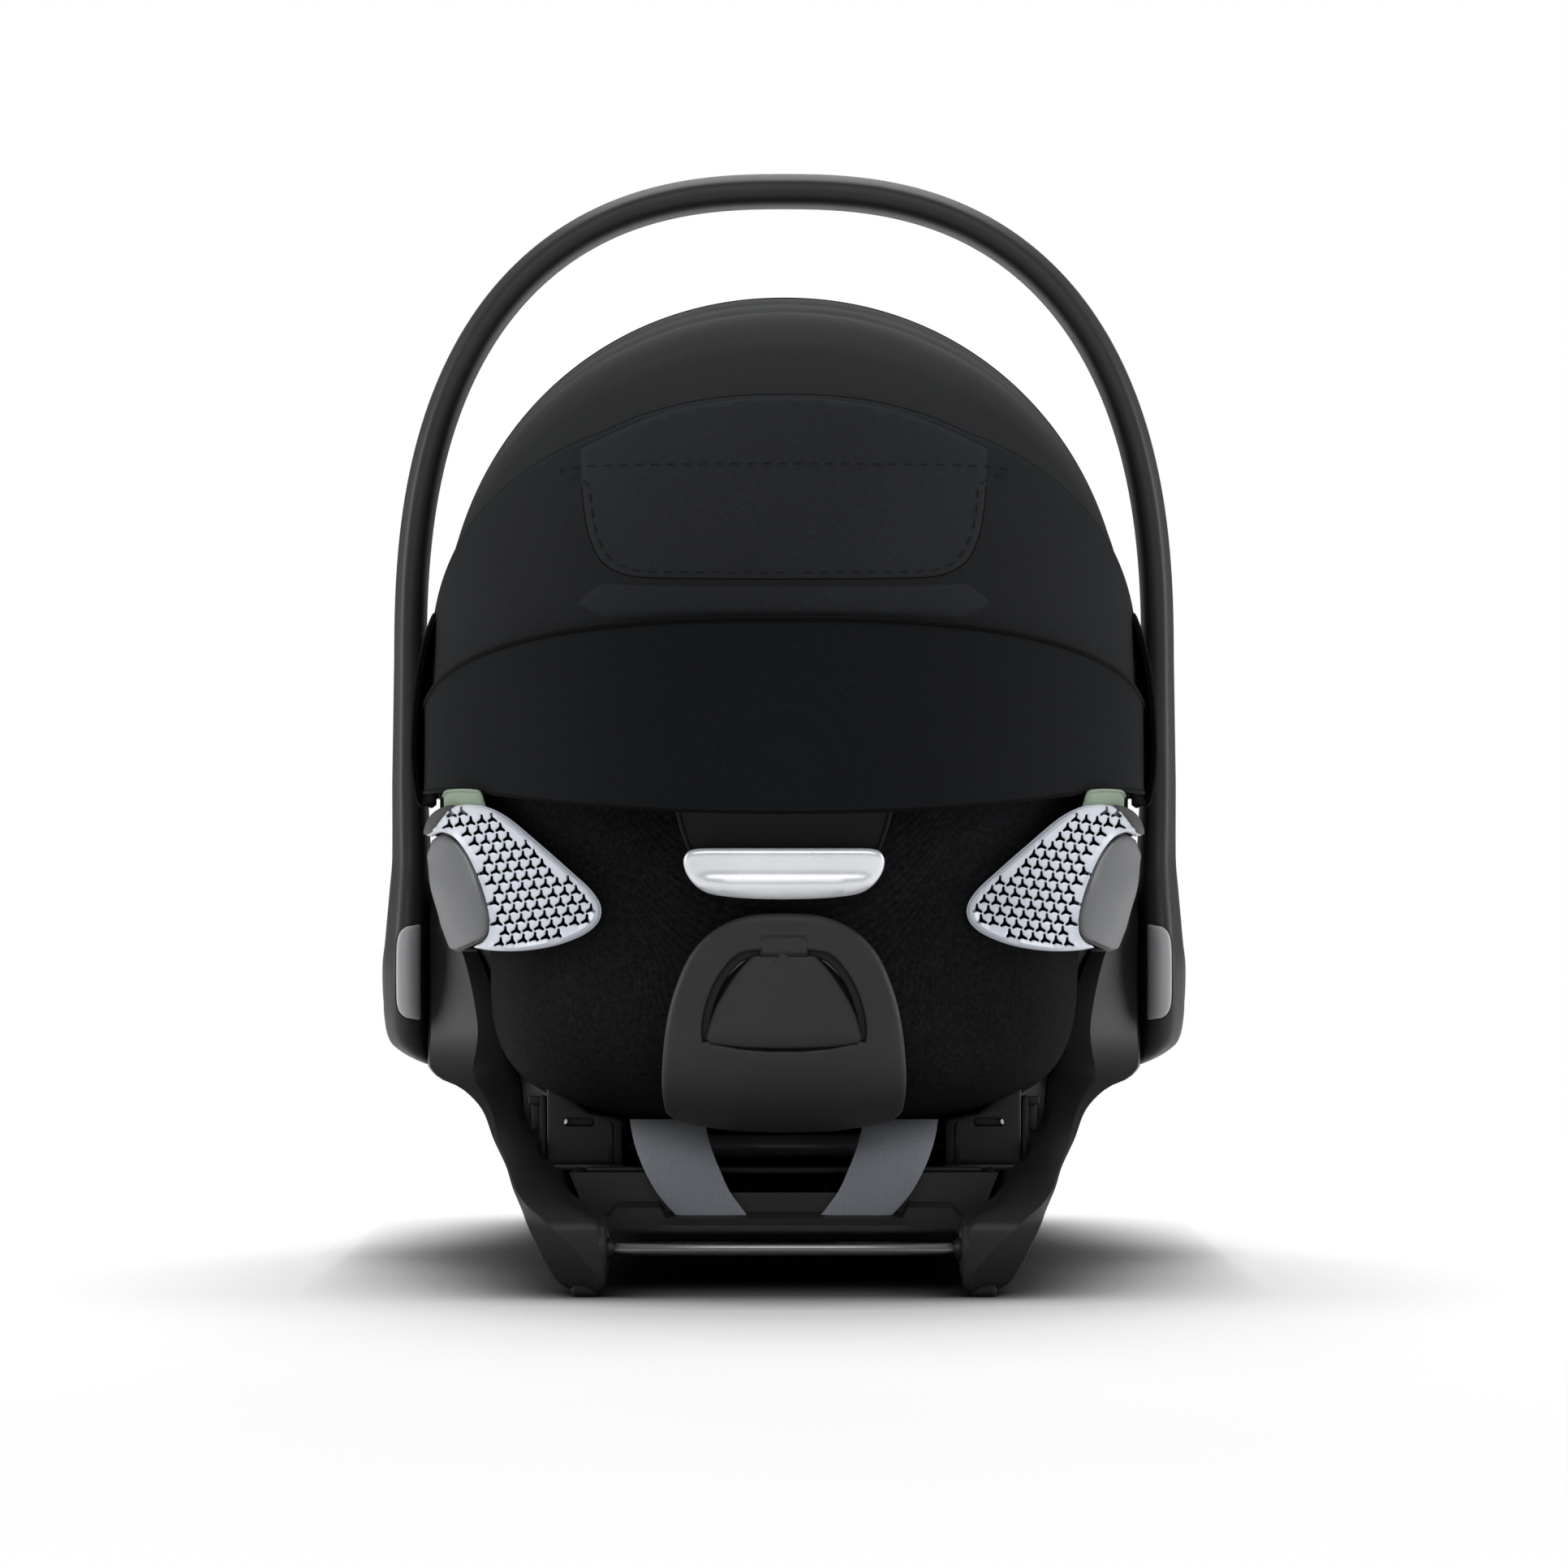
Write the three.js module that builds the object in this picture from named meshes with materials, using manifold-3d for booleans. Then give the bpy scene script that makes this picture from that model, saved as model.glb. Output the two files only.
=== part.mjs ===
// Infant carrier car seat with a turning carry handle, a reclining seat and a folding canopy.
// Millimetres, +Z up, +X to the right as seen from the head end, the head end lies at -Y.
// The origin is under the middle of the seat, on the floor.
import * as THREE from "three";
import { mergeVertices } from "three/addons/utils/BufferGeometryUtils.js";
import Module from "manifold-3d";

const wasm = await Module();
wasm.setup();

// Driving dimensions

const FIT = { gap: 0.3, overrun: 20, slide: 0.6 };

const HUB = { y: 0, height: 153, pinRadius: 9, pinSeat: 32, pinEnd: 4 };

const HANDLE = {
  overCanopy: 74.04,
  besideCanopy: 24.8,
  archStart: 326,
  archPower: 2.5,
  barThickness: 18,
  legThickness: 17,
  gripDepth: 34,
  legDepth: 46,
  podInner: 194.1,
  podOuter: 219.7,
  podTop: 218,
  podBottom: 103.5,
  podDepth: 92,
};

const HANDLE_BUTTON = {
  bottom: 129.5,
  top: 180,
  inner: 197.5,
  outer: 210,
  proud: 1.6,
  depth: 7,
  travel: 4,
};

const CARRIER = {
  halfWidth: 193.8,
  rearReach: 300,
  frontReach: 255,
  skidArch: 12,
  edgeRound: 14,
  pocketDepth: 3.5,
};

const FOOT = {
  inner: 86.6,
  outer: 128,
  length: 42,
  height: 50,
  padInner: 90,
  padWidth: 13,
  padLength: 26,
  padHeight: 3,
};

const LATCH_BAR = { radius: 3.2, height: 23.5, inset: 16, seat: 11 };

const PAN = {
  bottom: 27,
  top: 58,
  halfTop: 107.4,
  halfBottom: 95,
  rear: 238,
  front: 208,
  wall: 4,
  floor: 5,
  lip: 12,
  lipHeight: 5,
  notchHalf: 32,
  notchDepth: 9,
  tabHalf: 15,
  tabDrop: 4,
  slotLength: 62,
  slotWidth: 16,
};

const CROSS_TUBE = { radius: 6, y: -150, height: 66.7, seat: 8 };

const RECLINE = { axisY: -190, axisHeight: 440 };

const ROCKER = {
  radius: 410,
  rear: -100,
  inner: 60,
  thickness: 8,
};

const ROLLER = { radius: 6, angle: 24, axleRadius: 3, earThickness: 5, earHalf: 9 };

const SEAT = {
  bottom: 80,
  belly: 165,
  rim: 250,
  headRim: 318,
  halfWidth: 152,
  flare: 26,
  middleY: -60,
  backReach: 232,
  backFlare: 14,
  footReach: 330.5,
  footFlare: 64,
  bellyPower: 3.4,
  backPower: 3,
  footPower: 2.5,
  wall: 4,
  rimDrop: 3,
};

const COVER = { thickness: 2.5, topEdge: 254, bottomEdge: -112, turnHeight: 92 };

const RECESS = { halfTop: 51.5, halfBottom: 47, top: 238, bottom: 192, sunk: 1.3 };

const GRIP_LEVER = {
  half: 49.5,
  bottom: 195,
  top: 220,
  standOff: 9,
  proud: 17,
  corner: 9,
  stemHalf: 7,
  stemAt: 33,
};

const PLATE = {
  half: 60.5,
  bottom: 78.7,
  top: 188.3,
  proud: 15.8,
  front: -198,
  linerThickness: 1.9,
  flapThickness: 3.9,
  flapProud: 0.4,
  tabHalf: 11.3,
  tabTop: 177,
  pinRadius: 1.6,
  pinSeat: 3,
  hingeHeight: 127,
};

const WING = {
  inner: 90,
  outer: 184,
  bottom: 169,
  top: 242.5,
  proud: 12,
  wide: 10,
  front: -168,
  wall: 2.6,
  hole: 5.4,
  arm: 1.9,
  columnPitch: 14.2,
  rowPitch: 12.2,
  margin: 6.4,
};

const CAP = { middleY: -176, halfLength: 52, bottom: 168.5, top: 226, proud: 16 };

const GUIDE = {
  inner: 150,
  outer: 174,
  bottom: 236,
  top: 248.4,
  front: -186,
  proud: 11,
  wall: 2.4,
  slotBottom: 243.4,
};

const REAR_STRAP = { topY: -214, topHeight: 74.5, bottomY: -243.5, thickness: 1.6, bend: 5 };

const LINER = {
  headY: -268,
  headHeight: 305,
  lumbarY: -110,
  lumbarHeight: 124,
  bottomY: 0,
  bottomHeight: 104,
  footY: 298,
  footHeight: 232,
  halfWidth: 156,
  edge: 11,
  foam: 26,
  runOn: 90,
  cushion: 12,
  insert: 14,
  sideDrop: 8,
};

const HEADREST = {
  from: 84,
  length: 112,
  half: 108,
  depth: 74,
  wall: 3,
  pad: 15,
};

const HARNESS = {
  webbing: 25,
  thickness: 1.5,
  padWidth: 46,
  padThickness: 8,
  shoulderX: 38,
  buckleX: 17,
  crotchWidth: 56,
  crotchThickness: 7,
  clearance: 0.4,
  lapReach: 96,
};

const BUCKLE = {
  half: 25,
  length: 62,
  height: 17,
  buttonHalf: 13,
  buttonLength: 22,
  buttonProud: 2,
  travel: 3,
};

const ADJUSTER = {
  half: 24,
  length: 44,
  height: 13,
  buttonHalf: 11,
  buttonLength: 16,
  buttonProud: 2,
  travel: 3,
};

const CANOPY = {
  pivotY: -10,
  pivotHeight: 262,
  half: 190,
  straight: 68,
  cloth: 1.6,
  pivotRadius: 13,
  behindShell: 24,
  frontShare: 0.808,
  armLength: 48,
  hemHeight: 237.5,
  hemLift: 12.5,
  hemShare: 0.84,
  bowRadius: 2.6,
};

const BRACKET = {
  inner: 83,
  outer: 115.4,
  rear: 186,
  front: 132,
  bottom: 58.3,
  top: 93,
  slotLength: 26,
  slotHeight: 7,
  pinRadius: 2.6,
  pinProud: 3,
};

// Sizes that follow from others
const shellBack = SEAT.middleY - SEAT.backReach - SEAT.backFlare;
const canopyRadius = CANOPY.pivotY - shellBack + CANOPY.behindShell;
const canopyFront = canopyRadius * CANOPY.frontShare;
const handleTop = CANOPY.pivotHeight + canopyFront + HANDLE.overCanopy;
const handleHalf = CANOPY.half + HANDLE.besideCanopy;

// Materials

function material(color, roughness, metalness) {
  return new THREE.MeshStandardMaterial({ color, roughness, metalness });
}

const MATERIALS = {
  housing: material(0x35373a, 0.55, 0),
  frame: material(0x2f3133, 0.5, 0),
  black: material(0x17181a, 0.6, 0),
  button: material(0x77797c, 0.45, 0),
  steel: material(0xb9bcc0, 0.25, 1),
  rubber: material(0x1b1b1c, 0.9, 0),
  shell: material(0x202225, 0.6, 0),
  fabric: material(0x101114, 0.95, 0),
  smooth: material(0x0c0d0f, 0.5, 0),
  canopy: material(0x1d1f22, 0.85, 0),
  silver: material(0xc8cad6, 0.25, 0.6),
  green: material(0x8fa193, 0.7, 0),
  pale: material(0xc3c8d0, 0.45, 0.1),
  brushed: material(0x75777a, 0.4, 0.5),
  webbing: material(0x636d7b, 0.9, 0),
  foam: material(0xd8d9d6, 0.9, 0),
  liner: material(0x24272b, 0.95, 0),
  red: material(0xb02a24, 0.4, 0),
};

// Solids

function radians(degrees) {
  return THREE.MathUtils.degToRad(degrees);
}

function solidOf(geometry) {
  const bare = geometry.index ? geometry.toNonIndexed() : geometry.clone();
  bare.deleteAttribute("normal");
  bare.deleteAttribute("uv");
  const merged = mergeVertices(bare, 1e-4);
  const made = new wasm.Manifold(
    new wasm.Mesh({
      numProp: 3,
      vertProperties: merged.attributes.position.array,
      triVerts: new Uint32Array(merged.index.array),
    }),
  );
  return made;
}

function geometryOf(solid) {
  const mesh = solid.getMesh();
  const geometry = new THREE.BufferGeometry();
  geometry.setAttribute("position", new THREE.BufferAttribute(new Float32Array(mesh.vertProperties), 3));
  geometry.setIndex(new THREE.BufferAttribute(new Uint32Array(mesh.triVerts), 1));
  return geometry;
}

function cut(base, ...tools) {
  let made = solidOf(base);
  for (const tool of tools) made = made.subtract(solidOf(tool));
  return geometryOf(made);
}

function join(base, ...others) {
  let made = solidOf(base);
  for (const other of others) made = made.add(solidOf(other));
  return geometryOf(made);
}

function common(base, ...others) {
  let made = solidOf(base);
  for (const other of others) made = made.intersect(solidOf(other));
  return geometryOf(made);
}

// Turns the faces outwards when the enclosed volume comes out negative.
function facingOut(points, faces) {
  let volume = 0;
  const cross = new THREE.Vector3();
  for (const [a, b, c] of faces) {
    volume += points[a].dot(cross.crossVectors(points[b], points[c]));
  }
  const index = volume < 0 ? faces.flatMap(([a, b, c]) => [a, c, b]) : faces.flat();
  const geometry = new THREE.BufferGeometry().setFromPoints(points);
  geometry.setIndex(index);
  return geometry;
}

function middleOf(points) {
  const middle = new THREE.Vector3();
  for (const point of points) middle.add(point);
  return middle.divideScalar(points.length);
}

// A closed body through rings of equally many points, with a fan at each end.
function loft(rings) {
  const count = rings[0].length;
  const points = rings.flat();
  const faces = [];
  for (let i = 0; i + 1 < rings.length; i += 1) {
    for (let j = 0; j < count; j += 1) {
      const next = (j + 1) % count;
      const a = i * count + j;
      const b = i * count + next;
      const c = (i + 1) * count + next;
      const d = (i + 1) * count + j;
      faces.push([a, b, c], [a, c, d]);
    }
  }
  const first = points.push(middleOf(rings[0])) - 1;
  const last = points.push(middleOf(rings[rings.length - 1])) - 1;
  const lastRing = (rings.length - 1) * count;
  for (let j = 0; j < count; j += 1) {
    const next = (j + 1) % count;
    faces.push([first, next, j], [last, lastRing + j, lastRing + next]);
  }
  return facingOut(points, faces);
}

// A closed body between two grids of points of the same size, such as a panel's two faces.
function slab(outer, inner) {
  const rows = outer.length;
  const columns = outer[0].length;
  const points = [...outer.flat(), ...inner.flat()];
  const faces = [];
  const offset = rows * columns;
  for (let i = 0; i + 1 < rows; i += 1) {
    for (let j = 0; j + 1 < columns; j += 1) {
      const a = i * columns + j;
      const b = a + 1;
      const d = a + columns;
      const c = d + 1;
      faces.push([a, b, c], [a, c, d]);
      faces.push([offset + a, offset + c, offset + b], [offset + a, offset + d, offset + c]);
    }
  }
  const rim = [];
  for (let j = 0; j < columns; j += 1) rim.push(j);
  for (let i = 1; i < rows; i += 1) rim.push(i * columns + columns - 1);
  for (let j = columns - 2; j >= 0; j -= 1) rim.push((rows - 1) * columns + j);
  for (let i = rows - 2; i > 0; i -= 1) rim.push(i * columns);
  rim.forEach((a, k) => {
    const b = rim[(k + 1) % rim.length];
    faces.push([a, offset + a, offset + b], [a, offset + b, b]);
  });
  return facingOut(points, faces);
}

function extruded(shape, depth, curveSegments) {
  return new THREE.ExtrudeGeometry(shape, { depth, bevelEnabled: false, curveSegments });
}

const SIDE_BASIS = new THREE.Matrix4().makeBasis(
  new THREE.Vector3(0, 1, 0),
  new THREE.Vector3(0, 0, 1),
  new THREE.Vector3(1, 0, 0),
);

// A prism whose outline is drawn as (x, z) and which runs along Y.
function rearPrism(shape, from, to, curveSegments = 6) {
  return extruded(shape, to - from, curveSegments)
    .rotateX(Math.PI / 2)
    .translate(0, to, 0);
}

// A prism whose outline is drawn as (y, z) and which runs along X.
function sidePrism(shape, from, to, curveSegments = 6) {
  return extruded(shape, to - from, curveSegments)
    .applyMatrix4(SIDE_BASIS)
    .translate(from, 0, 0);
}

function polygon(points) {
  return new THREE.Shape(points.map(([a, b]) => new THREE.Vector2(a, b)));
}

function box(x0, x1, y0, y1, z0, z1) {
  return new THREE.BoxGeometry(x1 - x0, y1 - y0, z1 - z0).translate(
    (x0 + x1) / 2,
    (y0 + y1) / 2,
    (z0 + z1) / 2,
  );
}

function roundedRect(x0, x1, y0, y1, radius) {
  const shape = new THREE.Shape();
  shape.moveTo(x0 + radius, y0);
  shape.lineTo(x1 - radius, y0);
  shape.absarc(x1 - radius, y0 + radius, radius, -Math.PI / 2, 0);
  shape.lineTo(x1, y1 - radius);
  shape.absarc(x1 - radius, y1 - radius, radius, 0, Math.PI / 2);
  shape.lineTo(x0 + radius, y1);
  shape.absarc(x0 + radius, y1 - radius, radius, Math.PI / 2, Math.PI);
  shape.lineTo(x0, y0 + radius);
  shape.absarc(x0 + radius, y0 + radius, radius, Math.PI, Math.PI * 1.5);
  return shape;
}

// A round bar along X.
function barX(radius, x0, x1, y, z, sides = 16) {
  return new THREE.CylinderGeometry(radius, radius, x1 - x0, sides)
    .rotateZ(Math.PI / 2)
    .translate((x0 + x1) / 2, y, z);
}

function mirrored(geometry) {
  const flipped = geometry.clone();
  flipped.scale(-1, 1, 1);
  const index = flipped.index
    ? Array.from(flipped.index.array)
    : [...Array(flipped.attributes.position.count).keys()];
  for (let i = 0; i < index.length; i += 3) {
    [index[i + 1], index[i + 2]] = [index[i + 2], index[i + 1]];
  }
  flipped.setIndex(index);
  return flipped;
}

function signedPower(value, power) {
  return Math.sign(value) * Math.abs(value) ** power;
}

// The assembly

const carSeat = new THREE.Group();
carSeat.name = "child_car_seat";

function add(name, geometry, finish) {
  const mesh = new THREE.Mesh(geometry, finish);
  mesh.name = name;
  geometry.computeVertexNormals();
  carSeat.add(mesh);
  return mesh;
}

// Adds the right-hand piece and its mirror image.
function addPair(name, geometry, finish) {
  add(`${name}_right`, geometry, finish);
  add(`${name}_left`, mirrored(geometry), finish);
}

// Carrier side frames: a leaning, filled arch from the skid up to the handle hub

// Height, inner side, outer side, rear end and front end, as shares of the hub's height,
// the carrier's half width and its two reaches.
const sideFrameShares = [
  [0.026, 0.505, 0.575, 0.93, 0.9],
  [0.1, 0.53, 0.63, 0.98, 0.985],
  [0.229, 0.557, 0.666, 0.985, 1],
  [0.327, 0.562, 0.691, 0.917, 0.94],
  [0.392, 0.624, 0.717, 0.8, 0.843],
  [0.47, 0.66, 0.769, 0.633, 0.706],
  [0.549, 0.7, 0.815, 0.467, 0.549],
  [0.614, 0.717, 0.893, 0.333, 0.412],
  [0.645, 0.728, 0.965, 0.283, 0.353],
  [0.69, 0.74, 1, 0.25, 0.314],
  [0.837, 0.769, 1, 0.207, 0.259],
  [1.06, 0.836, 1, 0.173, 0.22],
  [1.24, 0.888, 0.998, 0.127, 0.157],
  [1.34, 0.93, 0.985, 0.067, 0.078],
];

const endSteps = 3;

// A long rounded outline with its points spread along both sides, so that it can bend.
function stadium(x0, x1, y0, y1, round, z) {
  const points = [];
  const middleX = (x0 + x1) / 2;
  const halfX = (x1 - x0) / 2;
  const end = Math.min(round, (y1 - y0) / 2);
  const sideShares = [0.25, 0.5, 0.75];
  for (let i = 0; i <= endSteps; i += 1) {
    const turn = (Math.PI * i) / endSteps;
    const x = middleX + halfX * signedPower(Math.cos(turn), 0.6);
    points.push([x, y1 - end + end * Math.sin(turn) ** 0.8, z]);
  }
  for (const share of sideShares) points.push([x0, y1 - end + (y0 + end - (y1 - end)) * share, z]);
  for (let i = 0; i <= endSteps; i += 1) {
    const turn = (Math.PI * i) / endSteps;
    const x = middleX - halfX * signedPower(Math.cos(turn), 0.6);
    points.push([x, y0 + end - end * Math.sin(turn) ** 0.8, z]);
  }
  for (const share of sideShares) points.push([x1, y0 + end + (y1 - end - (y0 + end)) * share, z]);
  return points;
}

function sideFrameRing([zShare, inShare, outShare, rearShare, frontShare]) {
  const z = HUB.height * zShare;
  const rear = -CARRIER.rearReach * rearShare;
  const front = CARRIER.frontReach * frontShare;
  const outline = stadium(
    CARRIER.halfWidth * inShare,
    CARRIER.halfWidth * outShare,
    rear,
    front,
    CARRIER.edgeRound,
    z,
  );
  const middle = (rear + front) / 2;
  const half = (front - rear) / 2;
  const low = Math.max(0, 1 - zShare / 0.5);
  return outline.map(([x, y, height]) => {
    const along = (y - middle) / half;
    return new THREE.Vector3(x, y, height + CARRIER.skidArch * low * (1 - along * along));
  });
}

// Height, inner and outer side, as shares of the foot's height and width; length share.
const footShares = [
  [0.066, 0.12, 0.6, 0.72],
  [0.2, 0.02, 0.84, 0.92],
  [0.42, 0, 0.97, 1],
  [0.7, 0, 1, 0.98],
  [0.86, 0.12, 1, 0.9],
  [1, 0.42, 1, 0.72],
];

function footBlock(end) {
  const width = FOOT.outer - FOOT.inner;
  const reach = end < 0 ? CARRIER.rearReach : CARRIER.frontReach;
  const middle = end * (reach - FOOT.length / 2);
  const rings = footShares.map(([zShare, inShare, outShare, lengthShare]) => {
    const half = (FOOT.length / 2) * lengthShare;
    return stadium(
      FOOT.inner + width * inShare,
      FOOT.inner + width * outShare,
      middle - half,
      middle + half,
      half * 0.6,
      FOOT.height * zShare,
    ).map(([x, y, z]) => new THREE.Vector3(x, y, z));
  });
  return loft(rings);
}

function latchBarY(end) {
  return end * ((end < 0 ? CARRIER.rearReach : CARRIER.frontReach) - LATCH_BAR.inset);
}

function sidePocket() {
  const wallShares = [
    [-0.62, 0.33],
    [0.62, 0.33],
    [0.3, 0.5],
    [0.14, 0.62],
    [-0.12, 0.62],
    [-0.3, 0.5],
  ];
  const outline = wallShares.map(([y, z]) => [
    y * (y < 0 ? CARRIER.rearReach : CARRIER.frontReach),
    z * HUB.height + CARRIER.pocketDepth,
  ]);
  return sidePrism(polygon(outline), CARRIER.halfWidth * 0.5, CARRIER.halfWidth + FIT.overrun);
}

function sideFrame() {
  const shell = loft(sideFrameShares.map(sideFrameRing));
  const inner = loft(
    sideFrameShares.map(sideFrameRing).map((ring) =>
      ring.map((point) => point.clone().setX(point.x - CARRIER.pocketDepth)),
    ),
  );
  const pocket = cut(common(shell, sidePocket()), inner);
  const hubBore = barX(
    HUB.pinRadius + FIT.gap,
    0,
    CARRIER.halfWidth + FIT.overrun,
    HUB.y,
    HUB.height,
  );
  const sockets = [-1, 1].map((end) =>
    barX(
      LATCH_BAR.radius + FIT.gap,
      0,
      FOOT.inner + LATCH_BAR.seat + FIT.gap,
      latchBarY(end),
      LATCH_BAR.height,
      12,
    ),
  );
  return cut(join(shell, footBlock(-1), footBlock(1)), pocket, hubBore, ...sockets);
}

addPair("carrier_side", sideFrame(), MATERIALS.frame);

function footPad(end) {
  const reach = end < 0 ? CARRIER.rearReach : CARRIER.frontReach;
  const middle = end * (reach - FOOT.length / 2);
  const outline = roundedRect(
    FOOT.padInner,
    FOOT.padInner + FOOT.padWidth,
    middle - FOOT.padLength / 2,
    middle + FOOT.padLength / 2,
    FOOT.padWidth / 3,
  );
  return extruded(outline, FOOT.padHeight, 2);
}

addPair("foot_pad_rear", footPad(-1), MATERIALS.rubber);
addPair("foot_pad_front", footPad(1), MATERIALS.rubber);

function latchBar(end) {
  const half = FOOT.inner + LATCH_BAR.seat;
  return barX(LATCH_BAR.radius, -half, half, latchBarY(end), LATCH_BAR.height);
}

add("latch_bar_rear", latchBar(-1), MATERIALS.steel);
add("latch_bar_front", latchBar(1), MATERIALS.steel);

// Base pan: an open tray between the side frames

function panSection(inset, bottom, top, y) {
  const half = (z) => {
    const share = (z - PAN.bottom) / (PAN.top - PAN.bottom);
    return PAN.halfBottom + (PAN.halfTop - PAN.halfBottom) * share - inset;
  };
  return [
    new THREE.Vector3(-half(bottom), y, bottom),
    new THREE.Vector3(half(bottom), y, bottom),
    new THREE.Vector3(half(top), y, top),
    new THREE.Vector3(-half(top), y, top),
  ];
}

function rollerCentre() {
  const reach = ROCKER.radius + ROLLER.radius + FIT.gap;
  return {
    y: RECLINE.axisY + reach * Math.sin(radians(ROLLER.angle)),
    z: RECLINE.axisHeight - reach * Math.cos(radians(ROLLER.angle)),
  };
}

function basePan() {
  const body = loft([-PAN.rear, PAN.front].map((y) => panSection(0, PAN.bottom, PAN.top, y)));
  const well = loft(
    [-PAN.rear + PAN.wall, PAN.front - PAN.wall].map((y) =>
      panSection(PAN.wall, PAN.bottom + PAN.floor, PAN.top + PAN.floor, y),
    ),
  );
  const lip = loft(
    [-PAN.rear - PAN.lip, -PAN.rear + PAN.wall].map((y) =>
      panSection(PAN.wall, PAN.bottom, PAN.bottom + PAN.lipHeight, y),
    ),
  );
  const notches = [-1, 1].map((side) =>
    box(
      side < 0 ? -PAN.notchHalf : PAN.tabHalf,
      side < 0 ? -PAN.tabHalf : PAN.notchHalf,
      -PAN.rear - FIT.overrun,
      -PAN.rear + PAN.wall + PAN.floor,
      PAN.top - PAN.notchDepth,
      PAN.top + FIT.overrun,
    ),
  );
  const tabCut = box(
    -PAN.notchHalf,
    PAN.notchHalf,
    -PAN.rear - FIT.overrun,
    -PAN.rear + PAN.wall + PAN.floor,
    PAN.top - PAN.tabDrop,
    PAN.top + FIT.overrun,
  );
  const floorSlots = [];
  for (const yShare of [0.18, 0.62]) {
    for (const side of [-1, 0, 1]) {
      const x = side * PAN.slotLength * 1.1;
      const y = PAN.front * yShare;
      const outline = roundedRect(
        x - PAN.slotLength / 2,
        x + PAN.slotLength / 2,
        y - PAN.slotWidth / 2,
        y + PAN.slotWidth / 2,
        PAN.slotWidth / 2.2,
      );
      floorSlots.push(extruded(outline, PAN.top, 2).translate(0, 0, PAN.bottom - PAN.floor));
    }
  }
  const roller = rollerCentre();
  const earInner = ROCKER.inner - ROLLER.earThickness - FIT.slide * 2;
  const earOuter = ROCKER.inner + ROCKER.thickness + FIT.slide * 2;
  const ears = [];
  for (const side of [-1, 1]) {
    for (const start of [earInner, earOuter]) {
      const x = side < 0 ? -start - ROLLER.earThickness : start;
      ears.push(
        box(
          x,
          x + ROLLER.earThickness,
          roller.y - ROLLER.earHalf,
          roller.y + ROLLER.earHalf,
          PAN.bottom + PAN.floor / 2,
          roller.z + ROLLER.axleRadius * 1.8,
        ),
      );
    }
  }
  const axle = barX(ROLLER.axleRadius + FIT.gap, -PAN.halfTop, PAN.halfTop, roller.y, roller.z, 12);
  return cut(cut(join(cut(body, well), lip, ...ears), ...notches, tabCut, ...floorSlots), axle);
}

add("base_pan", basePan(), MATERIALS.black);

// Roller shaft: one axle with a roller under each rocker

function rollerShaft() {
  const centre = rollerCentre();
  const half = ROCKER.inner + ROCKER.thickness + FIT.slide * 2 + ROLLER.earThickness;
  const rollers = [-1, 1].map((side) => {
    const x0 = side < 0 ? -ROCKER.inner - ROCKER.thickness : ROCKER.inner;
    return barX(ROLLER.radius, x0, x0 + ROCKER.thickness, centre.y, centre.z, 18);
  });
  return join(barX(ROLLER.axleRadius, -half, half, centre.y, centre.z, 12), ...rollers);
}

add("recline_roller_shaft", rollerShaft(), MATERIALS.steel);

// Hub pins, which the handle turns on

function hubPin() {
  const inner = CARRIER.halfWidth - HUB.pinSeat;
  const outer = HANDLE.podOuter - HUB.pinEnd;
  return barX(HUB.pinRadius, inner, outer, HUB.y, HUB.height);
}

// Handle: one moulded arch whose legs widen into the hub pods

function handlePathPoint(share) {
  const a = handleHalf - HANDLE.legThickness / 2;
  const b = handleTop - HANDLE.barThickness / 2 - HANDLE.archStart;
  const turn = share * Math.PI;
  const power = 2 / HANDLE.archPower;
  return new THREE.Vector3(
    a * signedPower(Math.cos(turn), power),
    0,
    HANDLE.archStart + b * Math.sin(turn) ** power,
  );
}

const podShares = {
  // height between the pod's bottom and its top, inner side, outer side, depth
  rings: [
    [1.35, 0.12, 0.845, 0.5],
    [1, 0.045, 0.835, 0.62],
    [0.82, 0, 0.885, 0.8],
    [0.66, 0, 0.94, 0.93],
    [0.46, 0, 1, 1],
    [0.28, 0, 0.995, 0.95],
    [0.15, 0, 0.95, 0.78],
    [0.06, 0.04, 0.78, 0.55],
    [0, 0.2, 0.5, 0.3],
  ],
};

function barRing(centre, across, halfThickness, halfDepth, count) {
  const ring = [];
  for (let j = 0; j < count; j += 1) {
    const turn = (2 * Math.PI * j) / count;
    const out = halfThickness * signedPower(Math.cos(turn), 0.72);
    const along = halfDepth * signedPower(Math.sin(turn), 0.72);
    ring.push(
      centre
        .clone()
        .addScaledVector(across, out)
        .add(new THREE.Vector3(0, along, 0)),
    );
  }
  return ring;
}

function podRing([heightShare, innerShare, outerShare, depthShare], side, count) {
  const z = HANDLE.podBottom + (HANDLE.podTop - HANDLE.podBottom) * heightShare;
  const width = HANDLE.podOuter - HANDLE.podInner;
  const inner = HANDLE.podInner + width * innerShare;
  const outer = HANDLE.podInner + width * outerShare;
  const centre = new THREE.Vector3((side * (inner + outer)) / 2, HUB.y, z);
  const across = new THREE.Vector3(side, 0, 0);
  return barRing(centre, across, (outer - inner) / 2, (HANDLE.podDepth / 2) * depthShare, count);
}

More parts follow.
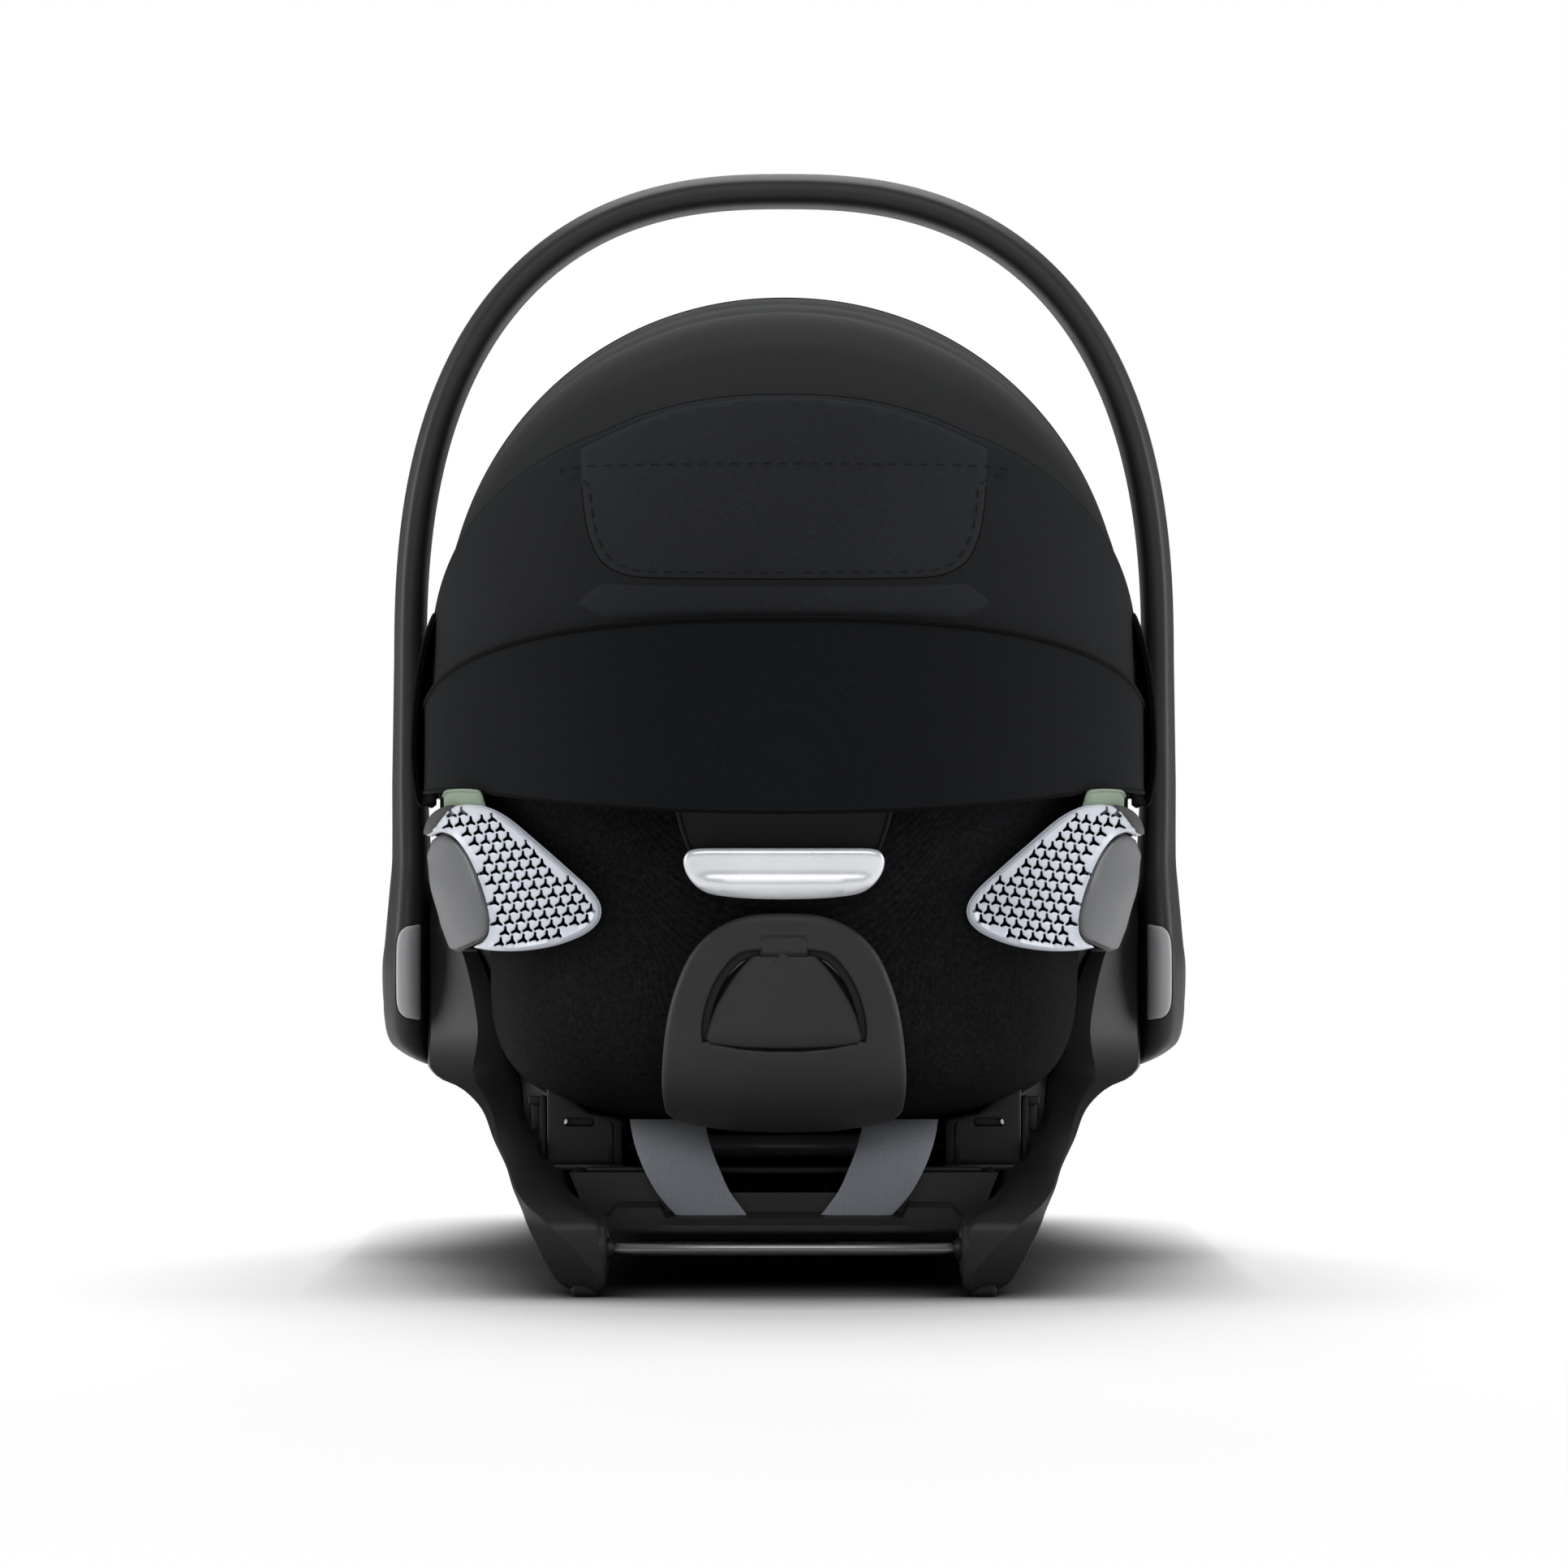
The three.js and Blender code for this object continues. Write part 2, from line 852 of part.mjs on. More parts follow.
function handleRings() {
  const count = 10;
  const steps = 22;
  const right = [...podShares.rings].reverse().map((row) => podRing(row, 1, count));
  const left = podShares.rings.map((row) => podRing(row, -1, count));
  const arch = [];
  for (let i = 0; i <= steps; i += 1) {
    const share = i / steps;
    const centre = handlePathPoint(share);
    const before = handlePathPoint(Math.max(0, share - 0.01));
    const after = handlePathPoint(Math.min(1, share + 0.01));
    const across = after.sub(before).normalize().cross(new THREE.Vector3(0, 1, 0)).negate();
    const grip = Math.sin(share * Math.PI) ** 2;
    const thickness = HANDLE.legThickness + (HANDLE.barThickness - HANDLE.legThickness) * grip;
    const depth = HANDLE.legDepth + (HANDLE.gripDepth - HANDLE.legDepth) * grip;
    arch.push(barRing(centre, across, thickness / 2, depth / 2, count));
  }
  return [...right, ...arch, ...left];
}

function buttonOutline(grow) {
  const radius = (HANDLE_BUTTON.top - HANDLE_BUTTON.bottom) / 4;
  const shape = new THREE.Shape();
  const x0 = HANDLE_BUTTON.inner - grow;
  const x1 = HANDLE_BUTTON.outer + grow;
  const z0 = HANDLE_BUTTON.bottom - grow;
  const z1 = HANDLE_BUTTON.top + grow;
  shape.moveTo(x0, z0);
  shape.quadraticCurveTo(x1, z0, x1, z0 + radius);
  shape.lineTo(x1, z1 - radius);
  shape.quadraticCurveTo(x1, z1, x0, z1);
  return shape;
}

// The pod's rear face at the button's height.
function podRear() {
  return HUB.y - HANDLE.podDepth / 2;
}

function buttonPocket() {
  const deep = podRear() + HANDLE_BUTTON.depth + HANDLE_BUTTON.travel + FIT.slide;
  return rearPrism(buttonOutline(FIT.gap), podRear() - FIT.overrun, deep, 4);
}

function handleArch() {
  const body = loft(handleRings());
  const bores = [-1, 1].map((side) => {
    const inner = side < 0 ? -(HANDLE.podOuter - HUB.pinEnd + FIT.gap) : 0;
    const outer = side < 0 ? 0 : HANDLE.podOuter - HUB.pinEnd + FIT.gap;
    return barX(HUB.pinRadius + FIT.gap, inner, outer, HUB.y, HUB.height);
  });
  return cut(body, buttonPocket(), mirrored(buttonPocket()), ...bores);
}

add("handle_arch", handleArch(), MATERIALS.housing);

function handleButton() {
  const body = rearPrism(
    buttonOutline(0),
    podRear() - HANDLE_BUTTON.proud - FIT.overrun,
    podRear() + HANDLE_BUTTON.depth,
    4,
  );
  const dome = loft(podShares.rings.map((row) => podRing(row, 1, 10))).translate(0, -HANDLE_BUTTON.proud, 0);
  return common(body, dome);
}

addPair("handle_button", handleButton(), MATERIALS.button);
addPair("hub_pin", hubPin(), MATERIALS.steel);

// Reclining seat: a deep bowl, squarer at the head end

// The bowl's half width and its two reaches at a height, grown outwards by a distance.
function seatLevel(z, out) {
  const drop = Math.min(1, Math.max(0, (SEAT.belly - z) / (SEAT.belly - SEAT.bottom + out)));
  const round = (1 - drop ** SEAT.bellyPower) ** (1 / SEAT.bellyPower);
  const rise = Math.max(0, (z - SEAT.belly) / (SEAT.rim - SEAT.belly));
  const above = Math.min(1, Math.max(0, (z - SEAT.rim) / (SEAT.headRim - SEAT.rim)));
  const flare = Math.min(1, rise) - 0.25 * above * above;
  return {
    half: SEAT.halfWidth * round + SEAT.flare * flare + out,
    back: SEAT.backReach * round + SEAT.backFlare * flare + out,
    foot: SEAT.footReach * round + SEAT.footFlare * flare + out,
  };
}

function seatPoint(turn, z, out, wide = 0) {
  const level = seatLevel(z, out);
  level.half += wide;
  const sine = Math.sin(turn);
  const power = 2 / (sine < 0 ? SEAT.backPower : SEAT.footPower);
  const reach = sine < 0 ? level.back : level.foot;
  return new THREE.Vector3(
    level.half * signedPower(Math.cos(turn), power),
    SEAT.middleY + reach * signedPower(sine, power),
    z,
  );
}

// The heights of the bowl's rings: close together where its belly turns under.
function seatHeights(out, top, steps) {
  const heights = [];
  const depth = SEAT.belly - SEAT.bottom + out;
  for (let i = 0; i <= steps; i += 1) {
    const turn = radians(10 + (80 * i) / steps);
    heights.push(SEAT.belly - depth * Math.cos(turn) ** (2 / SEAT.bellyPower));
  }
  const rise = [0.5, 1];
  for (const share of rise) heights.push(SEAT.belly + (SEAT.rim - SEAT.belly) * share);
  heights.push((SEAT.rim + SEAT.headRim) / 2, SEAT.headRim, top);
  return heights;
}

function bowl(out, top, wide = 0, around = 36, steps = 5) {
  const rings = seatHeights(out, top, steps).map((z) => {
    const ring = [];
    for (let j = 0; j < around; j += 1) ring.push(seatPoint((2 * Math.PI * j) / around, z, out, wide));
    return ring;
  });
  return loft(rings);
}

const bowlTop = SEAT.headRim + FIT.overrun;

// The layer between two distances from the shell, inside a prism.
function seatSkin(from, to, region, wide = 0) {
  return cut(common(bowl(to, bowlTop, wide), region), bowl(from, bowlTop + FIT.overrun));
}

function splineShape(points, steps) {
  const curve = new THREE.SplineCurve(points.map(([a, b]) => new THREE.Vector2(a, b)));
  const outline = curve.getPoints(steps);
  if (outline[0].distanceTo(outline[outline.length - 1]) < FIT.gap / 10) outline.pop();
  return new THREE.Shape(outline);
}

// Rim line of the shell seen from the side, as shares of the two reaches and the rim heights.
const rimShares = [
  [-1.12, 1.28],
  [-0.82, 1.26],
  [-0.5, 1.145],
  [-0.2, 1.04],
  [0.08, 0.965],
  [0.3, 0.93],
  [0.62, 0.928],
  [0.85, 0.95],
  [1.1, 0.985],
];

function rimPoints(drop) {
  return rimShares.map(([yShare, zShare]) => [
    yShare < 0
      ? SEAT.middleY + yShare * (SEAT.backReach + SEAT.backFlare)
      : SEAT.middleY + yShare * (SEAT.footReach + SEAT.footFlare),
    SEAT.rim * zShare - drop,
  ]);
}

function aboveRim(drop) {
  const curve = new THREE.SplineCurve(rimPoints(drop).map(([y, z]) => new THREE.Vector2(y, z)));
  const line = curve.getPoints(20);
  const shape = new THREE.Shape(line);
  shape.lineTo(line[line.length - 1].x, SEAT.headRim * 2);
  shape.lineTo(line[0].x, SEAT.headRim * 2);
  return sidePrism(shape, -SEAT.halfWidth * 2, SEAT.halfWidth * 2);
}

function seatShell() {
  return cut(bowl(0, bowlTop), bowl(-SEAT.wall, bowlTop + FIT.overrun), aboveRim(0));
}

add("seat_shell", seatShell(), MATERIALS.shell);

// Recline rockers under the shell, round the recline axis

function rocker() {
  const start = Math.asin((ROCKER.rear - RECLINE.axisY) / ROCKER.radius);
  const topDrop = RECLINE.axisHeight - SEAT.bottom + FIT.gap;
  const finish = Math.acos(Math.min(1, topDrop / ROCKER.radius));
  const steps = 10;
  const outline = [];
  for (let i = 0; i <= steps; i += 1) {
    const turn = start + ((finish - start) * i) / steps;
    outline.push([
      RECLINE.axisY + ROCKER.radius * Math.sin(turn),
      RECLINE.axisHeight - ROCKER.radius * Math.cos(turn),
    ]);
  }
  outline.push([ROCKER.rear, SEAT.bottom - FIT.gap]);
  return sidePrism(polygon(outline), ROCKER.inner, ROCKER.inner + ROCKER.thickness);
}

addPair("recline_rocker", rocker(), MATERIALS.black);

// Recline recess, its lever, and the fabric cover of the back

function recessOutline(grow) {
  return polygon([
    [-RECESS.halfTop - grow, RECESS.top + grow],
    [-RECESS.halfBottom - grow, RECESS.bottom - grow],
    [RECESS.halfBottom + grow, RECESS.bottom - grow],
    [RECESS.halfTop + grow, RECESS.top + grow],
  ]);
}

const behind = -SEAT.backReach * 2;

function backCover() {
  const region = sidePrism(
    polygon([
      [behind, 0],
      [COVER.bottomEdge, 0],
      [COVER.bottomEdge, COVER.turnHeight],
      [COVER.bottomEdge * 0.5, SEAT.belly],
      [COVER.bottomEdge * 0.4, COVER.topEdge],
      [behind, COVER.topEdge],
    ]),
    -SEAT.halfWidth * 2,
    SEAT.halfWidth * 2,
  );
  const skin = seatSkin(FIT.gap, FIT.gap + COVER.thickness, region);
  return cut(skin, rearPrism(recessOutline(FIT.gap), behind, SEAT.middleY));
}

add("back_cover", backCover(), MATERIALS.fabric);
const overCover = FIT.gap * 2 + COVER.thickness;

add(
  "recline_recess",
  seatSkin(FIT.gap, FIT.gap + RECESS.sunk, rearPrism(recessOutline(0), behind, SEAT.middleY)),
  MATERIALS.smooth,
);

function leverOutline() {
  const { half, bottom, top, corner } = GRIP_LEVER;
  const shape = new THREE.Shape();
  shape.moveTo(-half + corner, top);
  shape.quadraticCurveTo(-half, top, -half, top - corner);
  shape.bezierCurveTo(-half + corner, bottom + corner / 3, -half + corner * 2, bottom, -half / 2, bottom);
  shape.lineTo(half / 2, bottom);
  shape.bezierCurveTo(half - corner * 2, bottom, half - corner, bottom + corner / 3, half, top - corner);
  shape.quadraticCurveTo(half, top, half - corner, top);
  return shape;
}

function reclineLever() {
  const bar = seatSkin(
    GRIP_LEVER.standOff,
    GRIP_LEVER.proud,
    rearPrism(leverOutline(), behind, SEAT.middleY, 5),
  );
  const middle = (GRIP_LEVER.bottom + GRIP_LEVER.top) / 2;
  const stems = [-1, 1].map((side) =>
    seatSkin(
      FIT.gap * 2 + RECESS.sunk,
      GRIP_LEVER.standOff + RECESS.sunk,
      rearPrism(
        roundedRect(
          side * GRIP_LEVER.stemAt - GRIP_LEVER.stemHalf,
          side * GRIP_LEVER.stemAt + GRIP_LEVER.stemHalf,
          middle - GRIP_LEVER.stemHalf / 2,
          middle + GRIP_LEVER.stemHalf,
          GRIP_LEVER.stemHalf / 4,
        ),
        behind,
        SEAT.middleY,
        3,
      ),
    ),
  );
  return join(bar, ...stems);
}

add("recline_handle", reclineLever(), MATERIALS.silver);

// Belt plate with its hook flap; outlines run from the top round to the bottom,
// as shares of the plate's half width and height.
const plateShares = [
  [0, 1],
  [0.3, 0.988],
  [0.56, 0.928],
  [0.76, 0.818],
  [0.893, 0.655],
  [0.965, 0.489],
  [1, 0.29],
  [0.992, 0.126],
  [0.924, 0.062],
  [0.645, 0.024],
  [0, 0],
];
const plateMouthShares = [
  [0, 0.84],
  [0.3, 0.825],
  [0.43, 0.77],
  [0.56, 0.67],
  [0.645, 0.56],
  [0.66, 0.48],
  [0.645, 0.42],
  [0, 0.4],
];
const flapShares = [
  [0, 0.822],
  [0.275, 0.806],
  [0.4, 0.752],
  [0.525, 0.655],
  [0.605, 0.55],
  [0.62, 0.48],
  [0.61, 0.436],
  [0, 0.425],
];

function platePoints(shares, grow = 0) {
  const height = PLATE.top - PLATE.bottom;
  const middle = 0.6;
  const half = shares.map(([x, z]) => [
    x * (PLATE.half + grow),
    PLATE.bottom + height * z + Math.sign(z - middle) * grow,
  ]);
  const other = half
    .slice(1, -1)
    .reverse()
    .map(([x, z]) => [-x, z]);
  return [...half, ...other, half[0]];
}

function plateOutline(shares, steps, grow) {
  return splineShape(platePoints(shares, grow), steps);
}

function plateHinge() {
  const level = seatLevel(PLATE.hingeHeight, PLATE.proud - PLATE.flapThickness / 2);
  return SEAT.middleY - level.back;
}

function plateTab(grow) {
  return rearPrism(
    roundedRect(
      -PLATE.tabHalf - grow,
      PLATE.tabHalf + grow,
      PLATE.hingeHeight + FIT.overrun,
      PLATE.tabTop + grow,
      PLATE.tabHalf / 5,
    ),
    behind,
    SEAT.middleY,
    2,
  );
}

function hookPinBar(radius, half) {
  return barX(radius, -half, half, plateHinge(), PLATE.hingeHeight, 10);
}

function beltPlate() {
  const region = rearPrism(plateOutline(plateShares, 36), behind, PLATE.front);
  const mouth = rearPrism(plateOutline(plateMouthShares, 28), behind, SEAT.middleY);
  const linerPocket = common(
    bowl(overCover + PLATE.linerThickness + FIT.gap, bowlTop),
    rearPrism(plateOutline(plateMouthShares, 28, PLATE.pinSeat + FIT.gap), behind, SEAT.middleY),
  );
  return cut(
    seatSkin(overCover, PLATE.proud, region),
    mouth,
    plateTab(FIT.slide),
    linerPocket,
    hookPinBar(PLATE.pinRadius + FIT.gap, PLATE.half * 0.66 + PLATE.pinSeat + FIT.gap),
  );
}

add("belt_plate", beltPlate(), MATERIALS.housing);

function beltHook() {
  const region = join(
    rearPrism(plateOutline(flapShares, 28), behind, SEAT.middleY),
    plateTab(0),
  );
  const from = PLATE.proud + PLATE.flapProud - PLATE.flapThickness;
  const flap = seatSkin(from, PLATE.proud + PLATE.flapProud, region);
  return join(flap, hookPinBar(PLATE.pinRadius, PLATE.half * 0.66 + PLATE.pinSeat));
}

add("belt_hook", beltHook(), MATERIALS.housing);
add(
  "belt_liner",
  seatSkin(
    overCover,
    overCover + PLATE.linerThickness,
    rearPrism(plateOutline(plateMouthShares, 28, PLATE.pinSeat), behind, SEAT.middleY),
  ),
  MATERIALS.green,
);

// Side impact wings: perforated dishes round the seat's rear corners.
// Outlines as shares of the wing's width and height.
const wingShares = [
  [0.98, 0.789],
  [0.936, 0.902],
  [0.879, 0.969],
  [0.798, 1],
  [0.679, 0.986],
  [0.535, 0.905],
  [0.349, 0.725],
  [0.167, 0.533],
  [0.055, 0.408],
  [0.003, 0.301],
  [0.016, 0.21],
  [0.101, 0.117],
  [0.257, 0.038],
  [0.441, 0],
  [0.631, 0],
  [0.715, 0.02],
];
const wingHollowShares = [
  [0.715, 0.02],
  [0.65, 0.102],
  [0.641, 0.226],
  [0.672, 0.423],
  [0.738, 0.62],
  [0.827, 0.789],
  [0.893, 0.834],
  [0.98, 0.789],
];

function wingPoints(shares) {
  return shares.map(([x, z]) => [
    WING.inner + (WING.outer - WING.inner) * x,
    WING.bottom + (WING.top - WING.bottom) * z,
  ]);
}

function curveThrough(points, steps) {
  return new THREE.SplineCurve(points.map(([a, b]) => new THREE.Vector2(a, b))).getPoints(steps);
}

function wingOutline() {
  const outer = curveThrough(wingPoints(wingShares), 26);
  const hollow = curveThrough(wingPoints(wingHollowShares), 10);
  return [...outer, ...hollow.slice(1, -1)];
}

// The same outline drawn in by a distance.
function drawnIn(outline, distance) {
  const count = outline.length;
  return outline.map((point, i) => {
    const before = outline[(i + count - 1) % count];
    const after = outline[(i + 1) % count];
    const along = after.clone().sub(before).normalize();
    return new THREE.Vector2(point.x - along.y * distance, point.y + along.x * distance);
  });
}

// The same outline, larger or smaller about its middle.
function scaledOutline(outline, share) {
  const middle = new THREE.Vector2();
  for (const point of outline) middle.add(point);
  middle.divideScalar(outline.length);
  return outline.map((point) => point.clone().sub(middle).multiplyScalar(share).add(middle));
}

// One hole: three short arms round a middle, drawn as (x, z) and set square to the skin.
function threeArmHole(centre, normal) {
  const shape = new THREE.Shape();
  const points = [];
  for (let k = 0; k < 3; k += 1) {
    const turn = radians(90 + 120 * k);
    const aside = radians(32);
    points.push([WING.hole * Math.cos(turn - aside / 2.2), WING.hole * Math.sin(turn - aside / 2.2)]);
    points.push([WING.hole * Math.cos(turn + aside / 2.2), WING.hole * Math.sin(turn + aside / 2.2)]);
    points.push([WING.arm * Math.cos(turn + radians(60)), WING.arm * Math.sin(turn + radians(60))]);
  }
  points.forEach(([a, b], i) => (i ? shape.lineTo(a, b) : shape.moveTo(a, b)));
  const depth = WING.wall * 4;
  const tool = extruded(shape, depth, 2).translate(0, 0, -depth / 2);
  const up = new THREE.Vector3(0, 0, 1);
  const across = up.clone().cross(normal).normalize();
  const climb = normal.clone().cross(across);
  return tool
    .applyMatrix4(new THREE.Matrix4().makeBasis(across, climb, normal))
    .translate(centre.x, centre.y, centre.z);
}

// The point of the seat's skin behind a place (x, z) of the rear view.
function skinPoint(x, z, out) {
  const level = seatLevel(z, out);
  level.half += WING.wide;
  const ratio = Math.min(1, Math.abs(x) / level.half);
  const y = SEAT.middleY - level.back * (1 - ratio ** SEAT.backPower) ** (1 / SEAT.backPower);
  return new THREE.Vector3(x, y, z);
}

function skinNormal(x, z, out) {
  const step = FIT.gap;
  const here = skinPoint(x, z, out);
  const across = skinPoint(x + step, z, out).sub(here);
  const climb = skinPoint(x, z + step, out).sub(here);
  return across.cross(climb).normalize();
}

function insideOutline(outline, x, z) {
  let inside = false;
  outline.forEach((a, i) => {
    const b = outline[(i + 1) % outline.length];
    if (a.y > z !== b.y > z && x < ((b.x - a.x) * (z - a.y)) / (b.y - a.y) + a.x) inside = !inside;
  });
  return inside;
}

// The dish's hollow and the room kept round the wing, as shares of the wing's outline.
const wingHollowShare = 0.93;
const wingRoomShare = 1.02;
function wingHoles() {
  const field = drawnIn(wingOutline(), WING.margin);
  const holes = [];
  const rows = Math.floor((WING.top - WING.bottom) / WING.rowPitch);
  for (let row = 0; row <= rows; row += 1) {
    const z = WING.bottom + WING.rowPitch * (row + 0.5);
    const shift = row % 2 ? 0.5 : 0;
    const columns = Math.floor((WING.outer - WING.inner) / WING.columnPitch);
    for (let column = 0; column <= columns; column += 1) {
      const x = WING.inner + WING.columnPitch * (column + shift);
      if (!insideOutline(field, x, z)) continue;
      const middle = WING.proud - WING.wall / 2;
      holes.push(threeArmHole(skinPoint(x, z, middle), skinNormal(x, z, middle)));
    }
  }
  return holes;
}

function impactWing() {
  const outline = wingOutline();
  const region = rearPrism(new THREE.Shape(outline), behind, WING.front);
  const hollow = rearPrism(new THREE.Shape(scaledOutline(outline, wingHollowShare)), behind, SEAT.middleY);
  const dish = cut(
    seatSkin(overCover, WING.proud, region, WING.wide),
    common(bowl(WING.proud - WING.wall, bowlTop, WING.wide), hollow),
  );
  return cut(dish, ...wingHoles());
}

addPair("impact_wing", impactWing(), MATERIALS.pale);

function impactCap() {
  const hollow = curveThrough(wingPoints(wingHollowShares), 12);
  const shape = new THREE.Shape(hollow.map((point) => new THREE.Vector2(point.x + FIT.slide * 1.5, point.y)));
  shape.lineTo(WING.outer + FIT.overrun, CAP.top);
  shape.lineTo(WING.outer + FIT.overrun, CAP.bottom);
  const half = (CAP.top - CAP.bottom) / 2;
  const lens = new THREE.Shape();
  lens.absellipse(CAP.middleY, CAP.bottom + half, CAP.halfLength, half, 0, Math.PI * 2);
  const region = common(
    rearPrism(shape, behind, 0),
    sidePrism(lens, 0, WING.outer + FIT.overrun, 14),
  );
  return seatSkin(overCover, CAP.proud, region, WING.wide);
}

addPair("impact_cap", impactCap(), MATERIALS.brushed);

function beltGuide() {
  const outline = polygon([
    [GUIDE.inner, GUIDE.bottom],
    [GUIDE.outer, GUIDE.bottom],
    [GUIDE.outer, GUIDE.top],
    [GUIDE.inner, GUIDE.top],
  ]);
  const slot = polygon([
    [0, GUIDE.slotBottom],
    [GUIDE.outer * 2, GUIDE.slotBottom],
    [GUIDE.outer * 2, GUIDE.top * 2],
    [0, GUIDE.top * 2],
  ]);
  const room = new THREE.Shape(scaledOutline(wingOutline(), wingRoomShare));
  const grownWing = rearPrism(room, behind, SEAT.middleY);
  return cut(
    seatSkin(overCover, GUIDE.proud, rearPrism(outline, behind, GUIDE.front)),
    grownWing,
    seatSkin(overCover + GUIDE.wall, GUIDE.proud - GUIDE.wall, rearPrism(slot, behind, SEAT.middleY)),
  );
}

addPair("belt_guide", beltGuide(), MATERIALS.green);

// Recline brackets on the pan's sides, with the steel tube between them

function reclineBracket() {
  const body = box(
    BRACKET.inner,
    BRACKET.outer,
    -BRACKET.rear,
    -BRACKET.front,
    BRACKET.bottom,
    BRACKET.top,
  );
  const middleZ = BRACKET.bottom + BRACKET.slotLength * 0.62;
  const slot = box(
    BRACKET.inner + BRACKET.slotHeight * 1.6,
    BRACKET.inner + BRACKET.slotHeight * 1.6 + BRACKET.slotLength / 2,
    -BRACKET.rear - FIT.overrun,
    -BRACKET.rear + BRACKET.slotHeight,
    middleZ - BRACKET.slotHeight / 3,
    middleZ + BRACKET.slotHeight / 3,
  );
  const pin = new THREE.CylinderGeometry(
    BRACKET.pinRadius,
    BRACKET.pinRadius,
    BRACKET.pinProud * 2,
    12,
  ).translate(BRACKET.outer - BRACKET.pinRadius * 2.6, -BRACKET.rear, middleZ);
  const bore = barX(
    CROSS_TUBE.radius + FIT.gap,
    0,
    BRACKET.inner + CROSS_TUBE.seat + FIT.gap,
    CROSS_TUBE.y,
    CROSS_TUBE.height,
  );
  return cut(join(body, pin), bowl(overCover + FIT.slide * 3, bowlTop), slot, bore);
}

addPair("recline_bracket", reclineBracket(), MATERIALS.black);
add(
  "cross_tube",
  barX(
    CROSS_TUBE.radius,
    -BRACKET.inner - CROSS_TUBE.seat,
    BRACKET.inner + CROSS_TUBE.seat,
    CROSS_TUBE.y,
    CROSS_TUBE.height,
  ),
  MATERIALS.steel,
);

// Rear harness straps, from under the seat down to the pan's lip.
// Height, outer edge and inner edge, as shares of the strap's height and the notch's half width.
const rearStrapShares = [
  [1, 2.33, 1.18],
  [0.78, 2.23, 1.11],
  [0.52, 2.08, 0.99],
  [0.27, 1.86, 0.8],
  [0.1, 1.72, 0.64],
  [0, 1.66, 0.58],
];

function rearStrap() {
  const foot = PAN.bottom + PAN.lipHeight + FIT.gap;
  const grid = (shift) =>
    rearStrapShares.map(([zShare, outShare, inShare]) => {
      const z = foot + (REAR_STRAP.topHeight - foot) * zShare;
      const y = REAR_STRAP.bottomY + (REAR_STRAP.topY - REAR_STRAP.bottomY) * zShare ** REAR_STRAP.bend;
      return [inShare, outShare].map((share) => new THREE.Vector3(share * PAN.notchHalf, y + shift, z));
    });
  return slab(grid(0), grid(REAR_STRAP.thickness));
}

addPair("rear_strap", rearStrap(), MATERIALS.webbing);

// Inner side: foam liner, cushion and newborn insert follow one middle line

const backTop = new THREE.Vector2(LINER.headY, LINER.headHeight);
const backFoot = new THREE.Vector2(LINER.lumbarY, LINER.lumbarHeight);
const lowest = new THREE.Vector2(LINER.bottomY, LINER.bottomHeight);
const footEnd = new THREE.Vector2(LINER.footY, LINER.footHeight);
const lumbarTurn = backFoot.clone().addScaledVector(backFoot.clone().sub(backTop), 0.2);
const thighTurn = lowest.clone().addScaledVector(lowest.clone().sub(lumbarTurn), 1.2);
const middleLine = new THREE.CurvePath();
middleLine.add(new THREE.LineCurve(backTop, backFoot));
middleLine.add(new THREE.QuadraticBezierCurve(backFoot, lumbarTurn, lowest));
middleLine.add(new THREE.QuadraticBezierCurve(lowest, thighTurn, footEnd));
const middleLength = middleLine.getLength();

function smooth(share) {
  const t = Math.min(1, Math.max(0, share));
  return t * t * (3 - 2 * t);
}

function rimHeightAt(y, drop) {
  const points = rimPoints(drop);
  let i = 1;
  while (i < points.length - 1 && points[i][0] < y) i += 1;
  const [y0, z0] = points[i - 1];
  const [y1, z1] = points[i];
  return z0 + ((z1 - z0) * (y - y0)) / (y1 - y0);
}

// Half width of the shell's inner side at a place.
function shellHalfAt(y, z) {
  const level = seatLevel(z, -SEAT.wall);
  const reach = y < SEAT.middleY ? level.back : level.foot;
  const power = y < SEAT.middleY ? SEAT.backPower : SEAT.footPower;
  const ratio = Math.min(1, Math.abs(y - SEAT.middleY) / reach);
  return level.half * (1 - ratio ** power) ** (1 / power);
}

function linerHalf(v) {
  const at = middleLine.getPoint(v);
  const side = rimHeightAt(at.x, SEAT.rimDrop + LINER.sideDrop);
  const height = at.y + Math.max(0, side - at.y) * 0.4;
  return Math.min(LINER.halfWidth, shellHalfAt(at.x, height) - LINER.edge);
}

// Point of the liner at v along it and u across it, raised by a distance.
function linerPoint(v, u, raised) {
  const at = middleLine.getPoint(v);
  const before = middleLine.getPoint(Math.max(0, v - 0.01));
  const after = middleLine.getPoint(Math.min(1, v + 0.01));
  const along = after.sub(before).normalize();
  const side = rimHeightAt(at.x, SEAT.rimDrop + LINER.sideDrop);
  const low = at.y + raised / Math.max(0.4, along.x);
  const swing = (u * Math.PI) / 2;
  return new THREE.Vector3(
    (linerHalf(v) - raised) * signedPower(Math.sin(swing), 0.55),
    at.x,
    Math.max(side, low) - (Math.max(side, low) - low) * Math.abs(Math.cos(swing)) ** 0.7,
  );
}

function shares(count, from = 0, to = 1) {
  return Array.from({ length: count }, (unused, i) => from + ((to - from) * i) / (count - 1));
}

// One grid serves the foam, the cushion and the insert, so that their faces nest.
const gridAlong = shares(15);
const gridAcross = shares(13, -1, 1);

function gridRow(v, raised) {
  return gridAcross.map((u) => linerPoint(v, u, raised));
}

// The point of a grid row that lies at x across the seat.
function acrossRow(row, x) {
  let j = 1;
  while (j < row.length - 1 && row[j].x < x) j += 1;
  const share = (x - row[j - 1].x) / (row[j].x - row[j - 1].x);
  return row[j - 1].clone().lerp(row[j], share);
}

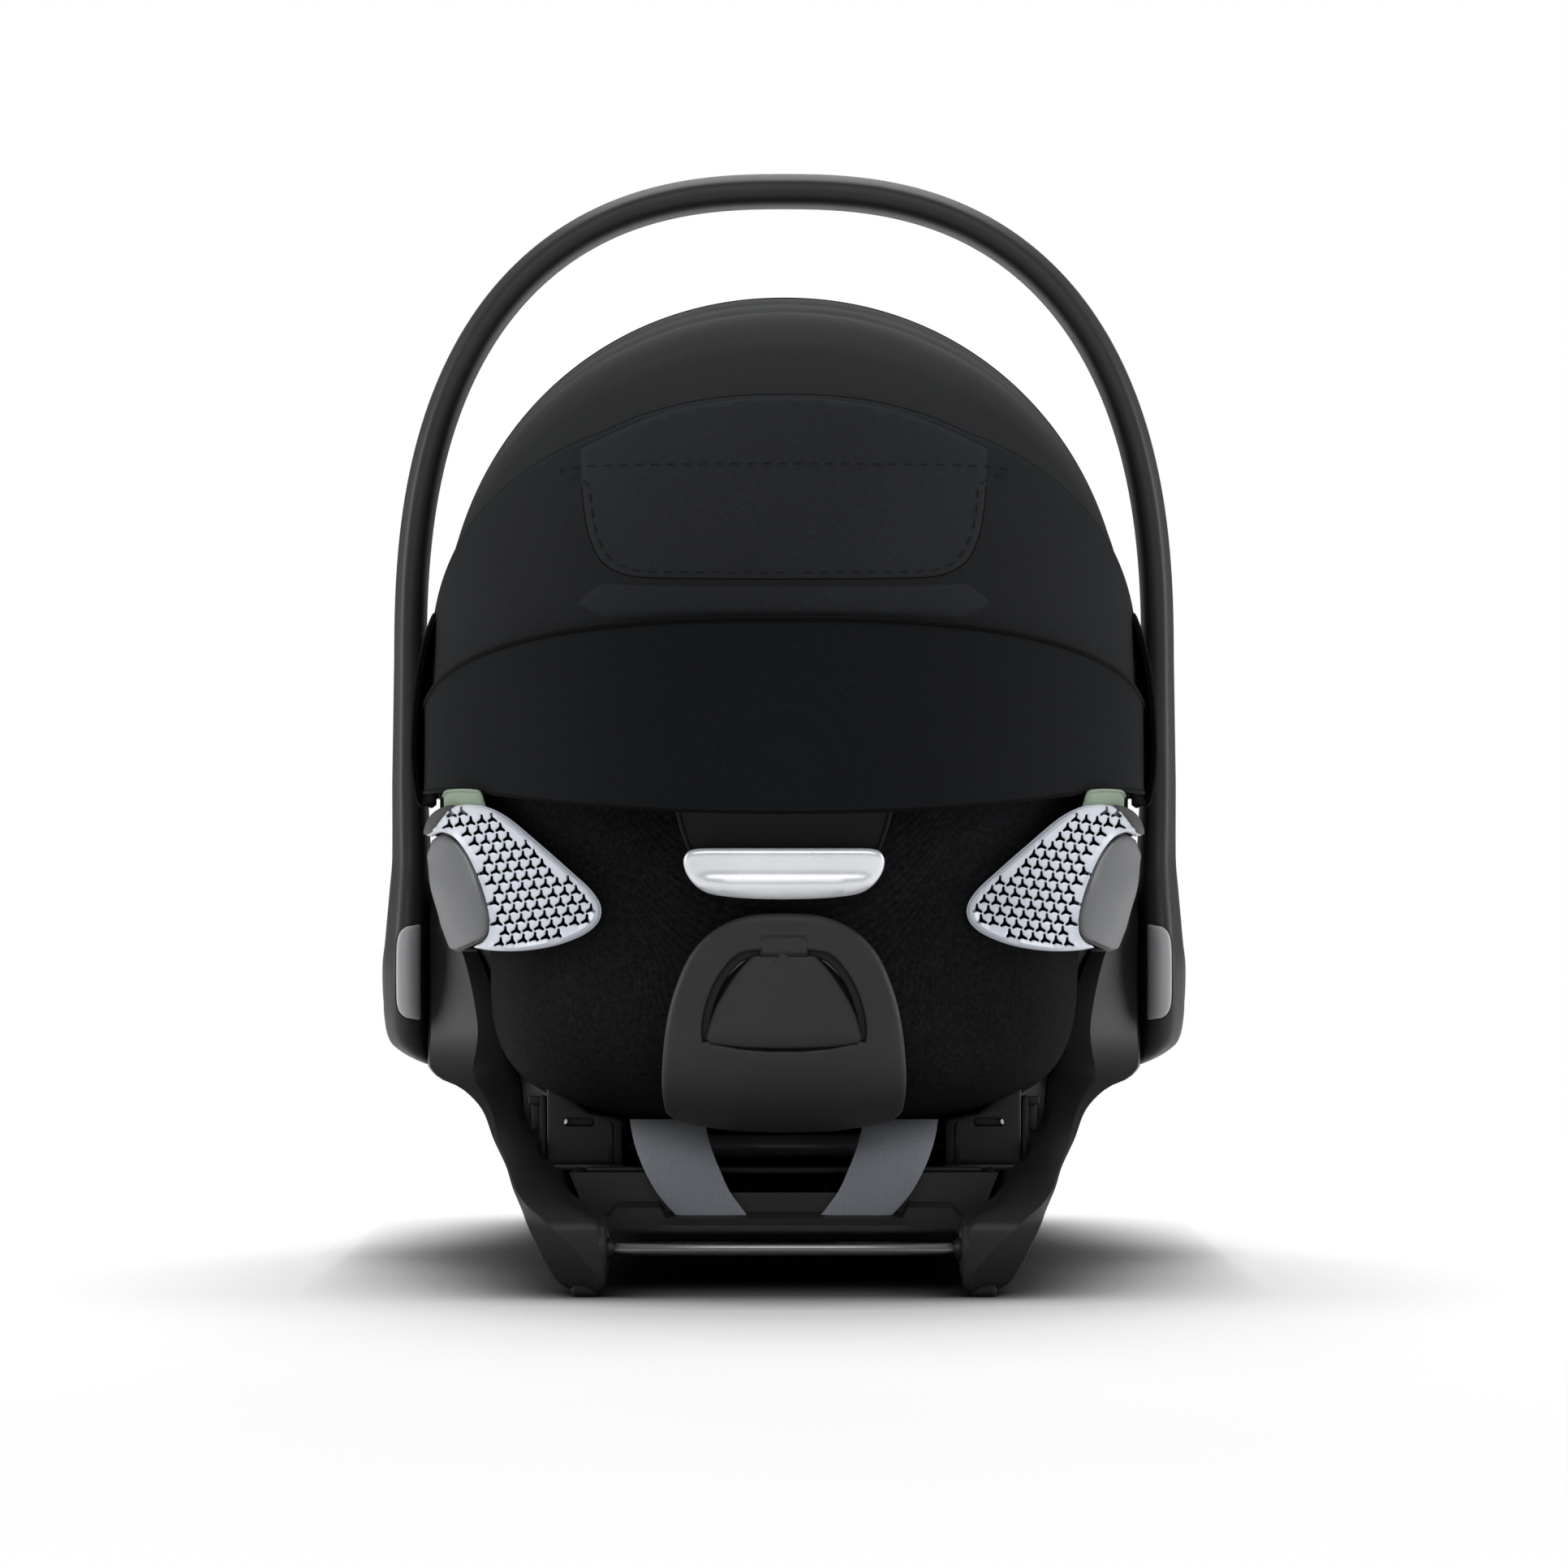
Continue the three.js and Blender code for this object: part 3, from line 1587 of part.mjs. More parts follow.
function linerAt(v, x, raised) {
  const place = Math.min(gridAlong.length - 2, Math.floor(v * (gridAlong.length - 1)));
  const share = v * (gridAlong.length - 1) - place;
  const before = acrossRow(gridRow(gridAlong[place], raised), x);
  return before.lerp(acrossRow(gridRow(gridAlong[place + 1], raised), x), share);
}

// The trough between the rim and the middle line, lowered by a distance and run on at both ends.
function trough(lowered, runOn) {
  const rings = gridAlong.map((v) => {
    const ring = gridRow(v, -lowered);
    const first = ring[0];
    const last = ring[ring.length - 1];
    ring.push(last.clone().setZ(SEAT.headRim * 2), first.clone().setZ(SEAT.headRim * 2));
    return ring;
  });
  if (runOn) {
    const along = new THREE.Vector3(0, runOn, 0);
    rings.unshift(rings[0].map((point) => point.clone().sub(along)));
    rings.push(rings[rings.length - 1].map((point) => point.clone().add(along)));
  }
  return loft(rings);
}

function foamLiner() {
  const body = common(bowl(-SEAT.wall - FIT.gap, bowlTop), trough(LINER.foam, LINER.runOn));
  return cut(body, aboveRim(SEAT.rimDrop), trough(0, 0));
}

add("foam_liner", foamLiner(), MATERIALS.foam);

// A padded layer over some rows and columns of the grid: full in its middle, drawn in at its rim.
function paddedLayer(rows, columns, base, height) {
  const crown = (i, count) => 0.3 + 0.7 * Math.sin((Math.PI * i) / (count - 1)) ** 0.4;
  const top = rows.map((v, i) =>
    columns.map((u, j) =>
      linerPoint(v, u, base + height * Math.min(crown(i, rows.length), crown(j, columns.length))),
    ),
  );
  const under = rows.map((v) => columns.map((u) => linerPoint(v, u, base)));
  return slab(top, under);
}

const cushionBase = FIT.gap * 2;
const cushionTop = cushionBase + LINER.cushion;
const insertBase = cushionTop + FIT.gap * 2;
const insertTop = insertBase + LINER.insert;

add(
  "seat_cushion",
  paddedLayer(gridAlong.slice(1, -1), gridAcross.slice(1, -1), cushionBase, LINER.cushion),
  MATERIALS.liner,
);

add(
  "newborn_insert",
  paddedLayer(gridAlong.slice(5, 11), gridAcross.slice(3, -3), insertBase, LINER.insert),
  MATERIALS.liner,
);

// Headrest, in its own axes: along the back, and square to it

const alongBack = backFoot.clone().sub(backTop).normalize();
const offBack = new THREE.Vector2(-alongBack.y, alongBack.x);

function headrestPoint(share, q, raised) {
  const swing = (q * Math.PI) / 2;
  const depth = HEADREST.depth * (1 - 0.45 * share * share);
  const off =
    cushionTop - FIT.gap * 2 + raised + (depth - raised) * (1 - Math.abs(Math.cos(swing)) ** 0.8);
  const at = backTop
    .clone()
    .addScaledVector(alongBack, HEADREST.from + HEADREST.length * share)
    .addScaledVector(offBack, off);
  return new THREE.Vector3((HEADREST.half - raised) * signedPower(Math.sin(swing), 0.7), at.x, at.y);
}

// One grid serves the headrest's shell and its pad.
const headrestRows = shares(6);
const headrestColumns = shares(13, -0.97, 0.97);

function headrestGrid(columns, raisedAt) {
  return headrestRows.map((share, i) => columns.map((q, j) => headrestPoint(share, q, raisedAt(i, j))));
}

function headrestShell() {
  return slab(
    headrestGrid(headrestColumns, () => HEADREST.wall),
    headrestGrid(headrestColumns, () => 0),
  );
}

function headrestPad() {
  const columns = headrestColumns.slice(1, -1);
  const crown = (i, count) => 0.3 + 0.7 * Math.sin((Math.PI * i) / (count - 1)) ** 0.45;
  const base = HEADREST.wall + FIT.slide;
  return slab(
    headrestGrid(
      columns,
      (i, j) => base + HEADREST.pad * Math.min(crown(i, headrestRows.length), crown(j, columns.length)),
    ),
    headrestGrid(columns, () => base),
  );
}

add("headrest_shell", headrestShell(), MATERIALS.shell);
add("headrest_pad", headrestPad(), MATERIALS.liner);

// Harness on the inner side

// The stops of a band from v0 to v1: its ends, and every grid row between them.
function bandStops(v0, v1, drawn) {
  const ends = drawn ? [v0, v0 + drawn, v1 - drawn, v1] : [v0, v1];
  return [...ends, ...gridAlong.filter((v) => v > v0 + drawn && v < v1 - drawn)].sort((m, n) => m - n);
}

// A flat band that follows the liner, from v0 to v1, its middle moving from x0 to x1.
function bandAlong({ v0, v1, x0, x1, width, base, thickness, drawn = 0 }) {
  const stops = bandStops(v0, v1, drawn);
  const grid = (raised) =>
    stops.map((v, i) => {
      const x = x0 + ((x1 - x0) * (v - v0)) / (v1 - v0);
      const atEnd = i === 0 || i === stops.length - 1;
      return [-1, -0.6, 0.6, 1].map((side) => {
        const low = drawn && (atEnd || Math.abs(side) === 1) ? 0.4 : 1;
        return linerAt(v, x + (side * width) / 2, base + raised * low);
      });
    });
  return slab(grid(thickness), grid(0));
}

function bandAcross(v, x0, x1, width, base, thickness) {
  const halfShare = width / 2 / middleLength;
  const grid = (raised) =>
    shares(7).map((share) =>
      [-1, 1].map((side) => linerAt(v + side * halfShare, x0 + (x1 - x0) * share, base + raised)),
    );
  return slab(grid(thickness), grid(0));
}

const strapBase = insertTop + HARNESS.clearance;
const strapTop = strapBase + HARNESS.thickness;

addPair(
  "shoulder_strap",
  bandAlong({
    v0: 0.36,
    v1: 0.545,
    x0: HARNESS.shoulderX,
    x1: HARNESS.buckleX,
    width: HARNESS.webbing,
    base: strapBase,
    thickness: HARNESS.thickness,
  }),
  MATERIALS.webbing,
);
addPair(
  "shoulder_pad",
  bandAlong({
    v0: 0.37,
    v1: 0.48,
    x0: HARNESS.shoulderX,
    x1: HARNESS.shoulderX - (HARNESS.shoulderX - HARNESS.buckleX) * 0.6,
    width: HARNESS.padWidth,
    base: strapTop + HARNESS.clearance,
    thickness: HARNESS.padThickness,
    drawn: 0.014,
  }),
  MATERIALS.liner,
);
addPair(
  "lap_strap",
  bandAcross(
    0.52,
    HARNESS.buckleX + HARNESS.webbing,
    HARNESS.lapReach,
    HARNESS.webbing,
    strapBase,
    HARNESS.thickness,
  ),
  MATERIALS.webbing,
);
add(
  "crotch_pad",
  bandAlong({
    v0: 0.56,
    v1: 0.675,
    x0: 0,
    x1: 0,
    width: HARNESS.crotchWidth,
    base: strapBase,
    thickness: HARNESS.crotchThickness,
    drawn: 0.012,
  }),
  MATERIALS.liner,
);

// Sets a piece drawn in its own axes on the liner: X across, Y along the seat, Z off it.
function placedOnLiner(geometry, v, raised) {
  const at = middleLine.getPoint(v);
  const before = middleLine.getPoint(v - 0.01);
  const after = middleLine.getPoint(v + 0.01);
  const along = after.sub(before).normalize();
  const off = new THREE.Vector2(-along.y, along.x);
  const place = at.addScaledVector(off, raised);
  return geometry.applyMatrix4(
    new THREE.Matrix4()
      .makeBasis(
        new THREE.Vector3(-1, 0, 0),
        new THREE.Vector3(0, -along.x, -along.y),
        new THREE.Vector3(0, off.x, off.y),
      )
      .setPosition(0, place.x, place.y),
  );
}

function pressHousing({ half, length, height, buttonHalf, buttonLength, travel }) {
  const body = extruded(roundedRect(-half, half, -length / 2, length / 2, half / 3), height, 3);
  const pocket = extruded(
    roundedRect(
      -buttonHalf - FIT.gap,
      buttonHalf + FIT.gap,
      -buttonLength / 2 - FIT.gap,
      buttonLength / 2 + FIT.gap,
      buttonHalf / 3,
    ),
    height,
    2,
  ).translate(0, 0, height - travel * 3);
  return cut(body, pocket);
}

function pressButton({ height, buttonHalf, buttonLength, buttonProud, travel }) {
  const bottom = height - travel * 3 + travel + FIT.slide;
  return extruded(
    roundedRect(-buttonHalf, buttonHalf, -buttonLength / 2, buttonLength / 2, buttonHalf / 3),
    height + buttonProud - bottom,
    2,
  ).translate(0, 0, bottom);
}

const buckleBase = strapBase + HARNESS.crotchThickness + FIT.slide * 3;
add("buckle_body", placedOnLiner(pressHousing(BUCKLE), 0.61, buckleBase), MATERIALS.black);
add("buckle_button", placedOnLiner(pressButton(BUCKLE), 0.61, buckleBase), MATERIALS.red);
const adjusterSeatShare = 0.885;
const adjusterBase = cushionBase + LINER.cushion * adjusterSeatShare;
add("adjuster_housing", placedOnLiner(pressHousing(ADJUSTER), 0.83, adjusterBase), MATERIALS.black);
add("adjuster_button", placedOnLiner(pressButton(ADJUSTER), 0.83, adjusterBase), MATERIALS.button);

// Canopy: panels round the pivot axis, nested from the outer rear one to the inner front one

// Angle from upright, towards the head end, and the radius there, as a share of the largest.
const canopyPanels = {
  rear: { nest: 0, from: 77.6, to: 94.3, radiusShares: [1, 0.998, 0.994], power: 2.6, hem: true },
  mid: { nest: 1, from: 54, to: 77.3, radiusShares: [0.985, 0.985, 0.985, 0.985], power: 2.4 },
  upper: { nest: 2, from: 11, to: 53.7, radiusShares: [0.822, 0.858, 0.897, 0.935, 0.963, 0.97], power: 2.2 },
  front: {
    nest: 3,
    from: -27,
    to: 10.7,
    radiusShares: shares(5, CANOPY.frontShare, CANOPY.frontShare),
    power: 2,
  },
};

function canopySection(turn, radius, half, power, columns) {
  const points = [];
  const at = (x, reach) =>
    new THREE.Vector3(
      x,
      CANOPY.pivotY - reach * Math.sin(turn),
      CANOPY.pivotHeight + reach * Math.cos(turn),
    );
  const low = CANOPY.pivotRadius + FIT.slide * 4;
  points.push(at(half, low));
  for (const share of shares(columns)) {
    const swing = Math.PI * share;
    const x = half * signedPower(Math.cos(swing), 2 / power);
    points.push(at(x, CANOPY.straight + (radius - CANOPY.straight) * Math.sin(swing) ** (2 / power)));
  }
  points.push(at(-half, low));
  return points;
}

// The drop panel's hem lifts towards the sides.
function hemmed(row, half) {
  return row.map((point) => {
    const aside = Math.min(1, Math.abs(point.x) / (half * CANOPY.hemShare));
    const height = CANOPY.hemHeight + CANOPY.hemLift * aside ** 2.2;
    return point.clone().setZ(Math.min(CANOPY.pivotHeight - CANOPY.hemLift / 2, height));
  });
}

function canopyPanel({ nest, from, to, radiusShares, power, hem }) {
  const step = CANOPY.cloth + FIT.slide;
  const half = CANOPY.half - nest * step;
  const last = radiusShares.length - 1;
  const grid = (inset) =>
    radiusShares.map((share, i) => {
      const turn = radians(from + ((to - from) * i) / last);
      const row = canopySection(turn, canopyRadius * share - inset, half - inset, power, 15);
      return hem && i === last ? hemmed(row, half) : row;
    });
  return slab(grid(0), grid(CANOPY.cloth));
}

for (const [name, panel] of Object.entries(canopyPanels)) {
  add(`canopy_${name}_panel`, canopyPanel(panel), MATERIALS.canopy);
}

function canopyBow(panel, turnDegrees, share) {
  const step = CANOPY.cloth + FIT.slide;
  const inset = CANOPY.cloth + FIT.slide * 1.5 + CANOPY.bowRadius;
  const half = CANOPY.half - panel.nest * step - inset;
  const radius = canopyRadius * share - inset;
  const turn = radians(turnDegrees);
  const path = canopySection(turn, radius, half, panel.power, 15).slice(1, -1);
  const axis = new THREE.Vector3(0, Math.cos(turn), Math.sin(turn));
  const rings = path.map((point, i) => {
    const before = path[Math.max(0, i - 1)];
    const after = path[Math.min(path.length - 1, i + 1)];
    const along = after.clone().sub(before).normalize();
    const across = along.clone().cross(axis).normalize();
    return shares(7, 0, 2 * Math.PI)
      .slice(0, 6)
      .map((angle) =>
        point
          .clone()
          .addScaledVector(across, CANOPY.bowRadius * Math.cos(angle))
          .addScaledVector(axis, CANOPY.bowRadius * Math.sin(angle)),
      );
  });
  return loft(rings);
}

add("canopy_bow_mid", canopyBow(canopyPanels.upper, 52.4, 0.968), MATERIALS.black);
add("canopy_bow_front", canopyBow(canopyPanels.front, -26, CANOPY.frontShare), MATERIALS.black);

// Canopy pivots: a disc beside the shell's rim, on an arm down the shell's side

function canopyPivot() {
  const disc = barX(
    CANOPY.pivotRadius,
    SEAT.halfWidth,
    CANOPY.half,
    CANOPY.pivotY,
    CANOPY.pivotHeight,
    20,
  );
  const arm = box(
    SEAT.halfWidth,
    CANOPY.half - CANOPY.cloth,
    CANOPY.pivotY - CANOPY.pivotRadius * 0.8,
    CANOPY.pivotY + CANOPY.pivotRadius * 0.8,
    CANOPY.pivotHeight - CANOPY.armLength,
    CANOPY.pivotHeight,
  );
  return cut(join(disc, arm), bowl(FIT.gap, bowlTop));
}

addPair("canopy_pivot", canopyPivot(), MATERIALS.black);

export default carSeat;
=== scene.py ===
import math

import bmesh
import bpy
import numpy as np
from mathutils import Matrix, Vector
from mathutils.bvhtree import BVHTree
from mathutils.geometry import delaunay_2d_cdt


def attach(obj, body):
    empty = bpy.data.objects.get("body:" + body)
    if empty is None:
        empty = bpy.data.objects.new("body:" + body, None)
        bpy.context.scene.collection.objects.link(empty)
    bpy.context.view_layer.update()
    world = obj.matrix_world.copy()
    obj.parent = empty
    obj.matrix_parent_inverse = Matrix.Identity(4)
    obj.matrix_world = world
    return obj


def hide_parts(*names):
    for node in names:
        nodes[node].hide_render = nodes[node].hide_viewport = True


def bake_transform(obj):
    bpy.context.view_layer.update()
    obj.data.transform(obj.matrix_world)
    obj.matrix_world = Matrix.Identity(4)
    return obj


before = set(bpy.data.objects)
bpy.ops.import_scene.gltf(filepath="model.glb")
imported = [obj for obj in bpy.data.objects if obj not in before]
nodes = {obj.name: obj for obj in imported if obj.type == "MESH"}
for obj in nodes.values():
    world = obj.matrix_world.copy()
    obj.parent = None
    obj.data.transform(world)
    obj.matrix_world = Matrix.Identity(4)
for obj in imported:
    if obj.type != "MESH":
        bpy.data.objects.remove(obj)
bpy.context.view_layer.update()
MM = 0.001

# ---------------------------------------------------------------- materials


class Nodes:
    """A short way to wire a material's nodes."""

    def __init__(self, name):
        self.material = bpy.data.materials.new(name)
        self.material.use_nodes = True
        self.tree = self.material.node_tree
        self.tree.nodes.clear()
        self.out = self.add("ShaderNodeOutputMaterial")
        self.bsdf = self.add("ShaderNodeBsdfPrincipled")
        self.link(self.bsdf.outputs[0], self.out.inputs[0])

    def add(self, kind, **values):
        node = self.tree.nodes.new(kind)
        for key, value in values.items():
            setattr(node, key, value)
        return node

    def link(self, a, b):
        self.tree.links.new(a, b)

    def place(self, scale=(1, 1, 1)):
        coords = self.add("ShaderNodeTexCoord")
        mapping = self.add("ShaderNodeMapping")
        mapping.inputs["Scale"].default_value = scale
        self.link(coords.outputs["Object"], mapping.inputs["Vector"])
        return mapping.outputs["Vector"]

    def noise(self, scale, detail=3, rough=0.55, stretch=(1, 1, 1)):
        node = self.add("ShaderNodeTexNoise")
        node.inputs["Scale"].default_value = scale
        node.inputs["Detail"].default_value = detail
        node.inputs["Roughness"].default_value = rough
        self.link(self.place(stretch), node.inputs["Vector"])
        return node.outputs["Fac"]

    def wave(self, scale, direction, distortion=0.3):
        node = self.add("ShaderNodeTexWave", bands_direction=direction)
        node.inputs["Scale"].default_value = scale
        node.inputs["Distortion"].default_value = distortion
        node.inputs["Detail"].default_value = 1
        self.link(self.place(), node.inputs["Vector"])
        return node.outputs["Fac"]

    def ramp(self, value, stops):
        node = self.add("ShaderNodeValToRGB")
        node.color_ramp.elements[0].position = stops[0][0]
        node.color_ramp.elements[0].color = (*stops[0][1], 1)
        node.color_ramp.elements[1].position = stops[-1][0]
        node.color_ramp.elements[1].color = (*stops[-1][1], 1)
        for position, colour in stops[1:-1]:
            element = node.color_ramp.elements.new(position)
            element.color = (*colour, 1)
        self.link(value, node.inputs[0])
        return node.outputs[0]

    def mix(self, a, b, share=0.5):
        node = self.add("ShaderNodeMath", operation="ADD")
        first = self.scaled(a, 1 - share)
        second = self.scaled(b, share)
        self.link(first, node.inputs[0])
        self.link(second, node.inputs[1])
        return node.outputs[0]

    def scaled(self, value, factor):
        node = self.add("ShaderNodeMath", operation="MULTIPLY")
        self.link(value, node.inputs[0])
        node.inputs[1].default_value = factor
        return node.outputs[0]

    def span(self, value, low, high):
        node = self.add("ShaderNodeMapRange")
        node.inputs["To Min"].default_value = low
        node.inputs["To Max"].default_value = high
        self.link(value, node.inputs["Value"])
        return node.outputs[0]

    def bump(self, height, strength, distance):
        node = self.add("ShaderNodeBump")
        node.inputs["Strength"].default_value = strength
        node.inputs["Distance"].default_value = distance
        self.link(height, node.inputs["Height"])
        self.link(node.outputs[0], self.bsdf.inputs["Normal"])

    def surface(self, colour, rough, **values):
        """Wires colour and roughness, and sets plain inputs by their names, with _ for a space."""
        self.link(colour, self.bsdf.inputs["Base Color"])
        self.link(rough, self.bsdf.inputs["Roughness"])
        for name, value in values.items():
            self.bsdf.inputs[name.replace("_", " ")].default_value = value


def tone(colour, factor):
    return tuple(min(1, c * factor) for c in colour)


def plastic(name, colour, rough, grain=900, depth=0.00012, specular=0.28, coat=0.0):
    n = Nodes(name)
    fine = n.noise(grain, 2, 0.6)
    broad = n.noise(14, 3, 0.5)
    n.surface(
        n.ramp(broad, [(0.3, tone(colour, 0.9)), (0.7, tone(colour, 1.12))]),
        n.span(n.mix(fine, broad, 0.45), rough - 0.06, rough + 0.08),
        Specular_IOR_Level=specular,
        Coat_Weight=coat,
        Coat_Roughness=0.2,
    )
    n.bump(fine, 0.35, depth)
    return n.material


def cloth(name, colour, heather=0.35, weave=420, depth=0.0004, rough=0.92, sheen=0.0, fleck=260):
    n = Nodes(name)
    across, up, weft = (n.wave(weave, axis) for axis in "XZY")
    threads = n.mix(n.mix(across, up), weft, 0.34)
    flecks = n.noise(fleck, 4, 0.7)
    clouds = n.noise(9, 2, 0.5)
    shade = n.mix(n.mix(flecks, threads, 0.25), clouds, 0.3)
    stops = [(0.34, tone(colour, 1 - heather)), (0.52, colour), (0.7, tone(colour, 1 + 1.6 * heather))]
    n.surface(
        n.ramp(shade, stops),
        n.span(flecks, rough - 0.1, rough + 0.05),
        Sheen_Weight=sheen,
        Sheen_Roughness=0.5,
        Specular_IOR_Level=0.05,
    )
    n.bump(n.mix(threads, flecks, 0.5), 0.5, depth)
    return n.material


def metal(name, colour, rough, stretch, metallic=1.0, coat=0.0):
    n = Nodes(name)
    lines = n.noise(60, 3, 0.6, stretch)
    n.surface(
        n.ramp(lines, [(0.3, tone(colour, 0.88)), (0.7, tone(colour, 1.08))]),
        n.span(lines, rough - 0.05, rough + 0.1),
        Metallic=metallic,
        Coat_Weight=coat,
        Coat_Roughness=0.15,
    )
    n.bump(lines, 0.15, 0.00005)
    return n.material


def webbing(name, colour):
    n = Nodes(name)
    ribs = n.wave(330, "X", 0.1)
    cross = n.wave(520, "Z", 0.1)
    flecks = n.noise(500, 3, 0.6)
    shade = n.mix(n.mix(ribs, cross, 0.4), flecks, 0.35)
    n.surface(
        n.ramp(shade, [(0.25, tone(colour, 0.72)), (0.75, tone(colour, 1.25))]),
        n.span(flecks, 0.7, 0.88),
        Sheen_Weight=0.25,
    )
    n.bump(n.mix(ribs, cross, 0.5), 0.6, 0.0003)
    return n.material


M = {
    "housing": plastic("housing", (0.0225, 0.0227, 0.023), 0.42),
    "frame": plastic("frame", (0.012, 0.012, 0.0122), 0.42),
    "black": plastic("black_plastic", (0.004, 0.004, 0.0045), 0.5),
    "button": plastic("button_grey", (0.4, 0.402, 0.41), 0.42),
    "rubber": plastic("rubber", (0.012, 0.012, 0.012), 0.8, 1400),
    "shell": plastic("shell", (0.006, 0.0065, 0.007), 0.55),
    "plate": plastic("belt_plate_plastic", (0.0235, 0.0235, 0.0238), 0.5),
    "smooth": plastic("smooth_trim", (0.0015, 0.0017, 0.0018), 0.65, 1600, 0.00005),
    "green": plastic("green_plastic", (0.215, 0.275, 0.2), 0.6),
    # the next two are the green plastic of the belt mouth's lining and lip, darkened for the shade inside the
    # mouth: painted shade, near black for the lining and half dark for the lip
    "green_dark": plastic("green_lining_painted_shade", (0.006, 0.008, 0.006), 0.7),
    "green_lip": plastic("green_lip", (0.1, 0.125, 0.095), 0.6),
    "pale": plastic("pale_plastic", (0.54, 0.57, 0.63), 0.34, 1500, 0.00004, 0.5, 0.25),
    "red": plastic("release_red", (0.45, 0.02, 0.016), 0.34, 1400, 0.00004, 0.5, 0.4),
    "foam": plastic("bead_foam", (0.55, 0.55, 0.53), 0.8, 260, 0.0005),
    "cap": metal("brushed_grey", (0.095, 0.098, 0.104), 0.42, (18, 18, 1.2), 0.35),
    "silver": metal("satin_silver", (0.81, 0.825, 0.85), 0.26, (0.2, 0.2, 0.2), 0.4, 0.4),
    "steel": metal("drawn_steel", (0.2, 0.2, 0.205), 0.24, (1, 25, 25), 1.0),
    "cover": cloth("cover_knit", (0.007, 0.0074, 0.008), 0.9, 380, 0.0005, 0.95, 0.0, 420),
    "canopy": cloth("canopy_cloth", (0.0136, 0.0145, 0.0156), 0.2, 520, 0.0002, 0.85, 0.0, 500),
    "visor": cloth("visor_cloth", (0.0145, 0.0153, 0.016), 0.2, 520, 0.0002, 0.82, 0.0, 500),
    "pocket": cloth("pocket_cloth", (0.0195, 0.0206, 0.022), 0.2, 520, 0.0002, 0.85, 0.0, 500),
    "drop": cloth("drop_cloth", (0.0078, 0.0086, 0.0094), 0.2, 520, 0.0002, 0.8, 0.0, 500),
    "lining": cloth("lining_knit", (0.020, 0.022, 0.025), 0.5, 300, 0.0005, 0.95, 0.3, 300),
    "insert": cloth("insert_knit", (0.035, 0.038, 0.042), 0.5, 300, 0.0005, 0.95, 0.3, 300),
    "piping": cloth("piping", (0.0035, 0.0035, 0.004), 0.3, 600, 0.0002, 0.8, 0.0, 500),
    "webbing": webbing("webbing", (0.19, 0.203, 0.228)),
    "harness": webbing("harness_webbing", (0.012, 0.013, 0.015)),
    "tube": plastic("coated_tube", (0.11, 0.11, 0.113), 0.32, 1200, 0.00003, 0.5, 0.2),
}

# ---------------------------------------------------------------- meshes


def made(name, verts, faces, material, sharp=36, smooth=True):
    """A mesh object from millimetre points, shaded smooth except over sharp edges."""
    mesh = bpy.data.meshes.new(name)
    mesh.from_pydata([(x * MM, y * MM, z * MM) for x, y, z in verts], [], faces)
    work = bmesh.new()
    work.from_mesh(mesh)
    bmesh.ops.remove_doubles(work, verts=work.verts, dist=1e-6)
    bmesh.ops.recalc_face_normals(work, faces=work.faces)
    limit = math.radians(sharp)
    for edge in work.edges:
        if len(edge.link_faces) == 2:
            edge.smooth = edge.calc_face_angle(0) < limit
    for face in work.faces:
        face.smooth = smooth
    work.to_mesh(mesh)
    work.free()
    piece = bpy.data.objects.new(name, mesh)
    bpy.context.scene.collection.objects.link(piece)
    mesh.materials.append(M[material] if isinstance(material, str) else material)
    return piece


def loft(rings, caps=True, closed=True):
    """Quads through rings of equally many points."""
    count = len(rings[0])
    verts = [tuple(p) for ring in rings for p in ring]
    faces = []
    last = count if closed else count - 1
    for i in range(len(rings) - 1):
        for j in range(last):
            k = (j + 1) % count
            faces.append((i * count + j, i * count + k, (i + 1) * count + k, (i + 1) * count + j))
    if caps:
        faces.append(tuple(range(count))[::-1])
        base = (len(rings) - 1) * count
        faces.append(tuple(base + j for j in range(count)))
    return verts, faces


def joined(*parts):
    verts, faces = [], []
    for v, f in parts:
        start = len(verts)
        verts += list(v)
        faces += [tuple(start + i for i in face) for face in f]
    return verts, faces


def sheet_faces(grid):
    """A single-layer grid of points as quads."""
    rows, columns = len(grid), len(grid[0])
    verts = [tuple(p) for row in grid for p in row]
    faces = [
        (i * columns + j, i * columns + j + 1, (i + 1) * columns + j + 1, (i + 1) * columns + j)
        for i in range(rows - 1)
        for j in range(columns - 1)
    ]
    return verts, faces


def tube(points, radius, sides=10, closed=False, flat=1.0):
    """A round tube along millimetre points."""
    pts = [Vector(p) for p in points]
    count = len(pts)
    rings = []
    normal = None
    for i, p in enumerate(pts):
        before = pts[i - 1] if (i or closed) else pts[i]
        after = pts[(i + 1) % count] if (i + 1 < count or closed) else pts[i]
        along = (after - before).normalized()
        if normal is None:
            normal = along.orthogonal().normalized()
        normal = (normal - along * normal.dot(along)).normalized()
        side = along.cross(normal)
        rings.append(
            [
                p + normal * radius * math.cos(a) + side * radius * flat * math.sin(a)
                for a in (2 * math.pi * k / sides for k in range(sides))
            ]
        )
    if closed:
        rings.append(rings[0])
    return loft(rings, caps=not closed)


def mirrored(part):
    verts, faces = part
    return [(-x, y, z) for x, y, z in verts], [face[::-1] for face in faces]


def dressed(piece, body, slot, *replaced):
    """Puts a piece on the body that it rides on and hides the CAD nodes that it replaces; slot is not used."""
    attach(piece, body)
    if replaced:
        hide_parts(*replaced)
    return piece


def pair(name, part, material, body, replaced=(), sharp=36, slot=None):
    """The right-hand piece and its mirror image."""
    for side, solid in (("right", part), ("left", mirrored(part))):
        piece = made(f"{name}_{side}", *solid, material, sharp)
        dressed(piece, body.format(side=side), slot, *[r.format(side=side) for r in replaced])


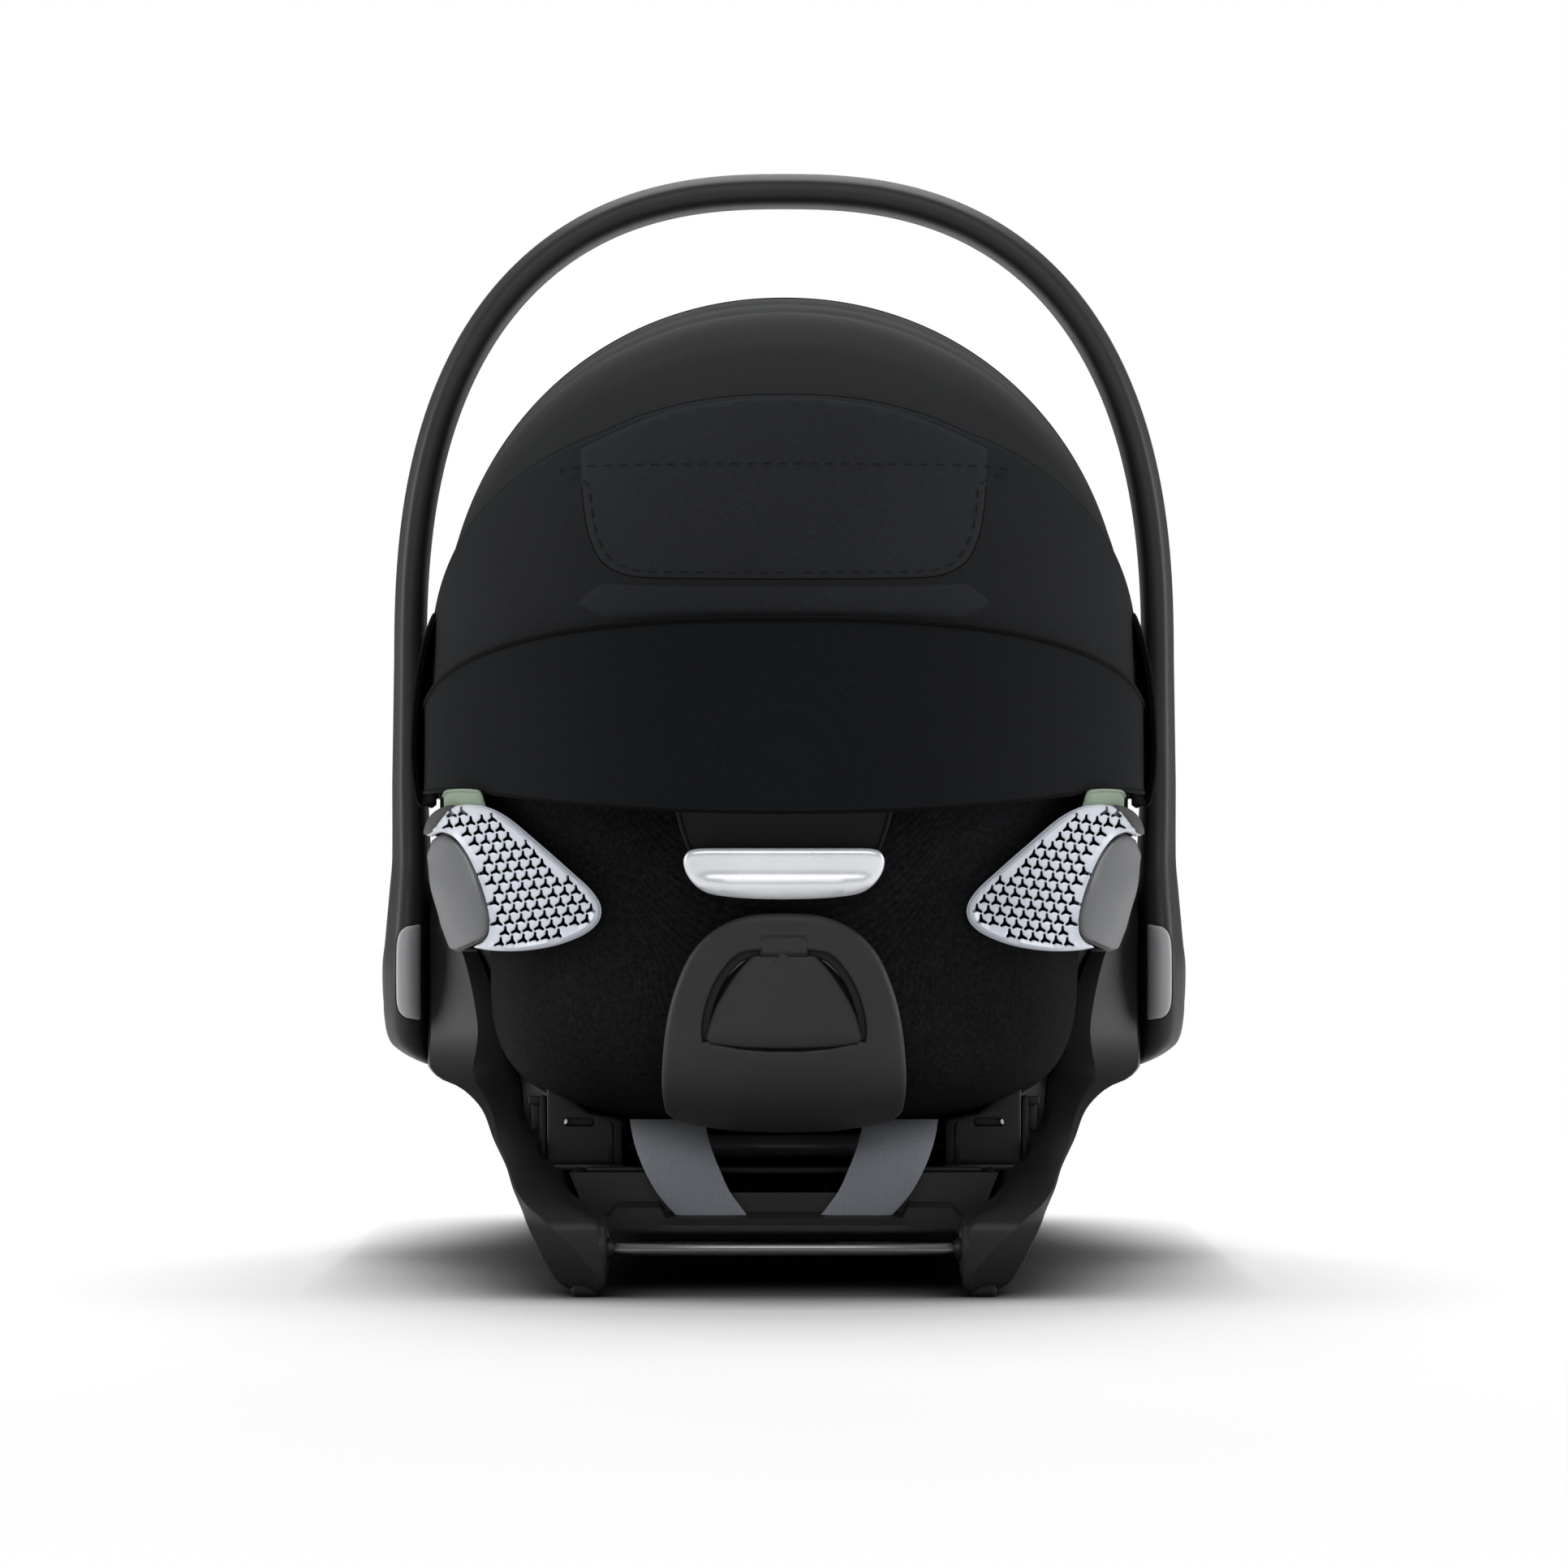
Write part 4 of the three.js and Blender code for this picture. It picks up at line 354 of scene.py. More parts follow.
def repainted(look, *names):
    """Gives CAD solids that stay visible the material that they need."""
    for name in names:
        nodes[name].data.materials.clear()
        nodes[name].data.materials.append(M[look])


def spow(value, power):
    return math.copysign(abs(value) ** power, value)


def smooth(share):
    t = min(1.0, max(0.0, share))
    return t * t * (3 - 2 * t)


def spline(points, count, closed=False):
    """Catmull-Rom points through the given ones, evenly spread along the line."""
    pts = np.array(points, float)
    n = len(pts)
    dense = []
    spans = n if closed else n - 1
    for i in range(spans):
        p0 = pts[(i - 1) % n] if closed or i else pts[0]
        p1 = pts[i]
        p2 = pts[(i + 1) % n]
        p3 = pts[(i + 2) % n] if closed or i + 2 < n else pts[-1]
        for t in np.linspace(0, 1, 24, endpoint=False):
            dense.append(
                0.5
                * (
                    2 * p1
                    + (p2 - p0) * t
                    + (2 * p0 - 5 * p1 + 4 * p2 - p3) * t * t
                    + (3 * p1 - p0 - 3 * p2 + p3) * t**3
                )
            )
    dense.append(pts[0] if closed else pts[-1])
    dense = np.array(dense)
    length = np.concatenate([[0], np.cumsum(np.linalg.norm(np.diff(dense, axis=0), axis=1))])
    at = np.linspace(0, length[-1], count + 1 if closed else count)
    if closed:
        at = at[:-1]
    return np.stack([np.interp(at, length, dense[:, k]) for k in range(dense.shape[1])], 1)


def monotone(xs, ys, x):
    """Smooth value between given ones, without overshoot."""
    xs, ys = np.asarray(xs, float), np.asarray(ys, float)
    h = np.diff(xs)
    d = np.diff(ys) / h
    inner = np.where(d[:-1] * d[1:] > 0, 2 * d[:-1] * d[1:] / (d[:-1] + d[1:] + 1e-12), 0)
    m = np.concatenate([[d[0]], inner, [d[-1]]])
    x = np.clip(x, xs[0], xs[-1])
    i = np.clip(np.searchsorted(xs, x) - 1, 0, len(h) - 1)
    t = (x - xs[i]) / h[i]
    return (
        (2 * t**3 - 3 * t**2 + 1) * ys[i]
        + (t**3 - 2 * t**2 + t) * h[i] * m[i]
        + (-2 * t**3 + 3 * t**2) * ys[i + 1]
        + (t**3 - t**2) * h[i] * m[i + 1]
    )


# ---------------------------------------------------------------- the seat's surface

SEAT_Y, BELLY, BOTTOM, RIM, HEAD_RIM = -60, 165, 80, 250, 318
BACK_POWER, FOOT_POWER, BELLY_POWER = 3.0, 2.5, 3.4
# half width, rear reach and foot reach at the belly, each with what it gains up to the rim
HALF, HALF_FLARE, BACK, BACK_FLARE, FOOT, FOOT_FLARE = 152, 26, 232, 14, 330.5, 64


def level(z, out, wide=0.0):
    """Half width, rear reach and foot reach of the bowl at a height, grown by a distance."""
    drop = min(1.0, max(0.0, (BELLY - z) / (BELLY - BOTTOM + out)))
    rnd = (1 - drop**BELLY_POWER) ** (1 / BELLY_POWER)
    rise = max(0.0, (z - BELLY) / (RIM - BELLY))
    above = min(1.0, max(0.0, (z - RIM) / (HEAD_RIM - RIM)))
    flare = min(1.0, rise) - 0.25 * above * above
    return (
        HALF * rnd + HALF_FLARE * flare + out + wide,
        BACK * rnd + BACK_FLARE * flare + out,
        FOOT * rnd + FOOT_FLARE * flare + out,
    )


def bowl_point(turn, z, out, wide=0.0):
    half, back, foot = level(z, out, wide)
    sine = math.sin(turn)
    power = 2 / (BACK_POWER if sine < 0 else FOOT_POWER)
    reach = back if sine < 0 else foot
    return (half * spow(math.cos(turn), power), SEAT_Y + reach * spow(sine, power), z)


# the rim's height: shares of the reach from the seat's middle, shares of RIM
RIM_SHARES = [
    (-1.12, 1.28), (-0.82, 1.26), (-0.5, 1.145), (-0.2, 1.04), (0.08, 0.965),
    (0.3, 0.93), (0.62, 0.928), (0.85, 0.95), (1.1, 0.985),
]
RIM_Y = [SEAT_Y + a * (BACK + BACK_FLARE if a < 0 else FOOT + FOOT_FLARE) for a, _ in RIM_SHARES]
RIM_Z = [RIM * b for _, b in RIM_SHARES]


def rim_height(y):
    return float(monotone(RIM_Y, RIM_Z, y))


def rim_at(turn, out):
    z = RIM
    for _ in range(6):
        z = rim_height(bowl_point(turn, z, out)[1])
    return z


def polygon_distance(points, loops):
    """Distance of each point to the nearest edge of the loops."""
    best = np.full(len(points), 1e9)
    for loop in loops:
        a = np.array(loop)
        b = np.roll(a, -1, axis=0)
        d = b - a
        size = (d**2).sum(1) + 1e-12
        for start in range(0, len(points), 2000):
            p = points[start : start + 2000, None, :]
            t = np.clip(((p - a) * d).sum(2) / size, 0, 1)
            near = np.linalg.norm(p - (a + t[..., None] * d), axis=2).min(1)
            best[start : start + 2000] = np.minimum(best[start : start + 2000], near)
    return best


def inside(points, loop):
    a = np.array(loop)
    b = np.roll(a, -1, axis=0)
    result = np.zeros(len(points), bool)
    for (ax, ay), (bx, by) in zip(a, b):
        if ay == by:
            continue
        cross = ((ay > points[:, 1]) != (by > points[:, 1])) & (
            points[:, 0] < (bx - ax) * (points[:, 1] - ay) / (by - ay) + ax
        )
        result ^= cross
    return result


def resampled(loop, step):
    """A closed loop with points no further apart than step; corners are kept."""
    result = []
    pts = np.array(loop, float)
    for a, b in zip(pts, np.roll(pts, -1, axis=0)):
        count = max(1, int(math.ceil(np.linalg.norm(b - a) / step)))
        for k in range(count):
            result.append(a + (b - a) * k / count)
    return np.array(result)


def between(points, outer, holes):
    """Which points lie inside the outline and outside every hole."""
    keep = inside(points, outer)
    for hole in holes:
        keep &= ~inside(points, hole)
    return keep


def inset_rings(loop, radius, outer, holes):
    """Rows of points beside a rounded edge, where the face bends."""
    along = np.roll(loop, -1, axis=0) - np.roll(loop, 1, axis=0)
    along /= np.linalg.norm(along, axis=1)[:, None] + 1e-12
    normal = np.stack([-along[:, 1], along[:, 0]], 1)
    rings = []
    for share in (0.12, 0.38, 1.0):
        for sign in (1, -1):
            ring = loop + normal * radius * share * sign
            far = polygon_distance(ring, [outer] + holes) > radius * share * 0.93
            rings.append(ring[between(ring, outer, holes) & far])
    return rings


def edge_depth(flat, loops, radius):
    """How far a face lies below its full height beside a rounded edge."""
    d = np.clip(polygon_distance(flat, loops) / radius, 0, 1)
    return radius * (1 - np.sqrt(np.clip(1 - (1 - d) ** 2, 0, 1)))


def plate(outer, holes, front, back, spacing=4.0, rounding=2.0, step=2.0, crown=None, hole_rounding=0.0):
    """A closed plate over a plane outline with holes. front and back turn (plane point, depth) into
    space; depth is how far the face lies below its full height, near a rounded edge."""
    outer = resampled(outer, step)
    holes = [resampled(h, step) for h in holes]
    loops = [outer] + holes
    groups = ((rounding, [outer]), (hole_rounding, holes))
    rounded = [(radius, group) for radius, group in groups if radius > 0 and group]
    low, high = outer.min(0), outer.max(0)
    grid = []
    for r in range(int((high[1] - low[1]) / (spacing * 0.866)) + 2):
        shift = 0.5 * spacing if r % 2 else 0
        for x in np.arange(low[0] + shift, high[0], spacing):
            grid.append((x, low[1] + r * spacing * 0.866))
    grid = np.array(grid)
    grid = grid[between(grid, outer, holes)]
    if len(grid):
        grid = grid[polygon_distance(grid, [outer]) > rounding * 1.15 + spacing * 0.25]
    if len(grid) and holes:
        grid = grid[polygon_distance(grid, holes) > max(hole_rounding * 1.1, spacing * 0.22)]
    insets = []
    for radius, group in rounded:
        for loop in group:
            insets += inset_rings(loop, radius, outer, holes)
    points = np.concatenate(loops + [grid.reshape(-1, 2)] + insets)
    edges, start = [], 0
    for loop in loops:
        count = len(loop)
        edges += [(start + k, start + (k + 1) % count) for k in range(count)]
        start += count
    out = delaunay_2d_cdt([Vector(p) for p in points], edges, [], 1, 1e-5, True)
    flat = np.array([[v.x, v.y] for v in out[0]])
    tris = [tuple(f) for f in out[2]]
    centres = np.array([flat[list(t)].mean(0) for t in tris])
    tris = [t for t, keep in zip(tris, between(centres, outer, holes)) if keep]
    used = sorted({i for t in tris for i in t})
    index = {old: new for new, old in enumerate(used)}
    flat = flat[used]
    tris = [tuple(index[i] for i in t) for t in tris]
    depth = np.zeros(len(flat))
    for radius, group in rounded:
        depth = np.maximum(depth, edge_depth(flat, group, radius))
    lift = crown(flat, polygon_distance(flat, [outer])) if crown else np.zeros(len(flat))
    count = len(flat)
    verts = [front(p, dep - up) for p, dep, up in zip(flat, depth, lift)] + [back(p) for p in flat]
    faces = tris + [tuple(count + i for i in reversed(t)) for t in tris]
    sides = dict.fromkeys((a, b) for t in tris for a, b in zip(t, t[1:] + t[:1]))
    for a, b in sides:
        if (b, a) not in sides:
            faces.append((b, a, count + a, count + b))
    return verts, faces


def domed(height, reach, power=1.0):
    """A crown for a plate: it rises to its height within a reach from the edge."""
    return lambda flat, d: height * np.clip(d / reach, 0, 1) ** power


class Skin:
    """The seat's rear surface unrolled: (distance round from the middle, height)."""

    def __init__(self, z, out, wide=0.0):
        self.out, self.wide = out, wide
        self.phi = np.linspace(0, math.pi / 2, 600)
        half, back, _ = self.level(z, out)
        x = half * np.sin(self.phi) ** (2 / BACK_POWER)
        y = -back * np.cos(self.phi) ** (2 / BACK_POWER)
        self.length = np.concatenate([[0], np.cumsum(np.hypot(np.diff(x), np.diff(y)))])

    def level(self, z, out):
        return level(z, out, self.wide(z) if callable(self.wide) else self.wide)

    def flat(self, points):
        """Rear-view points (x, z) onto the unrolled plane."""
        result = []
        for x, z in points:
            half = self.level(z, self.out)[0]
            ratio = min(1.0, abs(x) / half)
            phi = math.asin(ratio ** (BACK_POWER / 2))
            result.append((math.copysign(np.interp(phi, self.phi, self.length), x), z))
        return np.array(result)

    def space(self, point, out):
        s, z = point
        phi = float(np.interp(abs(s), self.length, self.phi))
        half, back, _ = self.level(z, self.out)
        sx = math.sin(phi) ** (2 / BACK_POWER)
        sy = max(0.0, math.cos(phi)) ** (2 / BACK_POWER)
        nx, ny = sx ** (BACK_POWER - 1) / half, sy ** (BACK_POWER - 1) / back
        size = math.hypot(nx, ny)
        x = half * sx + (out - self.out) * nx / size
        y = SEAT_Y - back * sy - (out - self.out) * ny / size
        return (math.copysign(x, s), y, z)

    def plate(self, outer, holes, high, low, **options):
        """A plate on the seat between two distances from its surface."""
        return plate(
            self.flat(outer),
            [self.flat(h) for h in holes],
            lambda p, d: self.space(p, max(low + 0.2, high - d)),
            lambda p: self.space(p, low),
            **options,
        )


# ---------------------------------------------------------------- camera, floor and light

CAMERA_Y, CAMERA_Z, CENTRE_U, HORIZON_V = -2600, 203, 965.5, 1088
SCALE = 0.448  # millimetres for each pixel of the picture, at y = 0
CAMERA_TILT = 1.204  # degrees


def at_depth(u, v, y):
    """The (x, z) of a place of the picture at a depth."""
    s = SCALE * (y - CAMERA_Y) / -CAMERA_Y
    return ((u - CENTRE_U) * s, CAMERA_Z + (HORIZON_V - v) * s)


def on_seat(u, v, out, wide=0.0):
    """The (x, z) of a place of the picture on the seat's rear surface."""
    y = -200.0
    for _ in range(14):
        x, z = at_depth(u, v, y)
        half, back, _ = level(z, out, wide)
        ratio = min(1.0, abs(x) / half)
        y = SEAT_Y - back * (1 - ratio**BACK_POWER) ** (1 / BACK_POWER)
    return (x, z)


camera = bpy.data.cameras.new("camera")
camera.lens = 108.15
camera.sensor_width = 36
camera.clip_end = 50
view = bpy.data.objects.new("camera", camera)
view.location = (0, CAMERA_Y * MM, CAMERA_Z * MM)
view.rotation_euler = (math.radians(90 + CAMERA_TILT), 0, 0)
bpy.context.scene.collection.objects.link(view)
bpy.context.scene.camera = view
bpy.context.scene.view_settings.view_transform = "Standard"

FLOOR_REACH = 9
floor_mesh = bpy.data.meshes.new("floor")
floor_corners = [(x * FLOOR_REACH, y * FLOOR_REACH, 0) for x, y in ((-1, -1), (1, -1), (1, 1), (-1, 1))]
floor_mesh.from_pydata(floor_corners, [], [(0, 1, 2, 3)])
floor = bpy.data.objects.new("floor", floor_mesh)
bpy.context.scene.collection.objects.link(floor)
n = Nodes("floor")
# ambient occlusion darkens the floor's colour within 12 cm of the object: a painted contact shadow, on top of the
# real shadows cast by the lamps
near = n.add("ShaderNodeAmbientOcclusion", samples=12)
near.inputs["Distance"].default_value = 0.12
deep = n.add("ShaderNodeMath", operation="POWER")
n.link(near.outputs["AO"], deep.inputs[0])
deep.inputs[1].default_value = 2.2
floor_tone_and_painted_shadow = n.add("ShaderNodeVectorMath", operation="MULTIPLY")
n.link(n.ramp(n.noise(3, 2), [(0.3, (0.81, 0.81, 0.81)), (0.7, (0.83, 0.83, 0.83))]), floor_tone_and_painted_shadow.inputs[0])
n.link(deep.outputs[0], floor_tone_and_painted_shadow.inputs[1])
n.link(floor_tone_and_painted_shadow.outputs[0], n.bsdf.inputs["Base Color"])
n.bsdf.inputs["Roughness"].default_value = 0.9
n.bsdf.inputs["Specular IOR Level"].default_value = 0.05
# away from the object the floor turns into plain white for the camera
white = n.add("ShaderNodeEmission")
rays = n.add("ShaderNodeLightPath")
seen = n.add("ShaderNodeMath", operation="MAXIMUM")
n.link(rays.outputs["Is Camera Ray"], seen.inputs[0])
n.link(rays.outputs["Is Glossy Ray"], seen.inputs[1])
away = n.add("ShaderNodeVectorMath", operation="LENGTH")
n.link(n.place((1.0, 1.05, 1)), away.inputs[0])
fade = n.add("ShaderNodeMapRange", interpolation_type="SMOOTHSTEP")
for socket, value in (("From Min", 0.5), ("From Max", 1.35), ("To Min", 0.0), ("To Max", 1.0)):
    fade.inputs[socket].default_value = value
n.link(away.outputs["Value"], fade.inputs["Value"])
share = n.add("ShaderNodeMath", operation="MULTIPLY")
pick = n.add("ShaderNodeMixShader")
for a, b in (
    (seen.outputs[0], share.inputs[0]),
    (fade.outputs[0], share.inputs[1]),
    (share.outputs[0], pick.inputs[0]),
    (n.bsdf.outputs[0], pick.inputs[1]),
    (white.outputs[0], pick.inputs[2]),
    (pick.outputs[0], n.out.inputs[0]),
):
    n.link(a, b)
floor_mesh.materials.append(n.material)

# a world that is brighter above than below, and plain white for the camera
world = bpy.data.worlds.new("studio")
bpy.context.scene.world = world
world.use_nodes = True
w = world.node_tree
w.nodes.clear()
w_out, soft, w_place, w_split, w_ramp, w_span, backdrop, w_rays, w_mix = (
    w.nodes.new("ShaderNode" + kind)
    for kind in (
        "OutputWorld", "Background", "TexCoord", "SeparateXYZ", "ValToRGB",
        "MapRange", "Background", "LightPath", "MixShader",
    )
)
soft.inputs["Strength"].default_value = 0.42
w_span.inputs["From Min"].default_value = -1
backdrop.inputs["Color"].default_value = (1, 1, 1, 1)
backdrop.inputs["Strength"].default_value = 1.0
for element, (at, value) in zip(w_ramp.color_ramp.elements, ((0.42, 0.16), (0.8, 1.0))):
    element.position = at
    element.color = (value * 0.97, value * 0.98, value, 1)
for a, b in (
    (w_place.outputs["Generated"], w_split.inputs[0]),
    (w_split.outputs["Z"], w_span.inputs["Value"]),
    (w_span.outputs[0], w_ramp.inputs[0]),
    (w_ramp.outputs[0], soft.inputs["Color"]),
    (w_rays.outputs["Is Camera Ray"], w_mix.inputs[0]),
    (soft.outputs[0], w_mix.inputs[1]),
    (backdrop.outputs[0], w_mix.inputs[2]),
    (w_mix.outputs[0], w_out.inputs[0]),
):
    w.links.new(a, b)


def lamp(name, place, target, size, power):
    light = bpy.data.lights.new(name, "AREA")
    light.shape = "RECTANGLE"
    light.size, light.size_y = size
    light.energy = power
    lamp_object = bpy.data.objects.new(name, light)
    lamp_object.location = place
    lamp_object.rotation_euler = (Vector(target) - Vector(place)).to_track_quat("-Z", "Y").to_euler()
    bpy.context.scene.collection.objects.link(lamp_object)


lamp("key", (0, -2.6, 1.7), (0, 0, 0.25), (2.4, 1.4), 24)
lamp("top", (0, 0.75, 2.5), (0, -0.1, 0.1), (2.0, 1.4), 44)
lamp("left", (-2.0, -0.1, 0.55), (0, 0, 0.3), (0.8, 1.5), 22)
lamp("right", (2.0, -0.1, 0.55), (0, 0, 0.3), (0.8, 1.5), 22)
lamp("front", (0, 2.2, 1.2), (0, 0, 0.1), (1.6, 0.9), 20)

# ---------------------------------------------------------------- carrier

# height, inner side at the middle, inner side at the ends, outer side, rear, front, ridge's share
FRAME_ROWS = np.array(
    [
        (2.4, 99, 90.5, 108.5, 286, 239, 0.12),
        (4, 99.5, 88.6, 112, 290, 243, 0.1),
        (9, 101, 86.9, 116.2, 293.5, 248, 0.13),
        (16, 103, 86.6, 120, 295, 252, 0.27),
        (25, 106, 86.6, 123.5, 296, 254, 0.45),
        (35, 108, 87.2, 127, 295, 255, 0.68),
        (40, 108.5, 91, 128.5, 291, 252.5, 0.77),
        (46, 109, 104, 131, 283, 247, 0.87),
        (52, 111.5, 110.5, 134.3, 271, 238, 0.92),
        (60, 121, 121, 139, 240, 215, 0.93),
        (72, 128, 128, 149, 190, 180, 0.86),
        (84, 135.7, 135.7, 158, 140, 140, 0.76),
        (94, 139, 139, 173, 100, 105, 0.66),
        (98.7, 141, 141, 187, 85, 90, 0.54),
        (105.6, 143.4, 143.4, 193.4, 75, 80, 0.46),
        (128, 149, 149, 193.8, 62, 66, 0.36),
        (162, 162, 162, 193.8, 52, 56, 0.34),
        (189.7, 180, 180, 193.4, 38, 40, 0.36),
        (205, 184.6, 184.6, 190.9, 20, 20, 0.5),
    ]
)
POCKET = [(-0.62, 0.355), (0.62, 0.355), (0.3, 0.52), (0.14, 0.64), (-0.12, 0.64), (-0.3, 0.52)]
REAR_REACH, FRONT_REACH, HUB_Z = 300, 255, 153


def frame_at(z):
    return [float(monotone(FRAME_ROWS[:, 0], FRAME_ROWS[:, k], z)) for k in range(1, 7)]


def frame_ring(z):
    """Section of a side frame: hollow inner side, a ridge at both ends, flat outer side with a shallow pocket."""
    x0, xi, x1, rear, front, share = frame_at(z)
    r, f = -rear, front
    ridge = xi + (x1 - xi) * share
    facet = x1 - ridge
    fall = min(4 + 1.15 * facet, 0.42 * (f - r))
    ends = [(xi + a, b) for a, b in ((0, 6), (0.9, 2.6), (3.2, 0.9))]
    ends += [(xi + (ridge - xi) * t, 0.45 * (1 - t)) for t in np.linspace(0.2, 0.93, 6)]
    ends.append((ridge, 0))
    ends += [(ridge + facet * t, fall * 0.62 * t) for t in (0.06, 0.22, 0.42, 0.62, 0.8, 0.92)]
    ends += [(x1 - 0.5, fall * 0.78), (x1, fall)]
    ring = [(x, r + d) for x, d in ends]
    ring += [(x1, r + fall + (f - r - 2 * fall) * t) for t in np.linspace(0, 1, 46)[1:-1]]
    ring += [(x, f - d) for x, d in reversed(ends)]
    inner = max(f - r - 12, 1)
    for t in np.linspace(0, 1, 26)[1:-1]:
        y = f - 6 - inner * t
        away = min(y - r, f - y)
        blend = smooth((away - 34) / 26) if z < 60 else 1
        ring.append((xi + (x0 - xi) * blend, y))
    middle, half = (r + f) / 2, (f - r) / 2
    low = max(0.0, 1 - z / HUB_Z / 0.5)
    pocket = [(y * (REAR_REACH if y < 0 else FRONT_REACH), h * HUB_Z) for y, h in POCKET]
    spots = np.array([(y, z) for _, y in ring])
    depth = polygon_distance(spots, [pocket]) * np.where(inside(spots, pocket), 1, -1)
    result = []
    for (x, y), d in zip(ring, depth):
        along = (y - middle) / half
        if x > x1 - 0.01 and d > -1:
            x -= 3.4 * smooth((d + 1) / 3.5)
        result.append((x, y, z + 12 * low * (1 - along * along)))
    return result


frame_levels = np.concatenate(
    [[2.4, 3.1, 4.4, 6.5, 9, 12.5], np.arange(16, 60, 2.4), np.arange(60, 112, 2.2), np.arange(112, 205.1, 4.2)]
)
pair(
    "carrier_side",
    loft([frame_ring(z) for z in frame_levels]),
    "frame",
    "carrier",
    ["carrier_side_{side}"],
    sharp=24,
    slot="frame",
)


def rounded_box(x0, x1, y0, y1, z0, z1, round_=1.5, steps=3):
    """A box with rounded vertical and horizontal edges."""
    r = min(round_, (x1 - x0) / 2 - 1e-3, (y1 - y0) / 2 - 1e-3, (z1 - z0) / 2 - 1e-3)
    rings = []
    turns = [math.pi / 2 * k / steps for k in range(steps + 1)]
    for z, inset in [(z0 + r - r * math.cos(t), r - r * math.sin(t)) for t in turns] + [
        (z1 - r + r * math.cos(t), r - r * math.sin(t)) for t in reversed(turns)
    ]:
        corner = max(r - inset, 0.02)
        ring = []
        for cx, cy, start in ((x1 - r, y1 - r, 0), (x0 + r, y1 - r, 1), (x0 + r, y0 + r, 2), (x1 - r, y0 + r, 3)):
            for t in turns:
                a = start * math.pi / 2 + t
                ring.append((cx + corner * math.cos(a), cy + corner * math.sin(a), z))
        rings.append(ring)
    return loft(rings)


def bar_x(radius, x0, x1, y, z, sides=32, lip=0.8):
    """A round bar along X with a small chamfer at both ends."""
    turns = np.linspace(0, 2 * math.pi, sides + 1)[:-1]
    ends = ((x0, radius - lip), (x0 + lip, radius), (x1 - lip, radius), (x1, radius - lip))
    return loft([[(x, y + r * math.cos(a), z + r * math.sin(a)) for a in turns] for x, r in ends])


BAR_Z = 23.5
for end, reach in (("rear", -REAR_REACH), ("front", FRONT_REACH)):
    middle = reach - math.copysign(24, reach)
    pad = rounded_box(91.5, 104.5, middle - 10.5, middle + 10.5, 0, 5.4, 2.4)
    rib_places = [middle + k * 4.2 for k in (-2, -1, 0, 1, 2)]
    ribs = [rounded_box(92.5, 103.5, y - 1, y + 1, 0, 1.2, 0.5, 2) for y in rib_places]
    pair(f"foot_pad_{end}", joined(pad, *ribs), "rubber", "carrier", [f"foot_pad_{end}_{{side}}"], slot="rubber")
    bar_y = reach - math.copysign(16, reach)
    bar = made(f"latch_bar_{end}", *bar_x(3.2, -95, 95, bar_y, BAR_Z, 40), "steel", 60)
    dressed(bar, "carrier", "steel", f"latch_bar_{end}")
    collars = joined(bar_x(5.4, 84.6, 88, bar_y, BAR_Z, 40, 1.0), bar_x(4.4, 83.6, 86, bar_y, BAR_Z, 40, 0.6))
    pair(f"latch_collar_{end}", collars, "black", "carrier", slot="black_plastic")

# Base pan

PAN_LOW, PAN_TOP, PAN_HALF_LOW, PAN_HALF_TOP = 27, 58, 95, 107.4
PAN_REAR, PAN_FRONT = -238, 208


def pan_half(z):
    return PAN_HALF_LOW + (PAN_HALF_TOP - PAN_HALF_LOW) * (z - PAN_LOW) / (PAN_TOP - PAN_LOW)


def closed_wall(rows):
    """A solid wall through four rows of points, closed at both ends."""
    verts, faces = sheet_faces(rows + [rows[0]])
    count = len(rows[0])
    faces.append((0, count, 2 * count, 3 * count))
    faces.append((count - 1, 4 * count - 1, 3 * count - 1, 2 * count - 1))
    return verts, faces


def pan_wall(y_out, y_in, profile, low):
    """A cross wall of the pan; profile gives the top of the wall at x."""
    rows = []
    for y, t in ((y_out, 0), (y_out, 1), (y_in, 1), (y_in, 0)):
        row = []
        for s in np.linspace(-1, 1, 161):
            z = low + (profile(s * PAN_HALF_TOP) - low) * t
            row.append((s * pan_half(z), y, z))
        rows.append(row)
    return closed_wall(rows)


def rear_top(x):
    """Top of the pan's rear wall: low between the straps."""
    return 48.0 + 10 * smooth((abs(x) - 29) / 2.5)


PAN_SECTION = ((27, 0), (42, 0), (56.5, 0), (58, 1), (58, 3), (56.5, 4), (42, 4), (27, 4))
pan_side = loft([[(pan_half(z) - inset, y, z) for z, inset in PAN_SECTION] for y in np.linspace(-237, 207, 60)])
FLOOR_SECTION = ((-236, 33.2), (-236, 35), (-190, 32), (PAN_FRONT, 32), (PAN_FRONT, 27), (-165, 27))
floor_rows = [[(s * 94, y, z) for s in np.linspace(-1, 1, 21)] for y, z in FLOOR_SECTION]
pan_floor = sheet_faces(floor_rows + [floor_rows[0]])
rib_sets = [rounded_box(x - 1.2, x + 1.2, -234, 200, 31, 40, 0.6, 2) for x in (-78, -46, -22, 22, 46, 78)]
rib_sets += [rounded_box(-92, 92, y - 1.2, y + 1.2, 31, 38, 0.6, 2) for y in (-200, -120, -60, 0, 60, 120, 180)]


def lip_part():
    """The pan's lower rear lip with its two humps."""
    rows = []
    for y, z, upper in ((-250, 32.4, False), (-250.5, 36.0, True), (-238, 38.5, True), (-238, 32.4, False)):
        row = []
        for x in np.linspace(-91, 91, 121):
            a = abs(x)
            hump = 6.5 * smooth((a - 59) / 3) * smooth((88 - a) / 5)
            rise = 0.8 * hump if upper else -1.6 * smooth((a - 61) / 5) - 7 * smooth((a - 84) / 7)
            row.append((x, y + 0.6 * (a / 91) ** 2, z + rise))
        rows.append(row)
    return closed_wall(rows)


